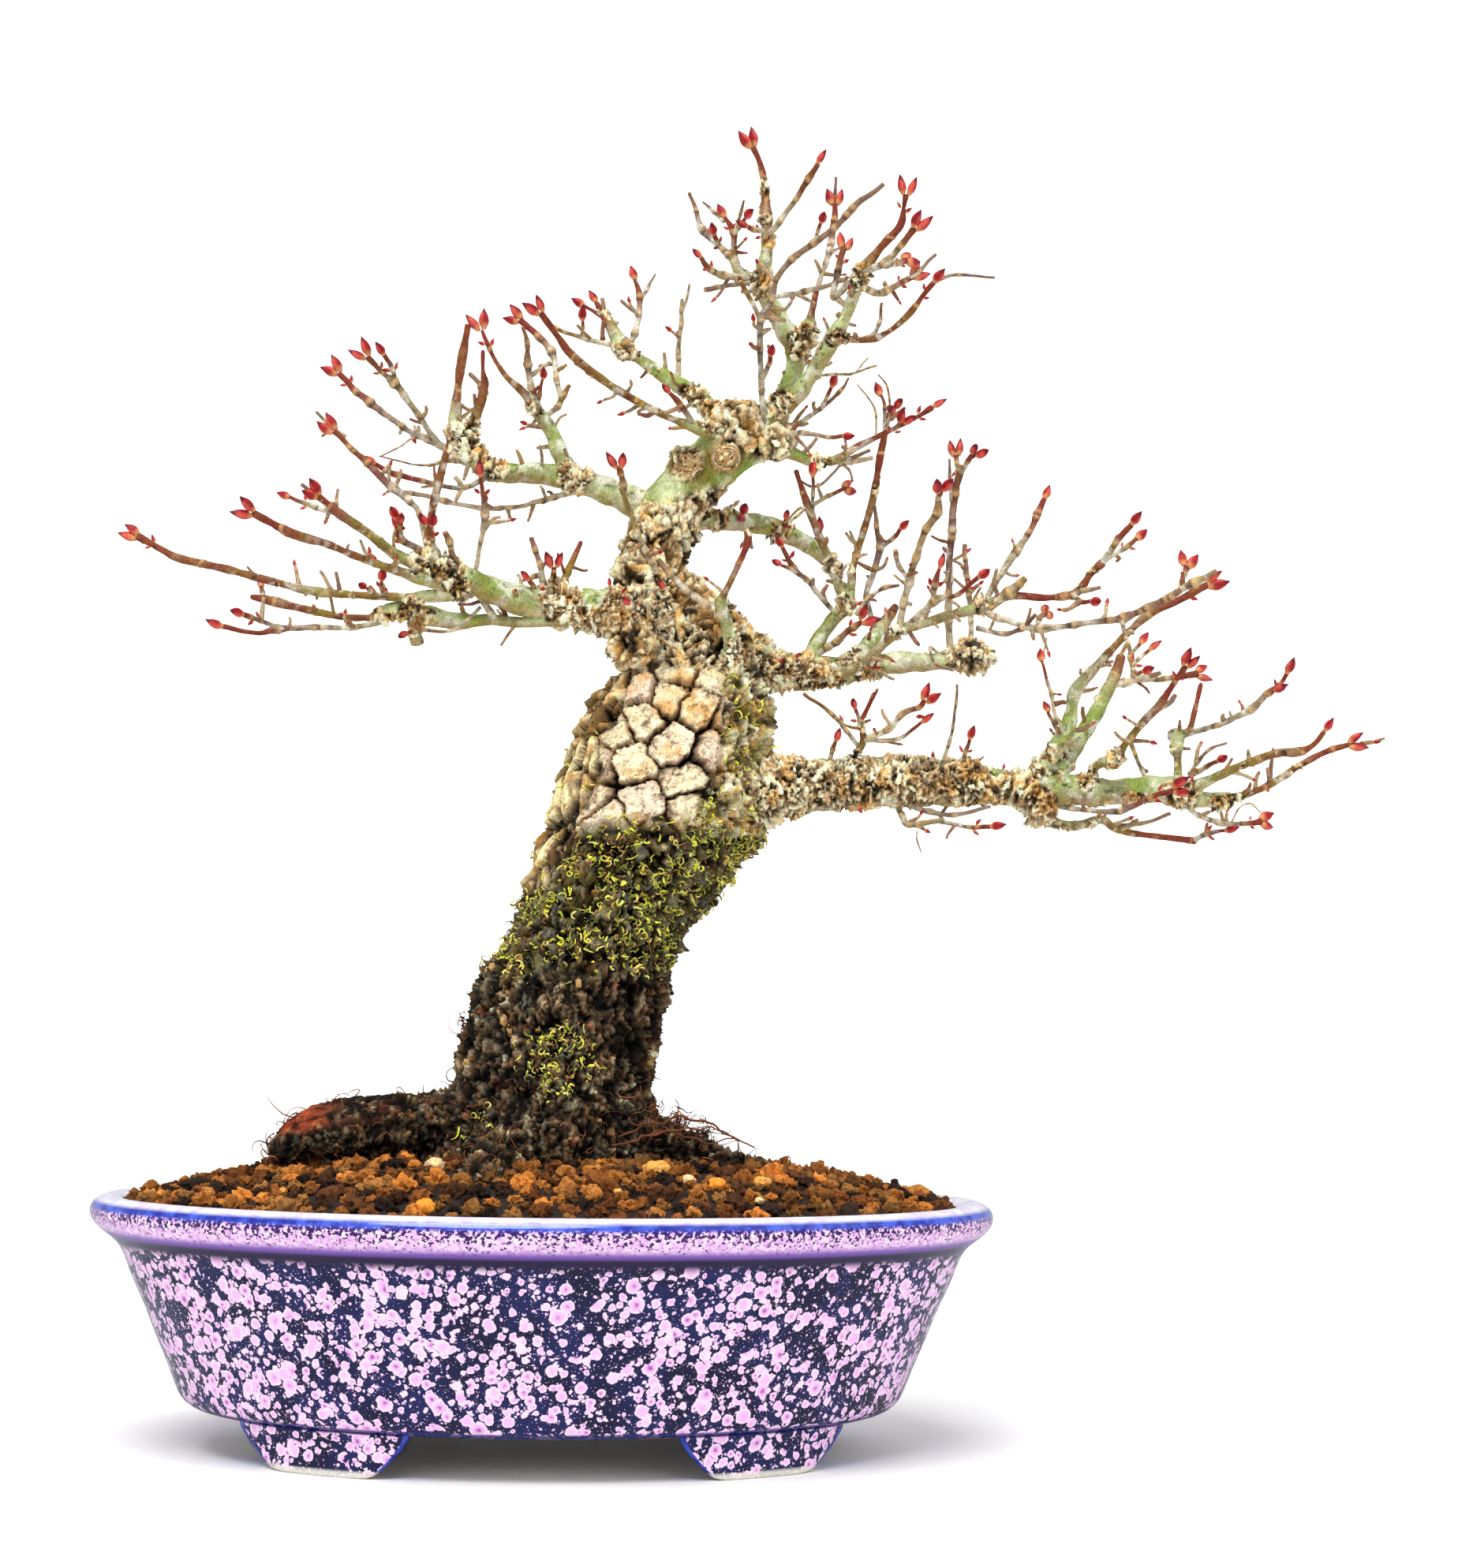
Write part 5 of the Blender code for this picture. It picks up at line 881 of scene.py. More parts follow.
# Where cork breaks through the green bark of the limbs: (x, z, reach).
CORK_SPOTS = (
    (0.5, 160, 5.2), (7, 155, 5), (14, 153.5, 5), (-22, 167.5, 5.4), (-26, 157, 3), (-17.5, 190.5, 5.2),
    (-13, 185, 3.4), (3, 184, 3.6), (19, 178, 4), (-4.6, 197, 2.2), (81, 150.5, 6.2), (51, 145, 6),
    (44, 146, 6), (60, 147, 3), (93, 121.8, 4.6), (47, 211.5, 4), (42, 199, 3.4), (38.6, 223, 3.6),
    (57, 224.8, 3.8), (26, 200.5, 3), (12.5, 209, 3), (30, 197, 4), (43, 174.4, 2.6), (54, 168, 3),
    (50, 188.5, 2.6), (55.6, 160.6, 2.6), (47, 126, 7), (57, 126, 7.4), (68, 127, 7.4), (79, 127, 6.6),
    (88, 126, 4), (103, 127.5, 2.4), (112, 123.6, 2.8), (121, 125, 4), (82, 160.8, 2.4), (66, 155.6, 2),
    (96, 133, 2.2), (108, 131.6, 2.4), (38.6, 236, 2.2), (-27.5, 156.5, 4), (14, 159, 6.5), (20, 157.5, 7),
    (42, 122, 7.5), (41, 128, 7), (36, 149, 5), (37, 155, 3),
)


def cork_share(x, z, spots):
    """How much of each point is cork, from the spots' middles and reaches."""
    share = np.zeros(len(x))
    for cx, cz, reach in spots:
        away = np.hypot(x - cx, z - cz) / reach
        share = np.maximum(share, 1 - ramp(away, 0.62, 1.12))
    return share


# ---------------------------------------------------------------- the trunk
TRUNK_LINE = np.array(TRUNK[3:], float)


def across_trunk(x, z):
    """How far a point lies to the right of the trunk's middle, in trunk radii."""
    height = TRUNK_LINE[:, 1]
    return (x - np.interp(z, height, TRUNK_LINE[:, 0])) / np.interp(z, height, TRUNK_LINE[:, 2])


# The middles of the broad bark plates: x, z.
PLATES = ((21.7, 143), (28, 140.3), (34.3, 138.8), (16.4, 137.7), (22.2, 132.9), (31.7, 131.9),
          (14.5, 129.8), (16.6, 121.6), (25.1, 126.3), (26.4, 120.6), (8, 129.2), (11.1, 135.6),
          (10.1, 118.1), (35.9, 125.5), (22.7, 147.4), (38, 133.5), (19.6, 114.5), (6.4, 121.8),
          (15.6, 144), (31.2, 146.2), (37.5, 141.9), (5, 134.5), (30, 114), (33, 119.5))
PLATE_SIZE = 7.0


def plates(x, z):
    """The bark plates: distance to the edge, the plate's own number, the offset from its middle."""
    away = np.stack([np.hypot(x - px, (z - pz) * 1.08) for px, pz in PLATES], axis=1) / PLATE_SIZE
    first = away.argmin(axis=1)
    nearest = np.sort(away, axis=1)
    middles = np.array(PLATES)[first]
    offset = np.stack([x - middles[:, 0], np.zeros(len(x)), z - middles[:, 1]], axis=1) / PLATE_SIZE
    return nearest[:, 1] - nearest[:, 0], np.mod(first * 0.381966, 1.0), offset


# Cork left on the smooth neck, and the pruning scars there: x, z, reach.
NECK_CORK = ((24.3, 187.3, 4.2), (32, 188.4, 3.5), (42, 191.6, 4.5), (18, 177, 3))
SCARS = ((24.3, 187.3, 3.9), (32.2, 188.4, 3.2))


def trunk_bark(co):
    """How far the trunk's bark stands out in mm, its colour, and how mossy it is."""
    x, z = elevation(co)
    wander = drift(co, 12.0, 5) * 3.4
    zw = z + wander
    side = across_trunk(x, z) + drift(co, 9.0, 8) * 0.16
    on_trunk = ramp(side, -1.7, -1.25)

    # Broad flat plates between deep, ragged cracks, the cracks, edges and steps darkened partly as painted
    # shade, the raised parts lifted with painted highlight.
    warp = drift3(co, 8.0, 30) * 2.2
    ragged = drift(co, 1.5, 61, 3)
    jag = drift(co, 2.6, 64, 3) * 0.7 + ragged * 0.4
    edge, own, offset = plates(x + jag, z + drift(co, 2.6, 65, 3) * 0.7 + ragged * 0.3)
    gap = 0.05 + 0.12 * ramp(drift(co, 5.0, 63), -0.3, 0.4)
    layers = drift(co, (5.0, 5.0, 2.2), 90) + own * 2
    shelf = layers * 4 - np.floor(layers * 4)
    plate_h = (own - 0.4) * 1.2 + leaning(own, offset) * 1.5
    plate_h -= (1 - ramp(edge, gap * 0.35, gap)) * 2.8
    plate_h += ramp(shelf, 0.0, 0.16) * 0.8 * (1 - shelf) + ragged * 0.45
    plate_c = mixed(PLATE, PLATE_PINK, ramp(own, 0.3, 0.8))
    plate_c = mixed(plate_c, PLATE_OCHRE, ramp(drift(co, 4.2, 66), 0.05, 0.5) * 0.8)
    # The plates' edges and the foot of each step turn brown: partly flaking bark, partly painted shade.
    plate_c = mixed(plate_c, FLAKE_AND_SHADE, (1 - ramp(edge + ragged * 0.06, gap, gap + 0.12)) * 0.7)
    plate_c = mixed(plate_c, FLAKE_AND_SHADE, (1 - ramp(shelf, 0.0, 0.14)) * 0.6)
    plate_c = mixed(plate_c, SPECK, ramp(drift(co, 1.1, 67), 0.34, 0.55) * 0.6)
    _, hair_edge, *_ = cells(co + warp + ragged[:, None] * 0.6, 4.2, 68)
    hairline = (1 - ramp(hair_edge + ragged * 0.05, 0.0, 0.06)) * ramp(drift(co, 4.0, 69), 0.0, 0.2)
    # The cracks and hairlines are near black: partly the bark's own dark, partly painted shade.
    plate_c = mixed(plate_c, CRACK_AND_SHADE, np.maximum(1 - ramp(edge, gap * 0.5, gap), hairline * 0.8))
    # Painted shade in the hollows and painted highlight on the raised parts.
    plate_c = painted_shade_and_highlight(plate_c, plate_h, -1.8, 0.0, 0.5, 1.12)

    # Upright flaky strips, grey, with painted shade in the gaps between them and in their hollows and painted
    # highlight on their ridges.
    swirl = co + warp * 0.6 + ragged[:, None] * 0.35
    _, strip_edge, strip_own, strip_offset = cells(swirl, np.array([2.8, 2.8, 9.0]), 12)
    strip_edge = strip_edge + ragged * 0.1
    strip_h = (strip_own - 0.4) * 1.7 + leaning(strip_own, strip_offset) * 2.0
    strip_h -= (1 - ramp(strip_edge, 0.0, 0.16)) * 2.0
    strip_h += ragged * 0.35
    strip_c = mixed(FLAKE_AND_SHADE, STRIP_PALE, ramp(strip_own + ragged * 0.5, 0.2, 0.7))
    strip_c = mixed(strip_c, CRACK_AND_SHADE, ramp(drift(co, (1.2, 1.2, 5.0), 15), 0.15, 0.45) * 0.7)
    strip_c = mixed(strip_c, CORK_OCHRE, ramp(drift(co, 3.2, 16), 0.05, 0.4) * 0.6)
    # The gaps between the strips are near black: partly the bark's own dark, partly painted shade.
    strip_c = mixed(strip_c, CRACK_AND_SHADE, 1 - ramp(strip_edge, 0.02, 0.17))
    strip_c = painted_shade_and_highlight(strip_c, strip_h, -1.4, 1.0)

    # Crumbling cork.
    cork_h, cork_c = corky(co, 3.2, 21)
    mossy_cork_c = mixed(cork_c, CORK_MOSSY, ramp(drift(co, 3.4, 23), -0.2, 0.45) * 0.6)
    mossy_cork_c = mixed(mossy_cork_c, CORK_DARK, ramp(drift(co, 4.6, 24), 0.0, 0.5) * 0.6)

    # Dark, furrowed bark low down, with painted shade in its furrows and hollows and painted highlight on its
    # ridges.
    furrowed = co + warp * 0.8 + ragged[:, None] * 0.5
    _, fissure, low_own, low_offset = cells(furrowed, np.array([3.0, 3.0, 8.0]), 50)
    fissure = fissure + ragged * 0.14
    crumb_h, crumb_c = corky(co, 1.7, 55)
    gaping = ramp(drift(co, 4.0, 58, 2), -0.15, 0.3)
    low_h = (low_own - 0.5) * 0.6 + leaning(low_own, low_offset) * 0.8
    low_h -= (1 - ramp(fissure, 0.0, 0.15)) * (0.2 + 0.9 * gaping)
    low_h += ragged * 0.35
    low_h += crumb_h * 0.5
    paler = ramp(low_own + ragged * 0.5 + drift(co, 3.0, 54) * 0.5, 0.2, 0.85)
    low_c = mixed(BARK_BLACK, BARK_DARK, paler)
    low_c = mixed(low_c, crumb_c, 0.1 + 0.45 * ramp(drift(co, 1.7, 56), 0.2, 0.55))
    plate = ramp(-np.hypot((x - 10) / 1.3, z - 81), -8.5, -5.5)
    worn = np.maximum(plate * 0.8, ramp(drift(co, 5.5, 57), 0.2, 0.7) * 0.5) * ramp(z, 60, 70)
    low_c = mixed(low_c, BARK_WORN, worn)
    low_c = mixed(low_c, BARK_RED, ramp(drift(co, 2.4, 59), 0.4, 0.7) * 0.6)
    # The furrows are near black: partly the bark's own dark, partly painted shade.
    low_c = mixed(low_c, CRACK_AND_SHADE, (1 - ramp(fissure, 0.02, 0.18)) * (0.3 + 0.65 * gaping))
    low_c = mixed(low_c, BARK_BLACK, ramp(drift(co, 2.6, 60, 3), 0.0, 0.3) * 0.85)
    # Painted shade in the hollows and painted highlight on the ridges.
    low_c = painted_shade_and_highlight(low_c, low_h, -0.8, 0.8, 0.1, 1.6)

    # Mossy stretch, with painted shade in the hollows of its bed.
    bed_h = cork_h * 0.9
    bed_c = mixed(mixed(low_c, cork_c, 0.2), MOSS_BED, ramp(drift(co, 2.6, 77), -0.2, 0.5) * 0.6)
    bed_c = painted_shade_and_highlight(bed_c, bed_h, -0.9, 0.9, 0.08, 0.9)

    height, colour = low_h, low_c
    moss_zone = ramp(zw, 86, 92) * (1 - ramp(zw, 114, 119))
    moss_zone *= np.maximum(ramp(side, -0.8, -0.5), 1 - ramp(zw, 103, 107))
    edge_zone = ramp(zw, 103, 107) * (1 - ramp(side, -0.86, -0.62)) * (1 - ramp(zw, 146, 149))
    plate_zone = ramp(zw, 114, 118) * (1 - ramp(zw, 146, 150)) * ramp(side, -0.86, -0.64)
    right_zone = plate_zone * ramp(side, 0.4, 0.58)
    right_zone = np.maximum(right_zone, plate_zone * (1 - ramp(zw, 115, 119)) * 0.7)
    crumble = ramp(zw, 145, 149)
    for zone, zone_h, zone_c in (
        (moss_zone, bed_h, bed_c), (plate_zone, plate_h, plate_c),
        (right_zone, cork_h, mossy_cork_c), (edge_zone, strip_h, strip_c), (crumble, cork_h, cork_c),
    ):
        height = height * (1 - zone) + zone_h * zone
        colour = mixed(colour, zone_c, zone)

    # Smooth green neck under the crown, with its pruning scars left corky.
    green_h, green_c = green_wood(co, 33)
    neck = ramp(z - (x - 24) * 0.35, 179.5, 182) * (1 - ramp(z + (x - 30) * 0.5, 190.5, 193.5))
    neck *= 1 - cork_share(x, z, NECK_CORK)
    height = height * (1 - neck) + green_h * neck
    colour = mixed(colour, green_c, neck)

    # Growth rings round the scars.
    for cx, cz, reach in SCARS:
        away = np.hypot(x - cx, (z - cz) * 1.15)
        scar = (1 - ramp(away, reach * 0.8, reach)) * (co[:, 1] < 2)
        wave = np.sin(away * 5.2 + drift(co, 2.4, 81) * 1.6)
        height = height * (1 - scar) + (wave * 0.35 + 0.35) * scar
        colour = mixed(colour, mixed(CORK_PALE, CORK_MID, ramp(wave, -0.6, 0.2)), scar * 0.9)
        colour = mixed(colour, CORK_DARK, scar * ramp(-wave, 0.6, 0.95))

    # The torn, red-brown end of the big surface root.
    torn = ramp(-x, 26, 36) * ramp(z - 0.12 * (x + 50), 57, 59.5)
    grain = drift(np.stack([co[:, 0] * 0.3, co[:, 1], co[:, 2]], axis=1), 1.3, 95)
    fresh = ramp(-x, 40, 46)
    torn_c = mixed(mixed(TORN_OLD, TORN_FRESH, fresh), TORN_DARK, ramp(grain, -0.25, 0.2) * 0.92)
    fibres = ramp(drift(co, (2.4, 1.0, 1.0), 98), 0.15, 0.4)
    torn_c = mixed(torn_c, TORN_BRIGHT, fibres * fresh * 0.8)
    patches = np.maximum(ramp(drift(co, 4.0, 97), 0.0, 0.3), fresh * 0.85)
    colour = mixed(colour, torn_c, torn * patches)
    height = height * (1 - torn * 0.6) + grain * torn * 0.5

    size = np.interp(z, (50, 60, 140, 150, 160, 180, 200), (0.8, 1.0, 1.0, 0.9, 0.62, 0.55, 0.5))
    buried = ramp(z, 46, 52)
    low_moss = ramp(-np.hypot((x - 2) / 1.1, z - 73), -9, -5)
    low_moss += ramp(-np.hypot(x + 14, z - 60), -5, -2) * 0.5
    moss = np.clip(moss_zone + right_zone * 0.45 + low_moss + edge_zone * 0.1, 0, 1)
    moss *= ramp(drift(co, 5.0, 99), -0.55, 0.1)
    inset = on_trunk * ramp(z, 60, 68) * (1 - ramp(z, 140, 150))
    inset *= 0.6 + 1.0 * moss_zone + 0.5 * ramp(side, 0.3, 0.7)
    return height * size * buried * on_trunk + height * 0.5 * (1 - on_trunk) - inset, colour, moss


def build_trunk():
    shapes = []
    for row in (TRUNK, *ROOTS):
        places, radii, *_ = eased(*stem_points(row), 2.0)
        shapes.append(lofted(places, radii, 28))
    for depth, (x, z, radius) in KNOBS:
        shapes.append(ball(in_space(x, z, depth), radius))
    co, normals, quads = melted("trunk", shapes, TRUNK_VOXEL, 3)
    height, colour, moss = trunk_bark(co)
    co = co + normals * height[:, None]
    piece(mesh_of("trunk_bark", co, quads, colours=colour), BARK_LOOK, ["trunk_with_roots"])
    return co, normals, moss


# ---------------------------------------------------------------- shoots
TWIG_PALE = tone(206, 188, 152)
TWIG_WHITE = tone(232, 226, 208)
TWIG_GREY = tone(160, 150, 128)
TWIG_BROWN = tone(124, 72, 40)
TWIG_RED = tone(132, 46, 34)
TWIG_PURPLE = tone(98, 56, 58)
TWIG_OLIVE = tone(138, 116, 42)
NODE_TAN = tone(222, 180, 120)
NODE_DARK = tone(56, 32, 22)
THICK = 1.25


def shoot_looks(tip, length, rng):
    """Base, middle and tip colours of one shoot."""
    old = mixed(TWIG_PALE, TWIG_GREY, rng.uniform(0, 1))
    middle = mixed(old, TWIG_OLIVE if rng.uniform() < 0.45 else TWIG_PURPLE, rng.uniform(0.25, 0.9))
    young = mixed(TWIG_RED, TWIG_BROWN, rng.uniform(0, 1))
    if tip == "cut":
        young = mixed(middle, TWIG_BROWN, rng.uniform(0.1, 0.8))
    if length > 45:
        middle = mixed(middle, TWIG_PURPLE, 0.5)
    return old, middle, young


def shoot(heap, row, rng):
    """One thin stem with its swollen nodes, from old bark at its base to red-brown at its tip."""
    co, radii = stem_points(row)
    places, sizes, along, marks = eased(co, radii, 0.45)
    length = along[-1]
    swell = np.zeros(len(along))
    ringed = np.zeros(len(along))
    shade = np.zeros(len(along))
    nodes = [m for m in marks[1:-1] if rng.uniform() < 0.92]
    gap = rng.uniform(3.2, 5.0)
    nodes += [m for m in np.arange(gap, length - 1, gap) if rng.uniform() < 0.25]
    for mark in nodes:
        off = along - mark
        swell += 0.34 * np.exp(-((off / 0.55) ** 2)) + 0.12 * np.exp(-(((off - 1.1) / 0.35) ** 2))
        ringed = np.maximum(ringed, np.exp(-((off / 0.6) ** 2)))
        shade = np.maximum(shade, np.exp(-(((off + 0.75) / 0.3) ** 2)))
    fine = np.maximum(0, np.sin(along * rng.uniform(3.4, 4.4))) ** 6 * 0.07
    around = 8
    radii = (sizes * 0.7 * (1 + swell + fine))[:, None] * np.ones(around)
    apart = np.tile(rng.normal(size=(around, 3)), (len(places), 1))
    dents = drift(np.repeat(places, around, axis=0) + apart, 1.1, 7, 2).reshape(-1, around)
    radii *= 1 + dents * 0.16
    bend = drift3(places, 4.0, 300) * 0.28
    bend *= ramp(along, 0.5, 4.0)[:, None]
    mesh_co, quads, tris = lofted(places + bend, radii, around)
    old, middle, young = shoot_looks(row[2], length, rng)
    share = along / length
    start = rng.uniform(0.5, 0.75)
    colour = mixed(old, middle, ramp(share, 0.15, 0.6))
    colour = mixed(colour, young, ramp(share, start - 0.15, start + 0.15))
    colour = mixed(colour, NODE_TAN, ringed * 0.6)
    colour = mixed(colour, NODE_DARK, shade * 0.75)
    colour = np.repeat(colour, around, axis=0)
    aged = np.repeat(1 - ramp(share, start - 0.2, start + 0.2), around)
    mottle = drift(mesh_co[:-2], 1.4, 11, 2)
    colour = mixed(colour, TWIG_WHITE, ramp(mottle, 0.1, 0.4) * 0.65 * aged)
    colour = mixed(colour, NODE_DARK, ramp(-mottle, 0.26, 0.5) * (0.3 + 0.4 * aged))
    ends = colour[[0, -1]] if row[2] != "cut" else np.array([colour[0], NODE_TAN])
    heap.add(mesh_co, quads, tris, np.vstack([colour, ends]))


BUD_LENGTH = 3.9
BUD_WIDTH = 0.84
# A bud's outline: how far along, how wide.
BUD_OUTLINE = ((0.0, 0.4), (0.05, 0.62), (0.1, 0.6), (0.16, 0.8), (0.3, 1.0), (0.44, 1.0),
               (0.58, 0.88), (0.7, 0.7), (0.8, 0.5), (0.9, 0.27), (0.97, 0.1), (1.0, 0.03))
BUD_TIP = tone(92, 14, 24)
BUD_RED = tone(176, 12, 28)
BUD_BRIGHT = tone(216, 38, 34)
BUD_BASE = tone(214, 142, 92)
# Pale pink painted highlight along the outer scales' keels.
BUD_KEEL_HIGHLIGHT = tone(240, 150, 120)


def bud(heap, base, way, size, rng):
    """A pointed winter bud of two outer scales over a darker inner pair."""
    way = way / np.linalg.norm(way)
    t, width = np.array(BUD_OUTLINE).T
    curl = np.cross(way, rng.normal(size=3)) * 0.25 * size
    places = base + np.outer(t * BUD_LENGTH * size, way) + np.outer(t * t, curl)
    around = 14
    turn = circle(around) + rng.uniform(0, 6)
    outer = ramp(np.cos(2 * turn), -0.25, 0.15)[None, :] * (1 - ramp(t, 0.68, 0.8))[:, None]
    keel = np.abs(np.cos(turn))[None, :] ** 6 * ramp(t, 0.1, 0.4)[:, None]
    radii = width[:, None] * BUD_WIDTH * size * (0.92 + 0.13 * outer + 0.08 * keel)
    co, quads, tris = lofted(places, radii, around)
    warm = rng.uniform(0, 1)
    red = mixed(BUD_RED, BUD_BRIGHT, warm * 0.7)
    colour = mixed(BUD_BASE, red, ramp(t, 0.08, 0.3 + 0.15 * warm))
    colour = mixed(colour, BUD_TIP, ramp(t, 0.62, 0.95))
    colour = np.repeat(colour[:, None], around, axis=1)
    colour = mixed(colour, BUD_TIP, (1 - outer) * ramp(t, 0.15, 0.3)[:, None] * 0.55)
    # Painted highlight: a pale line along each outer scale's keel.
    colour = mixed(colour, BUD_KEEL_HIGHLIGHT, keel * outer * 0.3)
    colour = colour.reshape(-1, 3)
    heap.add(co, quads, tris, np.vstack([colour, colour[[0, -1]]]))


def tip_buds(heap, row, rng):
    """The buds on a stem's end, and here and there a small pair below them."""
    co, _ = stem_points(row)
    way = co[-1] - co[-2]
    way /= np.linalg.norm(way)
    side = np.cross(way, (rng.normal() * 0.25, 1, 0))
    side /= np.linalg.norm(side)
    if row[2] == "pair":
        for lean in (0.26, -0.26):
            aim = way * math.cos(lean) + side * math.sin(lean) + rng.normal(size=3) * 0.06
            bud(heap, co[-1] + side * math.copysign(0.5, lean), aim, rng.uniform(0.9, 1.1), rng)
    elif row[2] == "bud":
        bud(heap, co[-1], way, rng.uniform(0.78, 1.0), rng)
    if row[2] != "cut" and rng.uniform() < 0.5:
        for lean in (1, -1):
            place = co[-1] - way * rng.uniform(2.5, 4.0)
            aim = way + side * lean * 0.9
            bud(heap, place + side * lean * 0.5, aim, rng.uniform(0.3, 0.45), rng)


def nearest_wood(co, lines):
    """For each point of a limb's skin: the nearest stem's radius there, and its share along."""
    best = np.full(len(co), 1e9)
    radius, share = np.zeros(len(co)), np.zeros(len(co))
    for places, radii, along in lines:
        for place, size, way in zip(places, radii, along / along[-1]):
            away = np.sqrt(((co - place) ** 2).sum(axis=1)) - size
            closer = away < best
            best[closer], radius[closer], share[closer] = away[closer], size, way
    return radius, share


def wood_skin(rows, name):
    """The thick stems of a limb melted together, with cork breaking through green bark."""
    shapes, lines = [], []
    for row in rows:
        places, radii, along, _ = eased(*stem_points(row), 0.9)
        wave = 1 + 0.05 * np.sin(along * 1.3 + len(shapes)) + 0.05 * drift(places, 4.0, 19, 2)
        wave *= 0.8 + 0.2 * ramp(radii, 1.0, 1.8)
        shapes.append(lofted(places, radii * wave * 0.97, 16))
        lines.append((places, radii, along))
    co, normals, quads = melted(name, shapes, LIMB_VOXEL, 4)
    radius, share = nearest_wood(co, lines)
    x, z = elevation(co)
    spots = list(CORK_SPOTS) + [(*row[3][:2], row[3][2] * 1.15 + 0.7) for row in rows[1:]]
    cork = cork_share(x + drift(co, 3.0, 71) * 1.6, z + drift(co, 3.0, 72) * 1.6, spots)
    cork = np.maximum(cork, ramp(drift(co, 6.5, 73), 0.42, 0.56) * 0.8)
    cork = np.maximum(cork, ramp(drift(co, 2.4, 74), 0.5, 0.65) * 0.5)
    cork_h, cork_c = corky(co, 1.9, 75)
    green_h, green_c = green_wood(co, 76)
    green_c = mixed(green_c, TWIG_GREY, ramp(drift(co, 4.0, 79), -0.05, 0.35) * 0.5)
    green_c = mixed(green_c, BLOOM, ramp(drift(co, 2.2, 87), 0.08, 0.4) * 0.6)
    green_c = mixed(green_c, CORK_DARK, ramp(drift(co, 1.0, 80), 0.38, 0.55) * 0.6)
    # Painted shade: the undersides turn darker and browner.
    green_c = mixed(green_c, CORK_MID, ramp(-normals[:, 2], 0.0, 0.8) * 0.5)
    thin = 1 - ramp(radius, 0.95, 1.5)
    tip = ramp(share, 0.45, 0.85)
    ring = ramp(np.sin(share * 17 + drift(co, 9.0, 83) * 3), 0.95, 0.995)
    shoot_c = mixed(TWIG_BROWN, TWIG_OLIVE, ramp(drift(co, 5.0, 84), -0.3, 0.4))
    shoot_c = mixed(shoot_c, TWIG_RED, tip * 0.8)
    shoot_c = mixed(shoot_c, TWIG_WHITE, ramp(drift(co, 1.5, 85), 0.1, 0.4) * 0.6 * (1 - tip))
    shoot_c = mixed(shoot_c, NODE_DARK, ramp(drift(co, 1.3, 86), 0.2, 0.5) * 0.5)
    shoot_c = mixed(shoot_c, NODE_TAN, ring * 0.5)
    green_c = mixed(green_c, shoot_c, np.maximum(thin, tip * (1 - ramp(radius, 1.2, 1.8)) * 0.9))
    height = (green_h + ring * thin * 0.15) * (1 - cork) + (cork_h * 0.62 + 0.2) * cork
    height *= ramp(radius, 0.3, 1.6) * 0.5 + 0.5
    colour = mixed(green_c, cork_c, ramp(cork, 0.25, 0.6))
    return co + normals * height[:, None], quads, colour


def spurs(heap, bud_heap, rows):
    """Short stubs and spurs along the stems, some with a small bud."""
    rng = np.random.default_rng(len(rows) * 31 + 7)
    for row in rows:
        places, radii, along, _ = eased(*stem_points(row), 0.9)
        for _ in range(int(along[-1] / 7)):
            first = len(places) // 6 + 1
            n = rng.integers(first, max(first + 1, int(len(places) * 0.62)))
            if radii[n] < 0.5:
                continue
            way = places[n] - places[n - 1]
            way /= np.linalg.norm(way)
            out = rng.normal(size=3) + (0, 0, 0.5)
            out -= way * (out @ way)
            out /= np.linalg.norm(out)
            aim = out + way * rng.uniform(0.1, 0.7)
            length = rng.uniform(1.0, 4.2)
            t = np.linspace(0, 1, 7)
            line = places[n] + out * radii[n] * 0.5 + np.outer(t * length, aim)
            line += np.outer(np.sin(t * rng.uniform(2, 5)) * 0.35, rng.normal(size=3)) * t[:, None]
            girth = rng.uniform(0.24, 0.42) * (1.25 - 0.5 * t + 0.3 * rng.uniform(size=7))
            co, quads, tris = lofted(line, girth, 7)
            colour = mixed(TWIG_PALE, CORK_MID, rng.uniform())
            colour = mixed(colour, TWIG_RED, rng.uniform() ** 2 * 0.8)
            share = 0.35 + 0.65 * rng.uniform(size=7) ** 0.5
            shades = mixed(NODE_DARK, np.repeat(colour[None], 7, axis=0), share)
            shades = np.repeat(shades, 7, axis=0)
            heap.add(co, quads, tris, np.vstack([shades, shades[[0, -1]]]))
            if rng.uniform() < 0.3:
                bud(bud_heap, line[-1], line[-1] - line[-2], rng.uniform(0.28, 0.5), rng)


def build_limb(name, rows, extra):
    rng = np.random.default_rng(sum(map(ord, name)))
    heap, bud_heap = Heap(), Heap()
    thick = [row for row in rows if max(p[2] for p in row[3:]) >= THICK]
    if thick:
        co, quads, colour = wood_skin(thick, name)
        heap.add(co, quads, NO_TRIS, colour)
    for row in [*rows, *extra]:
        if row not in thick:
            shoot(heap, row, rng)
        tip_buds(bud_heap, row, rng)
    spurs(heap, bud_heap, [*rows, *extra])
    piece(heap.mesh(f"{name}_wood"), LIMB_LOOK, [name])
    if bud_heap.count:
        piece(bud_heap.mesh(f"{name}_buds"), BUD_LOOK)


# ---------------------------------------------------------------- strands
def strand(heap, start, way, length, radius, curl, colour, rng, around=3, knots=6):
    """A thin curling thread."""
    places = [np.array(start)]
    step = length / (knots - 1)
    way = way / np.linalg.norm(way)
    turn = rng.normal(size=3) * curl
    for _ in range(knots - 1):
        way = way + np.cross(way, turn) + rng.normal(size=3) * curl * 0.3
        way /= np.linalg.norm(way)
        places.append(places[-1] + way * step)
    taper = np.linspace(1, 0.35, knots) * radius
    heap.add(*lofted(np.array(places), taper, around), colour)


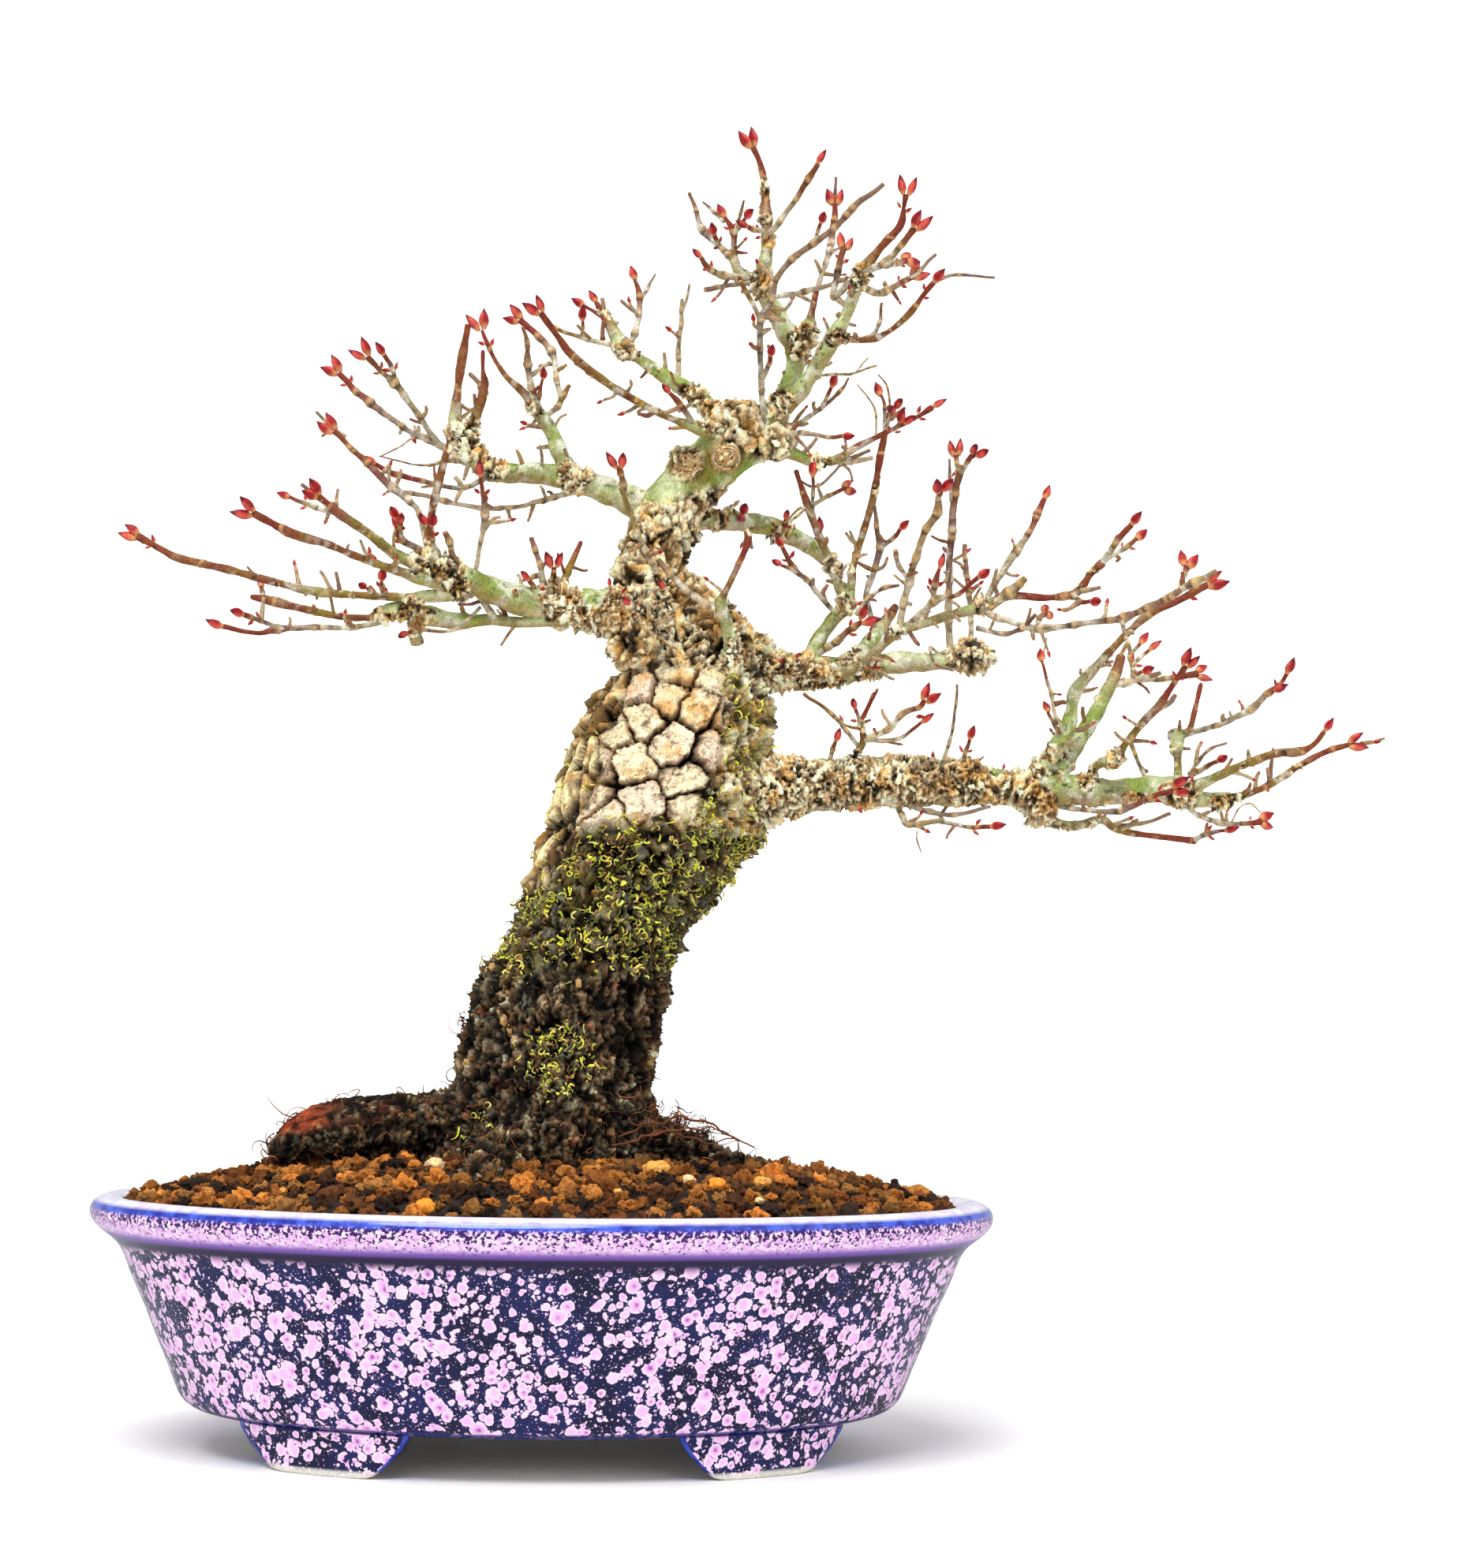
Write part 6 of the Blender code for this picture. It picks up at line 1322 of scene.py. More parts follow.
MOSS_TONES = (tone(226, 220, 40), tone(248, 226, 88), tone(170, 174, 24), tone(104, 100, 18),
              tone(242, 196, 92), tone(54, 50, 22), tone(150, 92, 42))
MOSS_ODDS = (0.22, 0.18, 0.18, 0.12, 0.1, 0.12, 0.08)


def build_moss(co, normals, moss):
    """Curled moss threads over the mossy bark."""
    heap = Heap()
    odds = moss**1.3
    odds = odds / odds.sum()
    for n in RNG.choice(len(co), MOSS_THREADS, p=odds):
        aim = normals[n] * RNG.uniform(0.0, 0.45) + RNG.normal(size=3) * 0.75
        shade = MOSS_TONES[RNG.choice(len(MOSS_TONES), p=MOSS_ODDS)] * RNG.uniform(0.5, 1.7)
        shade = np.minimum(shade, 0.92)
        length, radius = RNG.uniform(1.2, 3.2), RNG.uniform(0.16, 0.36)
        strand(heap, co[n] - normals[n] * 0.15, aim, length, radius, 0.8, shade, RNG)
    piece(heap.mesh("moss_threads"), MOSS_LOOK)


HAIR_TONES = (tone(60, 34, 24), tone(34, 24, 20), tone(128, 68, 42), tone(98, 74, 54),
              tone(168, 98, 62))
THREAD_TONE = tone(112, 66, 42)

# Tufts that stand clear of the trunk, and loose ends over the right-hand roots: x, z, count, reach.
TUFTS = ((-17.5, 79, 22, 3.6), (21, 62, 40, 7.0), (26, 60, 70, 7.0), (31, 58, 40, 6.0),
         (-2, 101, 3, 4))


def build_hair_roots(co, normals):
    """Wiry feeder roots over the trunk's foot and the soil's edge."""
    heap = Heap()
    x, z = elevation(co)
    low = ramp(-z, -74, -60) * ramp(z, 50, 54) * (np.abs(x) < 60)
    odds = low + 0.05 * ramp(-z, -90, -74) * ramp(z, 60, 70)
    for n in RNG.choice(len(co), FEEDER_ROOTS, p=odds / odds.sum()):
        aim = normals[n] * RNG.uniform(0.1, 0.6) + RNG.normal(size=3) * 0.8 + (0, 0, -0.3)
        shade = HAIR_TONES[RNG.integers(len(HAIR_TONES))]
        length, radius = RNG.uniform(3, 8.5), RNG.uniform(0.09, 0.2)
        strand(heap, co[n] - normals[n] * 0.1, aim, length, radius, 0.5, shade, RNG, knots=8)
    for cx, cz, count, spread in TUFTS:
        for _ in range(count):
            side = math.copysign(1, cx - 3)
            place = in_space(cx - side * 1.5, cz + RNG.normal() * 1.6, -4 + RNG.normal() * 3)
            aim = np.array((side, RNG.normal() * 0.5, RNG.normal() * 0.7))
            shade = HAIR_TONES[RNG.integers(len(HAIR_TONES))]
            length, radius = spread * RNG.uniform(0.5, 1.1), RNG.uniform(0.08, 0.16)
            strand(heap, place, aim, length, radius, 0.7, shade, RNG, knots=8)
    for row in ROOT_THREADS:
        places, radii, *_ = eased(*stem_points(row), 0.8)
        bend = drift3(places, 3.0, 310) * 1.3
        heap.add(*lofted(places + bend, radii * 0.5, 6), THREAD_TONE)
    piece(heap.mesh("hair_roots"), HAIR_LOOK)


# ---------------------------------------------------------------- grains
def soil_height(share):
    """The mound's surface from its middle (0) to the pot's wall (1)."""
    return SOIL_LINE + SOIL_RISE * (1 - share**2.6)


def rounded_stones(count, rough, seed):
    """A few different lumpy stones of radius 1: their points and their shared triangles."""
    import bmesh

    work = bmesh.new()
    bmesh.ops.create_icosphere(work, subdivisions=3, radius=1)
    base = np.array([v.co for v in work.verts])
    tris = np.array([[v.index for v in f.verts] for f in work.faces])
    work.free()
    stones = []
    for n in range(count):
        warped = base + n * 7.3 + drift(base + n * 4.1, 0.7, seed + 3)[:, None] * 0.25
        _, edge, own, offset = cells(warped, 0.85, seed)
        lumps = 0.2 * (own - 0.5) + 0.22 * leaning(own, offset) - 0.16 * (1 - ramp(edge, 0, 0.25))
        lumps += 0.16 * drift(base + n * 5.1, 0.8, seed + 5)
        pits = -0.1 * (1 - ramp(cells(base + n * 3.3, 0.36, seed + 9)[0], 0.2, 0.5))
        stones.append(base * (1 + (lumps + pits) * rough)[:, None])
    return stones, tris


def turned_at_random(rng):
    """A rotation matrix from a random quaternion."""
    q = rng.normal(size=4)
    q /= np.linalg.norm(q)
    w, x, y, z = q
    return np.array([
        [1 - 2 * (y * y + z * z), 2 * (x * y - z * w), 2 * (x * z + y * w)],
        [2 * (x * y + z * w), 1 - 2 * (x * x + z * z), 2 * (y * z - x * w)],
        [2 * (x * z - y * w), 2 * (y * z + x * w), 1 - 2 * (x * x + y * y)],
    ])


SOIL_TONES = (tone(150, 90, 36), tone(120, 68, 28), tone(190, 116, 46), tone(88, 52, 26),
              tone(162, 104, 46), tone(136, 92, 44), tone(46, 30, 20))


SOIL_GRID = 3
SOIL_CLOSENESS = 0.8
TRUNK_FOOT = 15


def soil_spots():
    """Places for the loose grains: close together, none on the trunk's foot."""
    limit = RIM_INNER - 1.6
    spots = []
    grid = {}
    tries = 0
    while tries < SOIL_TRIES and len(spots) < SOIL_MOST:
        tries += 1
        x, v = RNG.uniform(-limit, limit, 2)
        if math.hypot(x, v) > limit:
            continue
        y = v * ASPECT
        radius = 1.4 + 1.5 * RNG.uniform() ** 1.6
        column, row = int(x // SOIL_GRID), int(y // SOIL_GRID)
        around = [(column + i, row + j) for i in (-1, 0, 1) for j in (-1, 0, 1)]
        near = [spot for key in around for spot in grid.get(key, ())]
        if any((x - a) ** 2 + (y - b) ** 2 < (SOIL_CLOSENESS * (radius + r)) ** 2 for a, b, r in near):
            continue
        if math.hypot(x - 1, y) < TRUNK_FOOT:
            continue
        grid.setdefault((column, row), []).append((x, y, radius))
        spots.append((x, y, radius))
    return spots


def build_soil():
    stones, tris = rounded_stones(12, 1.7, 5)
    spots = soil_spots()
    heaps = [Heap() for _ in range(5)]
    for n, (x, y, radius) in enumerate(spots):
        share = math.hypot(x, y / ASPECT) / (RIM_INNER - 0.9)
        level = soil_height(min(share, 1)) - radius * 0.15 + RNG.uniform(-0.2, 0.5)
        centre = np.array((x, y, level))
        squash = RNG.uniform(0.85, 1.2), RNG.uniform(0.85, 1.2), RNG.uniform(0.75, 1.05)
        shape = stones[n % len(stones)] * squash
        co = shape @ turned_at_random(RNG).T * radius + centre
        shade = SOIL_TONES[RNG.integers(len(SOIL_TONES))] * RNG.uniform(0.45, 1.4)
        # Painted light and shade: each grain lighter on top and darker low down.
        lit = 0.12 + 1.0 * ramp((co[:, 2] - centre[2]) / radius, -0.7, 0.7)
        heaps[n % len(heaps)].add(co, NO_QUADS, tris, shade * lit[:, None])
    for n, heap in enumerate(heaps):
        piece(heap.mesh(f"soil_grains_{n + 1}", smooth=False), SOIL_LOOK)


PUMICE_TONES = (tone(246, 176, 84), tone(240, 206, 150), tone(250, 158, 52))
CAUGHT_TONE = tone(206, 160, 104)
# Loose bits of pumice: across, back, radius; and those caught in the trunk's foot: x, z, radius.
PUMICE_BITS = ((33, -38, 0.9), (37, -42, 0.8), (-47, -34, 0.7), (12, -44, 0.7), (-60, 22, 1.6),
               (30, 36, 1.6), (-10, 42, 1.4))
CAUGHT_BITS = ((-11.5, 88.5, 1.2), (-7.4, 89.5, 1.3), (-5.5, 91.5, 0.9), (-9.6, 86.5, 1.0),
               (-9, 81.5, 0.9), (-8.4, 79.5, 1.0), (-7, 78, 1.2), (-6.4, 76, 0.9), (5.6, 87, 0.8),
               (1.2, 85.6, 0.6), (-11, 90, 0.8))


def build_pumice(trunk_co):
    stones, tris = rounded_stones(6, 0.8, 31)
    rng = np.random.default_rng(8)
    for n in range(1, 7):
        low, high = (np.array(corner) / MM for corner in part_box(f"pumice_grain_{n}"))
        centre = (low + high) / 2 - (POT_MIDDLE / MM, 0, 0)
        heap = Heap()
        co = stones[n - 1] @ turned_at_random(rng).T * (high - low) * 0.52 + centre
        heap.add(co, NO_QUADS, tris, PUMICE_TONES[n % 3])
        piece(heap.mesh(f"pumice_{n}"), PUMICE_LOOK, [f"pumice_grain_{n}"])
    heap = Heap()
    for x, y, radius in PUMICE_BITS:
        share = math.hypot(x, y / ASPECT) / (RIM_INNER - 0.9)
        centre = np.array((x, y, soil_height(share) + radius * 0.5 + 0.6))
        stone = stones[rng.integers(6)] @ turned_at_random(rng).T * radius * (1.2, 1, 0.85)
        heap.add(stone + centre, NO_QUADS, tris, PUMICE_TONES[rng.integers(3)])
    ex, ez = elevation(trunk_co)
    front = np.flatnonzero(trunk_co[:, 1] < 0)
    for x, z, radius in CAUGHT_BITS:
        spot = front[np.argmin(np.hypot(ex[front] - x, ez[front] - z))]
        stone = stones[rng.integers(6)] @ turned_at_random(rng).T * radius * (0.8, 0.8, 1.2)
        heap.add(stone + trunk_co[spot], NO_QUADS, tris, CAUGHT_TONE)
    piece(heap.mesh("pumice_bits"), PUMICE_LOOK)


# ---------------------------------------------------------------- pot
def pot_profile():
    """The pot's half section, from its underside's middle over the rim to its floor's middle."""
    base, top = FOOT_HEIGHT, POT_TOP
    lip = top - LIP_HEIGHT
    outside = [
        (BODY_LENGTH - 8.0, base), (BODY_LENGTH - 2.5, base + 0.4),
        (BODY_LENGTH - 0.4, base + 1.6), (BODY_LENGTH + 0.7, base + 3.4),
        (BODY_LENGTH + 2.2, base + 7.5), (BODY_LENGTH + 4.6, base + 13.0),
        (BODY_LENGTH + 7.0, base + 19.0), (BODY_LENGTH + 9.6, base + 24.5),
        (HALF - 6.6, lip - 2.0), (HALF - 5.5, lip - 0.2), (HALF - 4.9, lip + 0.5),
        (HALF - 2.8, lip + 1.7), (HALF - 0.8, lip + 3.4), (HALF, lip + 5.3),
        (HALF - 0.25, top - 2.3), (HALF - 0.7, top - 1.3), (HALF - 1.6, top - 0.5),
        (HALF - 2.9, top - 0.05), (HALF - 4.2, top - 0.05),
    ]
    inside = [
        (RIM_INNER + 1.2, top - 0.4), (RIM_INNER + 0.3, top - 1.1), (RIM_INNER, top - 2.2),
        (RIM_INNER - 1.6, lip - 2.0), (BODY_LENGTH + 7.0 - WALL, base + 19.0),
        (BODY_LENGTH + 2.2 - WALL, base + 9.0), (BODY_LENGTH - 3.0 - WALL, base + 5.6),
        (BODY_LENGTH - 6.0 - WALL, base + 5.0),
    ]
    under = (0, base), (BODY_LENGTH * 0.5, base)
    floor = (BODY_LENGTH * 0.4, base + 5), (0, base + 5)
    line = np.array([*under, *outside, *inside, *floor])
    fine = []
    for n in range(len(line) - 1):
        run = np.linalg.norm(line[n + 1] - line[n])
        count = max(1, int(run / 0.9))
        fine.extend(line[n] + (line[n + 1] - line[n]) * k / count for k in range(count))
    fine = np.array([*fine, line[-1]])
    for _ in range(3):
        fine[2:-2] = fine[2:-2] * 0.5 + (fine[1:-3] + fine[3:-1]) * 0.25
    return fine


def pot_zones(co):
    """Rim, blue edge, lip and bare clay, as four shares for each point."""
    radius = np.hypot(co[:, 0], co[:, 1] / ASPECT)
    z = co[:, 2]
    outer = ramp(radius, RIM_INNER - 0.6, RIM_INNER + 0.4) * (z > POT_TOP - LIP_HEIGHT)
    rim = outer * ramp(z - (radius - HALF + 1.6) * 0.9, POT_TOP - 0.95, POT_TOP - 0.45)
    edge = outer * ramp(z, POT_TOP - 2.5, POT_TOP - 2.0) * (1 - rim)
    lip = outer * ramp(z, POT_TOP - LIP_HEIGHT - 0.3, POT_TOP - LIP_HEIGHT + 2.4)
    lip *= (1 - edge) * (1 - rim)
    bare = 1 - ramp(z, 0.9, 1.2)
    under = (z < FOOT_HEIGHT + 0.12) * (z > FOOT_HEIGHT - 0.1) * (radius < BODY_LENGTH - 9)
    return np.stack([rim, edge, lip, np.clip(bare + under, 0, 1)], axis=1)


def build_pot():
    profile = pot_profile()
    around = POT_SIDES
    turn = circle(around)
    rings = profile[1:-1]
    co = np.stack([
        rings[:, 0, None] * np.cos(turn), rings[:, 0, None] * np.sin(turn) * ASPECT,
        np.repeat(rings[:, 1, None], around, axis=1),
    ], axis=-1).reshape(-1, 3)
    co = np.vstack([co, [(0, 0, profile[0, 1]), (0, 0, profile[-1, 1])]])
    quads, tris = ring_faces(len(rings), around)
    shell = placed("pot_shell", mesh_of("pot_shell", co, quads, tris))
    drills = Heap()
    for side in (-1, 1):
        levels = np.linspace(FOOT_HEIGHT - 8, FOOT_HEIGHT + 12, 5)
        line = np.array([(side * DRAIN_SPREAD / 2, 0, z) for z in levels])
        drills.add(*lofted(line, np.full(5, DRAIN_HOLE / 2), 48), (0, 0, 0))
    drill = placed("drill", drills.mesh("drill"))
    cut = shell.modifiers.new("drain_holes", "BOOLEAN")
    cut.operation = "DIFFERENCE"
    cut.solver = "EXACT"
    cut.object = drill
    bpy.context.view_layer.update()
    done = shell.evaluated_get(bpy.context.evaluated_depsgraph_get())
    mesh = bpy.data.meshes.new_from_object(done)
    for spare in (shell, drill):
        bpy.data.objects.remove(spare)
    mesh.name = "pot_body"
    for name in [a.name for a in mesh.color_attributes]:
        mesh.color_attributes.remove(mesh.color_attributes[name])
    zones = mesh.color_attributes.new(TINT, "FLOAT_COLOR", "POINT")
    zones.data.foreach_set("color", pot_zones(points_of(mesh)).astype(np.float32).ravel())
    mesh.polygons.foreach_set("use_smooth", [True] * len(mesh.polygons))
    mesh.update()
    piece(mesh, GLAZE_LOOK, ["pot"])


def cloud_foot(middle, side):
    """One foot: stacked level outlines, wide under the wall and drawn in to the sole."""
    levels = np.concatenate([[0, 0.15, 0.5, 1.0], np.linspace(1.5, FOOT_HEIGHT + 0.6, 16)])
    around = FOOT_SIDES
    turn = circle(around)
    squared = np.sign(np.cos(turn)) * np.abs(np.cos(turn)) ** 0.28
    deep = np.sign(np.sin(turn)) * np.abs(np.sin(turn)) ** 0.4
    inner = BODY_LENGTH - 12.0
    rings = []
    for z in levels:
        share = min(z / FOOT_HEIGHT, 1)
        half = FOOT_SOLE_HALF + (FOOT_TOP_HALF - FOOT_SOLE_HALF) * (1 - (1 - share) ** FOOT_BELLY)
        half -= 0.6 * max(0.0, 1 - z / 0.6)
        outer = BODY_LENGTH - 3.2 + 0.9 * ramp(z, FOOT_HEIGHT - 2.4, FOOT_HEIGHT)
        outer -= 0.8 * max(0.0, 1 - z / 0.7)
        centre, reach = (outer + inner) / 2, (outer - inner) / 2
        x = middle + squared * half
        radius = centre + deep * reach
        y = side * ASPECT * np.sqrt(np.maximum(radius**2 - x**2, 0))
        rings.append(np.stack([x, y, np.full(around, z)], axis=1))
    co = np.vstack([*rings, [rings[0].mean(axis=0), rings[-1].mean(axis=0)]])
    quads, tris = ring_faces(len(levels), around)
    if side < 0:
        quads, tris = quads[:, ::-1], tris[:, ::-1]
    zones = pot_zones(co)
    flank = np.abs(np.concatenate([np.tile(squared, len(levels)), [0, 0]]))
    zones[:, 1] = ramp(flank, 0.91, 0.95) * 0.85 * (co[:, 2] > 0.9)
    return co, quads, tris, zones


def build_feet():
    for tag, side in (("front", -1), ("back", 1)):
        for hand, middle in (("left", -FOOT_SPREAD / 2), ("right", FOOT_SPREAD / 2)):
            co, quads, tris, zones = cloud_foot(middle, side)
            piece(mesh_of(f"foot_{tag}_{hand}", co, quads, tris, zones), GLAZE_LOOK)


# ---------------------------------------------------------------- materials
SOCKETS = {
    "colour": "Base Color", "rough": "Roughness", "normal": "Normal", "coat": "Coat Weight",
    "coat_rough": "Coat Roughness", "metal": "Metallic", "sheen": "Sheen Weight",
    "specular": "Specular IOR Level",
}


class Look:
    """A node material built up a node at a time."""

    def __init__(self, name):
        self.material = bpy.data.materials.new(name)
        self.material.use_nodes = True
        self.tree = self.material.node_tree
        self.shader = self.tree.nodes["Principled BSDF"]

    def node(self, kind, links=None, outlet=0, **settings):
        made = self.tree.nodes.new(kind)
        for key, value in settings.items():
            setattr(made, key, value)
        for key, value in (links or {}).items():
            socket = made.inputs[key]
            if isinstance(value, bpy.types.NodeSocket):
                self.tree.links.new(value, socket)
            else:
                socket.default_value = value
        return made.outputs[outlet]

    def place(self, scale=(1, 1, 1)):
        """Object coordinates in millimetres."""
        co = self.node("ShaderNodeTexCoord", outlet="Object")
        return self.node("ShaderNodeMapping", {"Vector": co, "Scale": [s / MM for s in scale]})

    def math(self, operation, a, b):
        return self.node("ShaderNodeMath", {0: a, 1: b}, operation=operation)

    def times(self, colour, light):
        return self.node("ShaderNodeVectorMath", {0: colour, 1: light}, operation="MULTIPLY")

    def steps(self, value, low, high, to_low=0.0, to_high=1.0):
        return self.node("ShaderNodeMapRange", {
            "Value": value, "From Min": low, "From Max": high, "To Min": to_low, "To Max": to_high,
        }, interpolation_type="SMOOTHSTEP")

    def mix(self, share, a, b):
        made = self.tree.nodes.new("ShaderNodeMix")
        made.data_type = "RGBA"
        for socket, value in ((made.inputs[0], share), (made.inputs[6], a), (made.inputs[7], b)):
            if isinstance(value, bpy.types.NodeSocket):
                self.tree.links.new(value, socket)
            elif socket.type == "RGBA":
                socket.default_value = (*value, 1.0)[:4]
            else:
                socket.default_value = value
        return made.outputs[2]

    def noise(self, co, scale, detail=4.0, rough=0.55, outlet=0):
        links = {"Vector": co, "Scale": scale, "Detail": detail, "Roughness": rough}
        return self.node("ShaderNodeTexNoise", links, outlet=outlet)

    def voronoi(self, co, scale):
        return self.node("ShaderNodeTexVoronoi", {"Vector": co, "Scale": scale}, outlet="Distance")

    def bump(self, height, strength, distance):
        links = {"Height": height, "Strength": strength, "Distance": distance * MM}
        return self.node("ShaderNodeBump", links)

    def tint(self, outlet="Color"):
        return self.node("ShaderNodeAttribute", outlet=outlet, attribute_name=TINT)

    def finish(self, **links):
        for key, value in links.items():
            socket = self.shader.inputs[SOCKETS[key]]
            if isinstance(value, bpy.types.NodeSocket):
                self.tree.links.new(value, socket)
            else:
                socket.default_value = value
        return self.material


def tinted_look(name, grain, contrast, speck, rough, relief, **more):
    """Point colours broken up by fine grain, with dark specks and a matching relief."""
    look = Look(name)
    co = look.place()
    fine = look.noise(co, grain, 5.0, 0.65)
    coarse = look.noise(co, grain * 0.3, 3.0)
    light = look.steps(fine, 0.3, 0.7, 1 - contrast, 1 + contrast)
    colour = look.times(look.tint(), light)
    light = look.steps(coarse, 0.3, 0.7, 1 - contrast * 0.5, 1 + contrast * 0.5)
    colour = look.times(colour, light)
    if speck:
        spots = look.steps(look.voronoi(co, grain * 0.75), 0.1, 0.2, 1 - speck, 1.0)
        chosen = look.steps(look.noise(co, grain * 0.4, 1.0), 0.5, 0.56)
        colour = look.mix(chosen, colour, look.times(colour, spots))
    shine = look.steps(fine, 0.3, 0.7, rough - 0.08, min(rough + 0.08, 1.0))
    return look.finish(colour=colour, rough=shine, normal=look.bump(fine, relief, 0.3), **more)


def glaze_look():
    """Navy glaze crowded with pink-lilac crystals of many sizes, a mottled lip and a pale rim, the rim lifted
    with painted highlight and the groove under the lip in painted shade.
    """
    look = Look("crystal_glaze")
    flat = look.place()
    height = look.node("ShaderNodeSeparateXYZ", {0: flat}, outlet=2)
    wobble = look.noise(flat, 0.9, 3.0, 0.6, outlet="Color")
    links = {0: wobble, 1: (0.9, 0.9, 0.9), 2: flat}
    co = look.node("ShaderNodeVectorMath", links, operation="MULTIPLY_ADD")
    cloud = look.steps(look.noise(flat, 0.12), 0.35, 0.65)
    colour = look.mix(cloud, tone(12, 14, 50), tone(24, 30, 84))
    crowd = look.noise(flat, 0.13, 2.0)
    covered = 0.0
    # Each layer: cell size in mm, smallest and largest spot in cells, share of cells kept, swing.
    for size, small, large, kept, swing in (
        (0.36, 0.12, 0.3, 0.5, 0.4), (0.8, 0.18, 0.42, 0.42, 0.8),
        (1.7, 0.3, 0.5, 0.68, 2.4), (2.6, 0.32, 0.5, 0.64, 3.0), (3.3, 0.3, 0.5, 0.6, 3.0),
    ):
        links = {0: co, 1: (size * 37, size * 11, 5)}
        shifted = look.node("ShaderNodeVectorMath", links, operation="ADD")
        cell = look.node("ShaderNodeTexVoronoi", {"Vector": shifted, "Scale": 1 / size}).node
        pick = look.node("ShaderNodeSeparateColor", {0: cell.outputs["Color"]}).node
        radius = look.steps(pick.outputs[0], 0, 1, small, large)
        swung = look.math("MULTIPLY", look.math("SUBTRACT", crowd, 0.5), swing)
        keep = look.math("ADD", swung, kept)
        present = look.steps(look.math("SUBTRACT", keep, pick.outputs[1]), -0.01, 0.01)
        reach = look.math("DIVIDE", cell.outputs["Distance"], radius)
        inside = look.math("MULTIPLY", look.steps(reach, 1.02, 0.92), present)
        pink = look.mix(look.steps(reach, 0.55, 0.95), tone(240, 186, 236), tone(254, 224, 250))
        streaky = look.steps(pick.outputs[2], 0.15, 0.3)
        streak = look.math("MULTIPLY", look.steps(reach, 0.5, 0.1), streaky)
        pink = look.mix(streak, pink, tone(170, 86, 178))
        colour = look.mix(inside, colour, pink)
        covered = inside if covered == 0.0 else look.math("MAXIMUM", covered, inside)
    # A bare navy line runs round the foot of the wall.
    line = look.math("MULTIPLY", look.steps(height, FOOT_HEIGHT + 0.2, FOOT_HEIGHT + 0.5),
                     look.steps(height, FOOT_HEIGHT + 1.5, FOOT_HEIGHT + 1.1))
    colour = look.mix(look.math("MULTIPLY", line, 0.9), colour, tone(26, 32, 104))
    parts = look.node("ShaderNodeSeparateColor", {0: look.tint()}).node
    rim, edge, lip = parts.outputs
    bare = look.tint("Alpha")
    # The lip: lilac, flecked with navy near its top, purple and then dark in the groove below, the dark there
    # painted shade.
    lip_foot = POT_TOP - LIP_HEIGHT
    mottle = look.noise(flat, 0.9, 4.0, 0.7)
    lilac = look.mix(look.steps(mottle, 0.4, 0.6), tone(222, 168, 226), tone(250, 220, 250))
    fewer_low = look.steps(height, lip_foot + 2.4, lip_foot + 6.0, -0.1, 0.04)
    flecks = look.math("ADD", look.noise(flat, 1.5, 3.0, 0.6), fewer_low)
    lilac = look.mix(look.steps(flecks, 0.5, 0.54), lilac, tone(50, 24, 84))
    lilac = look.mix(look.steps(height, lip_foot + 3.2, lip_foot + 1.6), lilac, tone(118, 78, 170))
    # Painted shade in the groove under the lip.
    lilac = look.mix(look.steps(height, lip_foot + 1.7, lip_foot + 0.8), lilac, tone(30, 18, 58))
    colour = look.mix(look.steps(height, lip_foot - 1.6, lip_foot + 0.2), colour, lilac)
    cloud = look.steps(look.noise(flat, 0.3), 0.4, 0.62)
    blue = look.mix(cloud, tone(30, 44, 150), tone(66, 92, 204))
    colour = look.mix(look.steps(edge, 0.1, 0.6), colour, blue)
    # The rim top is pale: the glaze's own pale colour lifted with painted highlight.
    cloud = look.steps(look.noise(flat, 0.35, 5.0), 0.42, 0.62)
    pale = look.mix(cloud, tone(240, 238, 246), tone(216, 204, 230))
    colour = look.mix(rim, colour, pale)
    grit = look.steps(look.noise(flat, 2.0), 0.4, 0.6)
    clay = look.mix(grit, tone(244, 242, 234), tone(226, 220, 206))
    colour = look.mix(bare, colour, clay)
    dull = look.math("MULTIPLY", covered, 0.08)
    rough = look.math("ADD", look.steps(bare, 0, 1, 0.1, 0.85), dull)
    relief = look.math("ADD", look.math("MULTIPLY", covered, 0.4), look.noise(flat, 0.25))
    normal = look.bump(relief, 0.25, 0.12)
    return look.finish(colour=colour, rough=rough, normal=normal, coat=0.2, coat_rough=0.05)


def stone_look(name, grain, rough):
    look = Look(name)
    co = look.place()
    fine = look.noise(co, grain, 6.0, 0.7)
    # The pits are darkened as painted shade, as well as pressed in by the bump.
    pits = look.steps(look.voronoi(co, grain * 0.8), 0.08, 0.3, 0.45, 1.0)
    light = look.math("MULTIPLY", look.steps(fine, 0.3, 0.7, 0.6, 1.4), pits)
    colour = look.times(look.tint(), light)
    height = look.math("MULTIPLY", fine, pits)
    normal = look.bump(height, 0.8, 0.4)
    return look.finish(colour=colour, rough=rough, normal=normal, specular=0.25)


def plain_look(name, dark, light, grain, rough, metal=0.0):
    look = Look(name)
    co = look.place()
    share = look.steps(look.noise(co, grain, 5.0, 0.6), 0.35, 0.65)
    colour = look.mix(share, dark, light)
    shine = look.steps(share, 0, 1, rough * 0.85, min(rough * 1.1, 1.0))
    return look.finish(colour=colour, rough=shine, normal=look.bump(share, 0.4, 0.2), metal=metal)


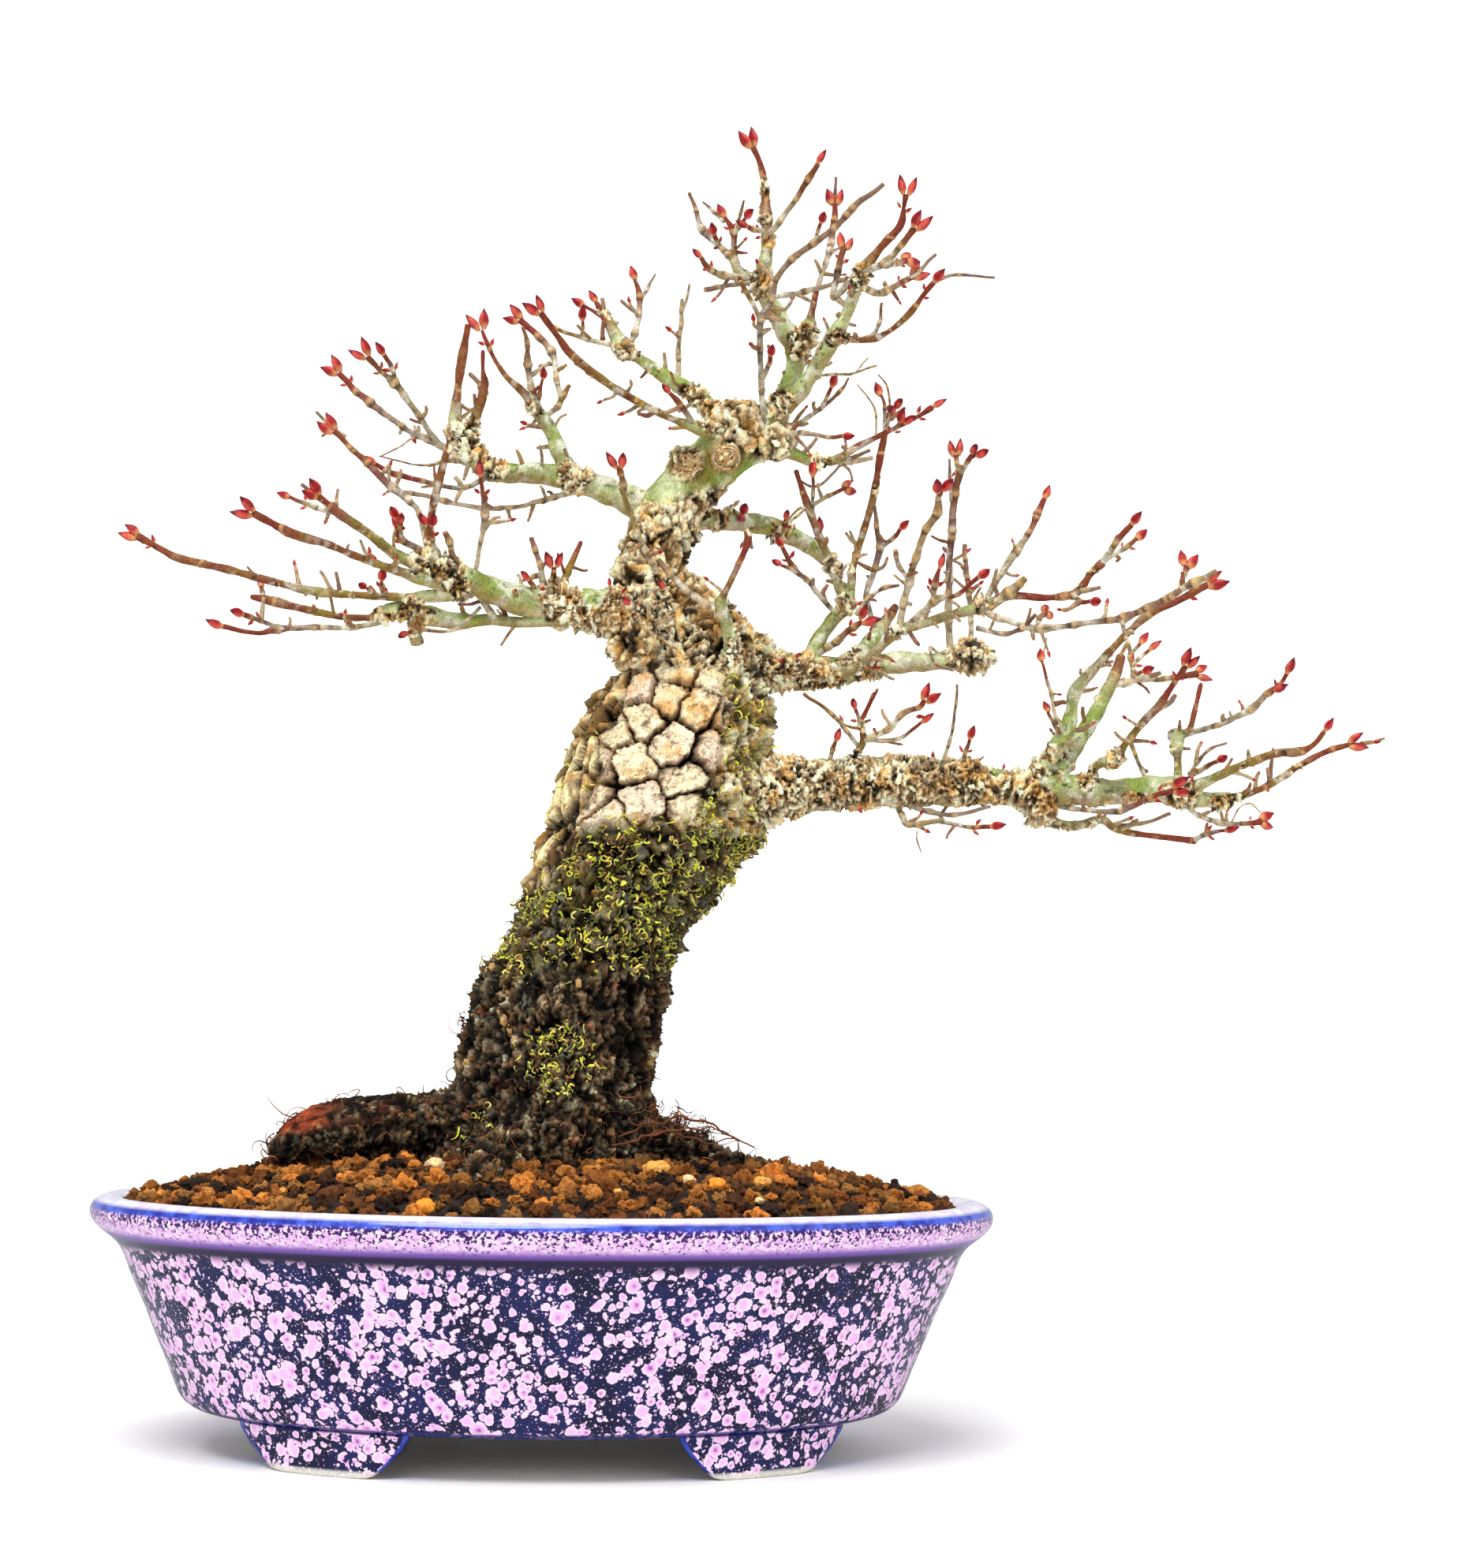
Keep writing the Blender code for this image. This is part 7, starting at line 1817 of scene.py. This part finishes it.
GLAZE_LOOK = glaze_look()
BARK_LOOK = tinted_look("rough_bark", 2.6, 0.34, 0.0, 0.85, 1.0, specular=0.15)
LIMB_LOOK = tinted_look("young_bark", 3.2, 0.32, 0.6, 0.66, 0.6, specular=0.22)
BUD_LOOK = tinted_look("winter_bud", 2.2, 0.16, 0.0, 0.45, 0.2, specular=0.3)
MOSS_LOOK = tinted_look("moss", 2.0, 0.3, 0.0, 0.75, 0.3, sheen=0.3)
HAIR_LOOK = tinted_look("hair_root", 1.6, 0.3, 0.0, 0.8, 0.3, specular=0.2)
SOIL_LOOK = stone_look("baked_clay", 1.5, 0.95)
PUMICE_LOOK = stone_look("pumice_stone", 1.3, 0.8)
# The soil bed is near black: the soil's own dark brown, deepened as painted shade for the gaps between the
# grains.
BED_GAP_SHADE_LOOK = plain_look("soil_base_gap_shade", tone(18, 11, 8), tone(44, 27, 18), 0.7, 0.95)
NETTING_LOOK = plain_look("netting", tone(20, 22, 20), tone(40, 42, 40), 1.2, 0.6)
WIRE_LOOK = plain_look("clip_wire", tone(120, 90, 66), tone(166, 128, 98), 1.5, 0.4, metal=0.9)

# ---------------------------------------------------------------- building
LIMBS = settled(LIMBS)
MORE = settled({**LIMBS, **{name: (*LIMBS[name], *rows) for name, rows in MORE.items()}})
trunk_co, trunk_normals, trunk_moss = build_trunk()
for limb, rows in LIMBS.items():
    build_limb(limb, rows, MORE[limb][len(rows):])
build_moss(trunk_co, trunk_normals, trunk_moss)
build_hair_roots(trunk_co, trunk_normals)
build_pot()
build_feet()
build_soil()
build_pumice(trunk_co)
nodes = frame["nodes"]
for name, look in (
    ("soil_bed", BED_GAP_SHADE_LOOK),
    ("drainage_mesh_left", NETTING_LOOK), ("drainage_mesh_right", NETTING_LOOK),
    ("mesh_clip_left", WIRE_LOOK), ("mesh_clip_right", WIRE_LOOK),
):
    nodes[name].data.materials.clear()
    nodes[name].data.materials.append(look)


# ---------------------------------------------------------------- stage, light and camera
def build_stage():
    """A pale floor that curves up into a wall all round, far from the pot."""
    profile = [(0.0, 0.0), (0.4, 0.0), (1.0, 0.0), (2.0, 0.0)]
    bend = np.linspace(0.1, 1.57, 14)
    profile += [(2.0 + 0.8 * math.sin(a), 0.8 - 0.8 * math.cos(a)) for a in bend]
    profile += [(2.8, 1.2), (2.8, 1.6)]
    around = 96
    turn = circle(around)
    rings = [[(r * math.cos(t), r * math.sin(t), z) for t in turn] for r, z in profile[1:]]
    rings = np.array(rings)
    co = np.vstack([rings.reshape(-1, 3), [(0, 0, 0)]]) / MM
    here, after = np.arange(around), (np.arange(around) + 1) % around
    rows = np.arange(len(rings) - 1)[:, None] * around
    corners = [rows + here, rows + here + around, rows + after + around, rows + after]
    quads = np.stack(corners, axis=-1).reshape(-1, 4)
    tris = np.stack([np.full(around, len(co) - 1), here, after], axis=1)
    made = placed("floor", mesh_of("floor", co, quads, tris))
    look = Look("floor_paper")
    cloud = look.steps(look.noise(look.place(), 0.02, 5.0), 0.3, 0.7)
    shade = look.mix(cloud, (0.87, 0.87, 0.86), (0.9, 0.9, 0.895))
    glossy = look.node("ShaderNodeLightPath", outlet="Is Glossy Ray")
    shade = look.mix(glossy, shade, (0.3, 0.31, 0.34))
    made.data.materials.append(look.finish(colour=shade, rough=0.7, specular=0.2))


def sun(name, azimuth, height, strength, softness):
    """A soft light from an azimuth (0 in front, positive to the right) and a height, in degrees."""
    lamp = bpy.data.lights.new(name, "SUN")
    lamp.energy = strength
    lamp.angle = math.radians(softness)
    made = placed(name, lamp)
    a, h = math.radians(azimuth), math.radians(height)
    towards = Vector((math.sin(a) * math.cos(h), -math.cos(a) * math.cos(h), math.sin(h)))
    made.rotation_euler = towards.to_track_quat("Z", "Y").to_euler()


def build_world():
    world = bpy.data.worlds.new("studio")
    bpy.context.scene.world = world
    world.use_nodes = True
    nodes, links = world.node_tree.nodes, world.node_tree.links
    glow = nodes["Background"]
    glow.inputs["Color"].default_value = (0.965, 0.98, 1.0, 1.0)
    path = nodes.new("ShaderNodeLightPath")
    level = nodes.new("ShaderNodeMapRange")
    level.inputs["To Min"].default_value = 0.68
    level.inputs["To Max"].default_value = 0.3
    links.new(path.outputs["Is Glossy Ray"], level.inputs["Value"])
    links.new(level.outputs["Result"], glow.inputs["Strength"])


YAW, PITCH, ROLL = (math.radians(a) for a in (4.018, 4.012, 0.817))
LENS = 72.39


def build_camera():
    lens = bpy.data.cameras.new("camera")
    lens.lens = LENS
    lens.sensor_width = 36.0
    lens.clip_start = 0.01
    level = math.cos(PITCH)
    ahead = Vector((math.sin(YAW) * level, math.cos(YAW) * level, math.sin(PITCH)))
    right = Vector((math.cos(YAW), -math.sin(YAW), 0))
    up = right.cross(ahead)
    right = right * math.cos(ROLL) + up * math.sin(ROLL)
    up = right.cross(ahead)
    made = placed("camera", lens)
    made.matrix_world = Matrix((
        (right.x, up.x, -ahead.x, POT_MIDDLE + VIEW_SIDE * MM),
        (right.y, up.y, -ahead.y, -VIEW_DISTANCE * MM),
        (right.z, up.z, -ahead.z, VIEW_HEIGHT * MM),
        (0, 0, 0, 1),
    ))
    bpy.context.scene.camera = made


build_stage()
build_world()
sun("key", azimuth=-18, height=60, strength=2.8, softness=34)
sun("fill", azimuth=62, height=38, strength=0.4, softness=50)
build_camera()
bpy.context.scene.view_settings.view_transform = "Standard"
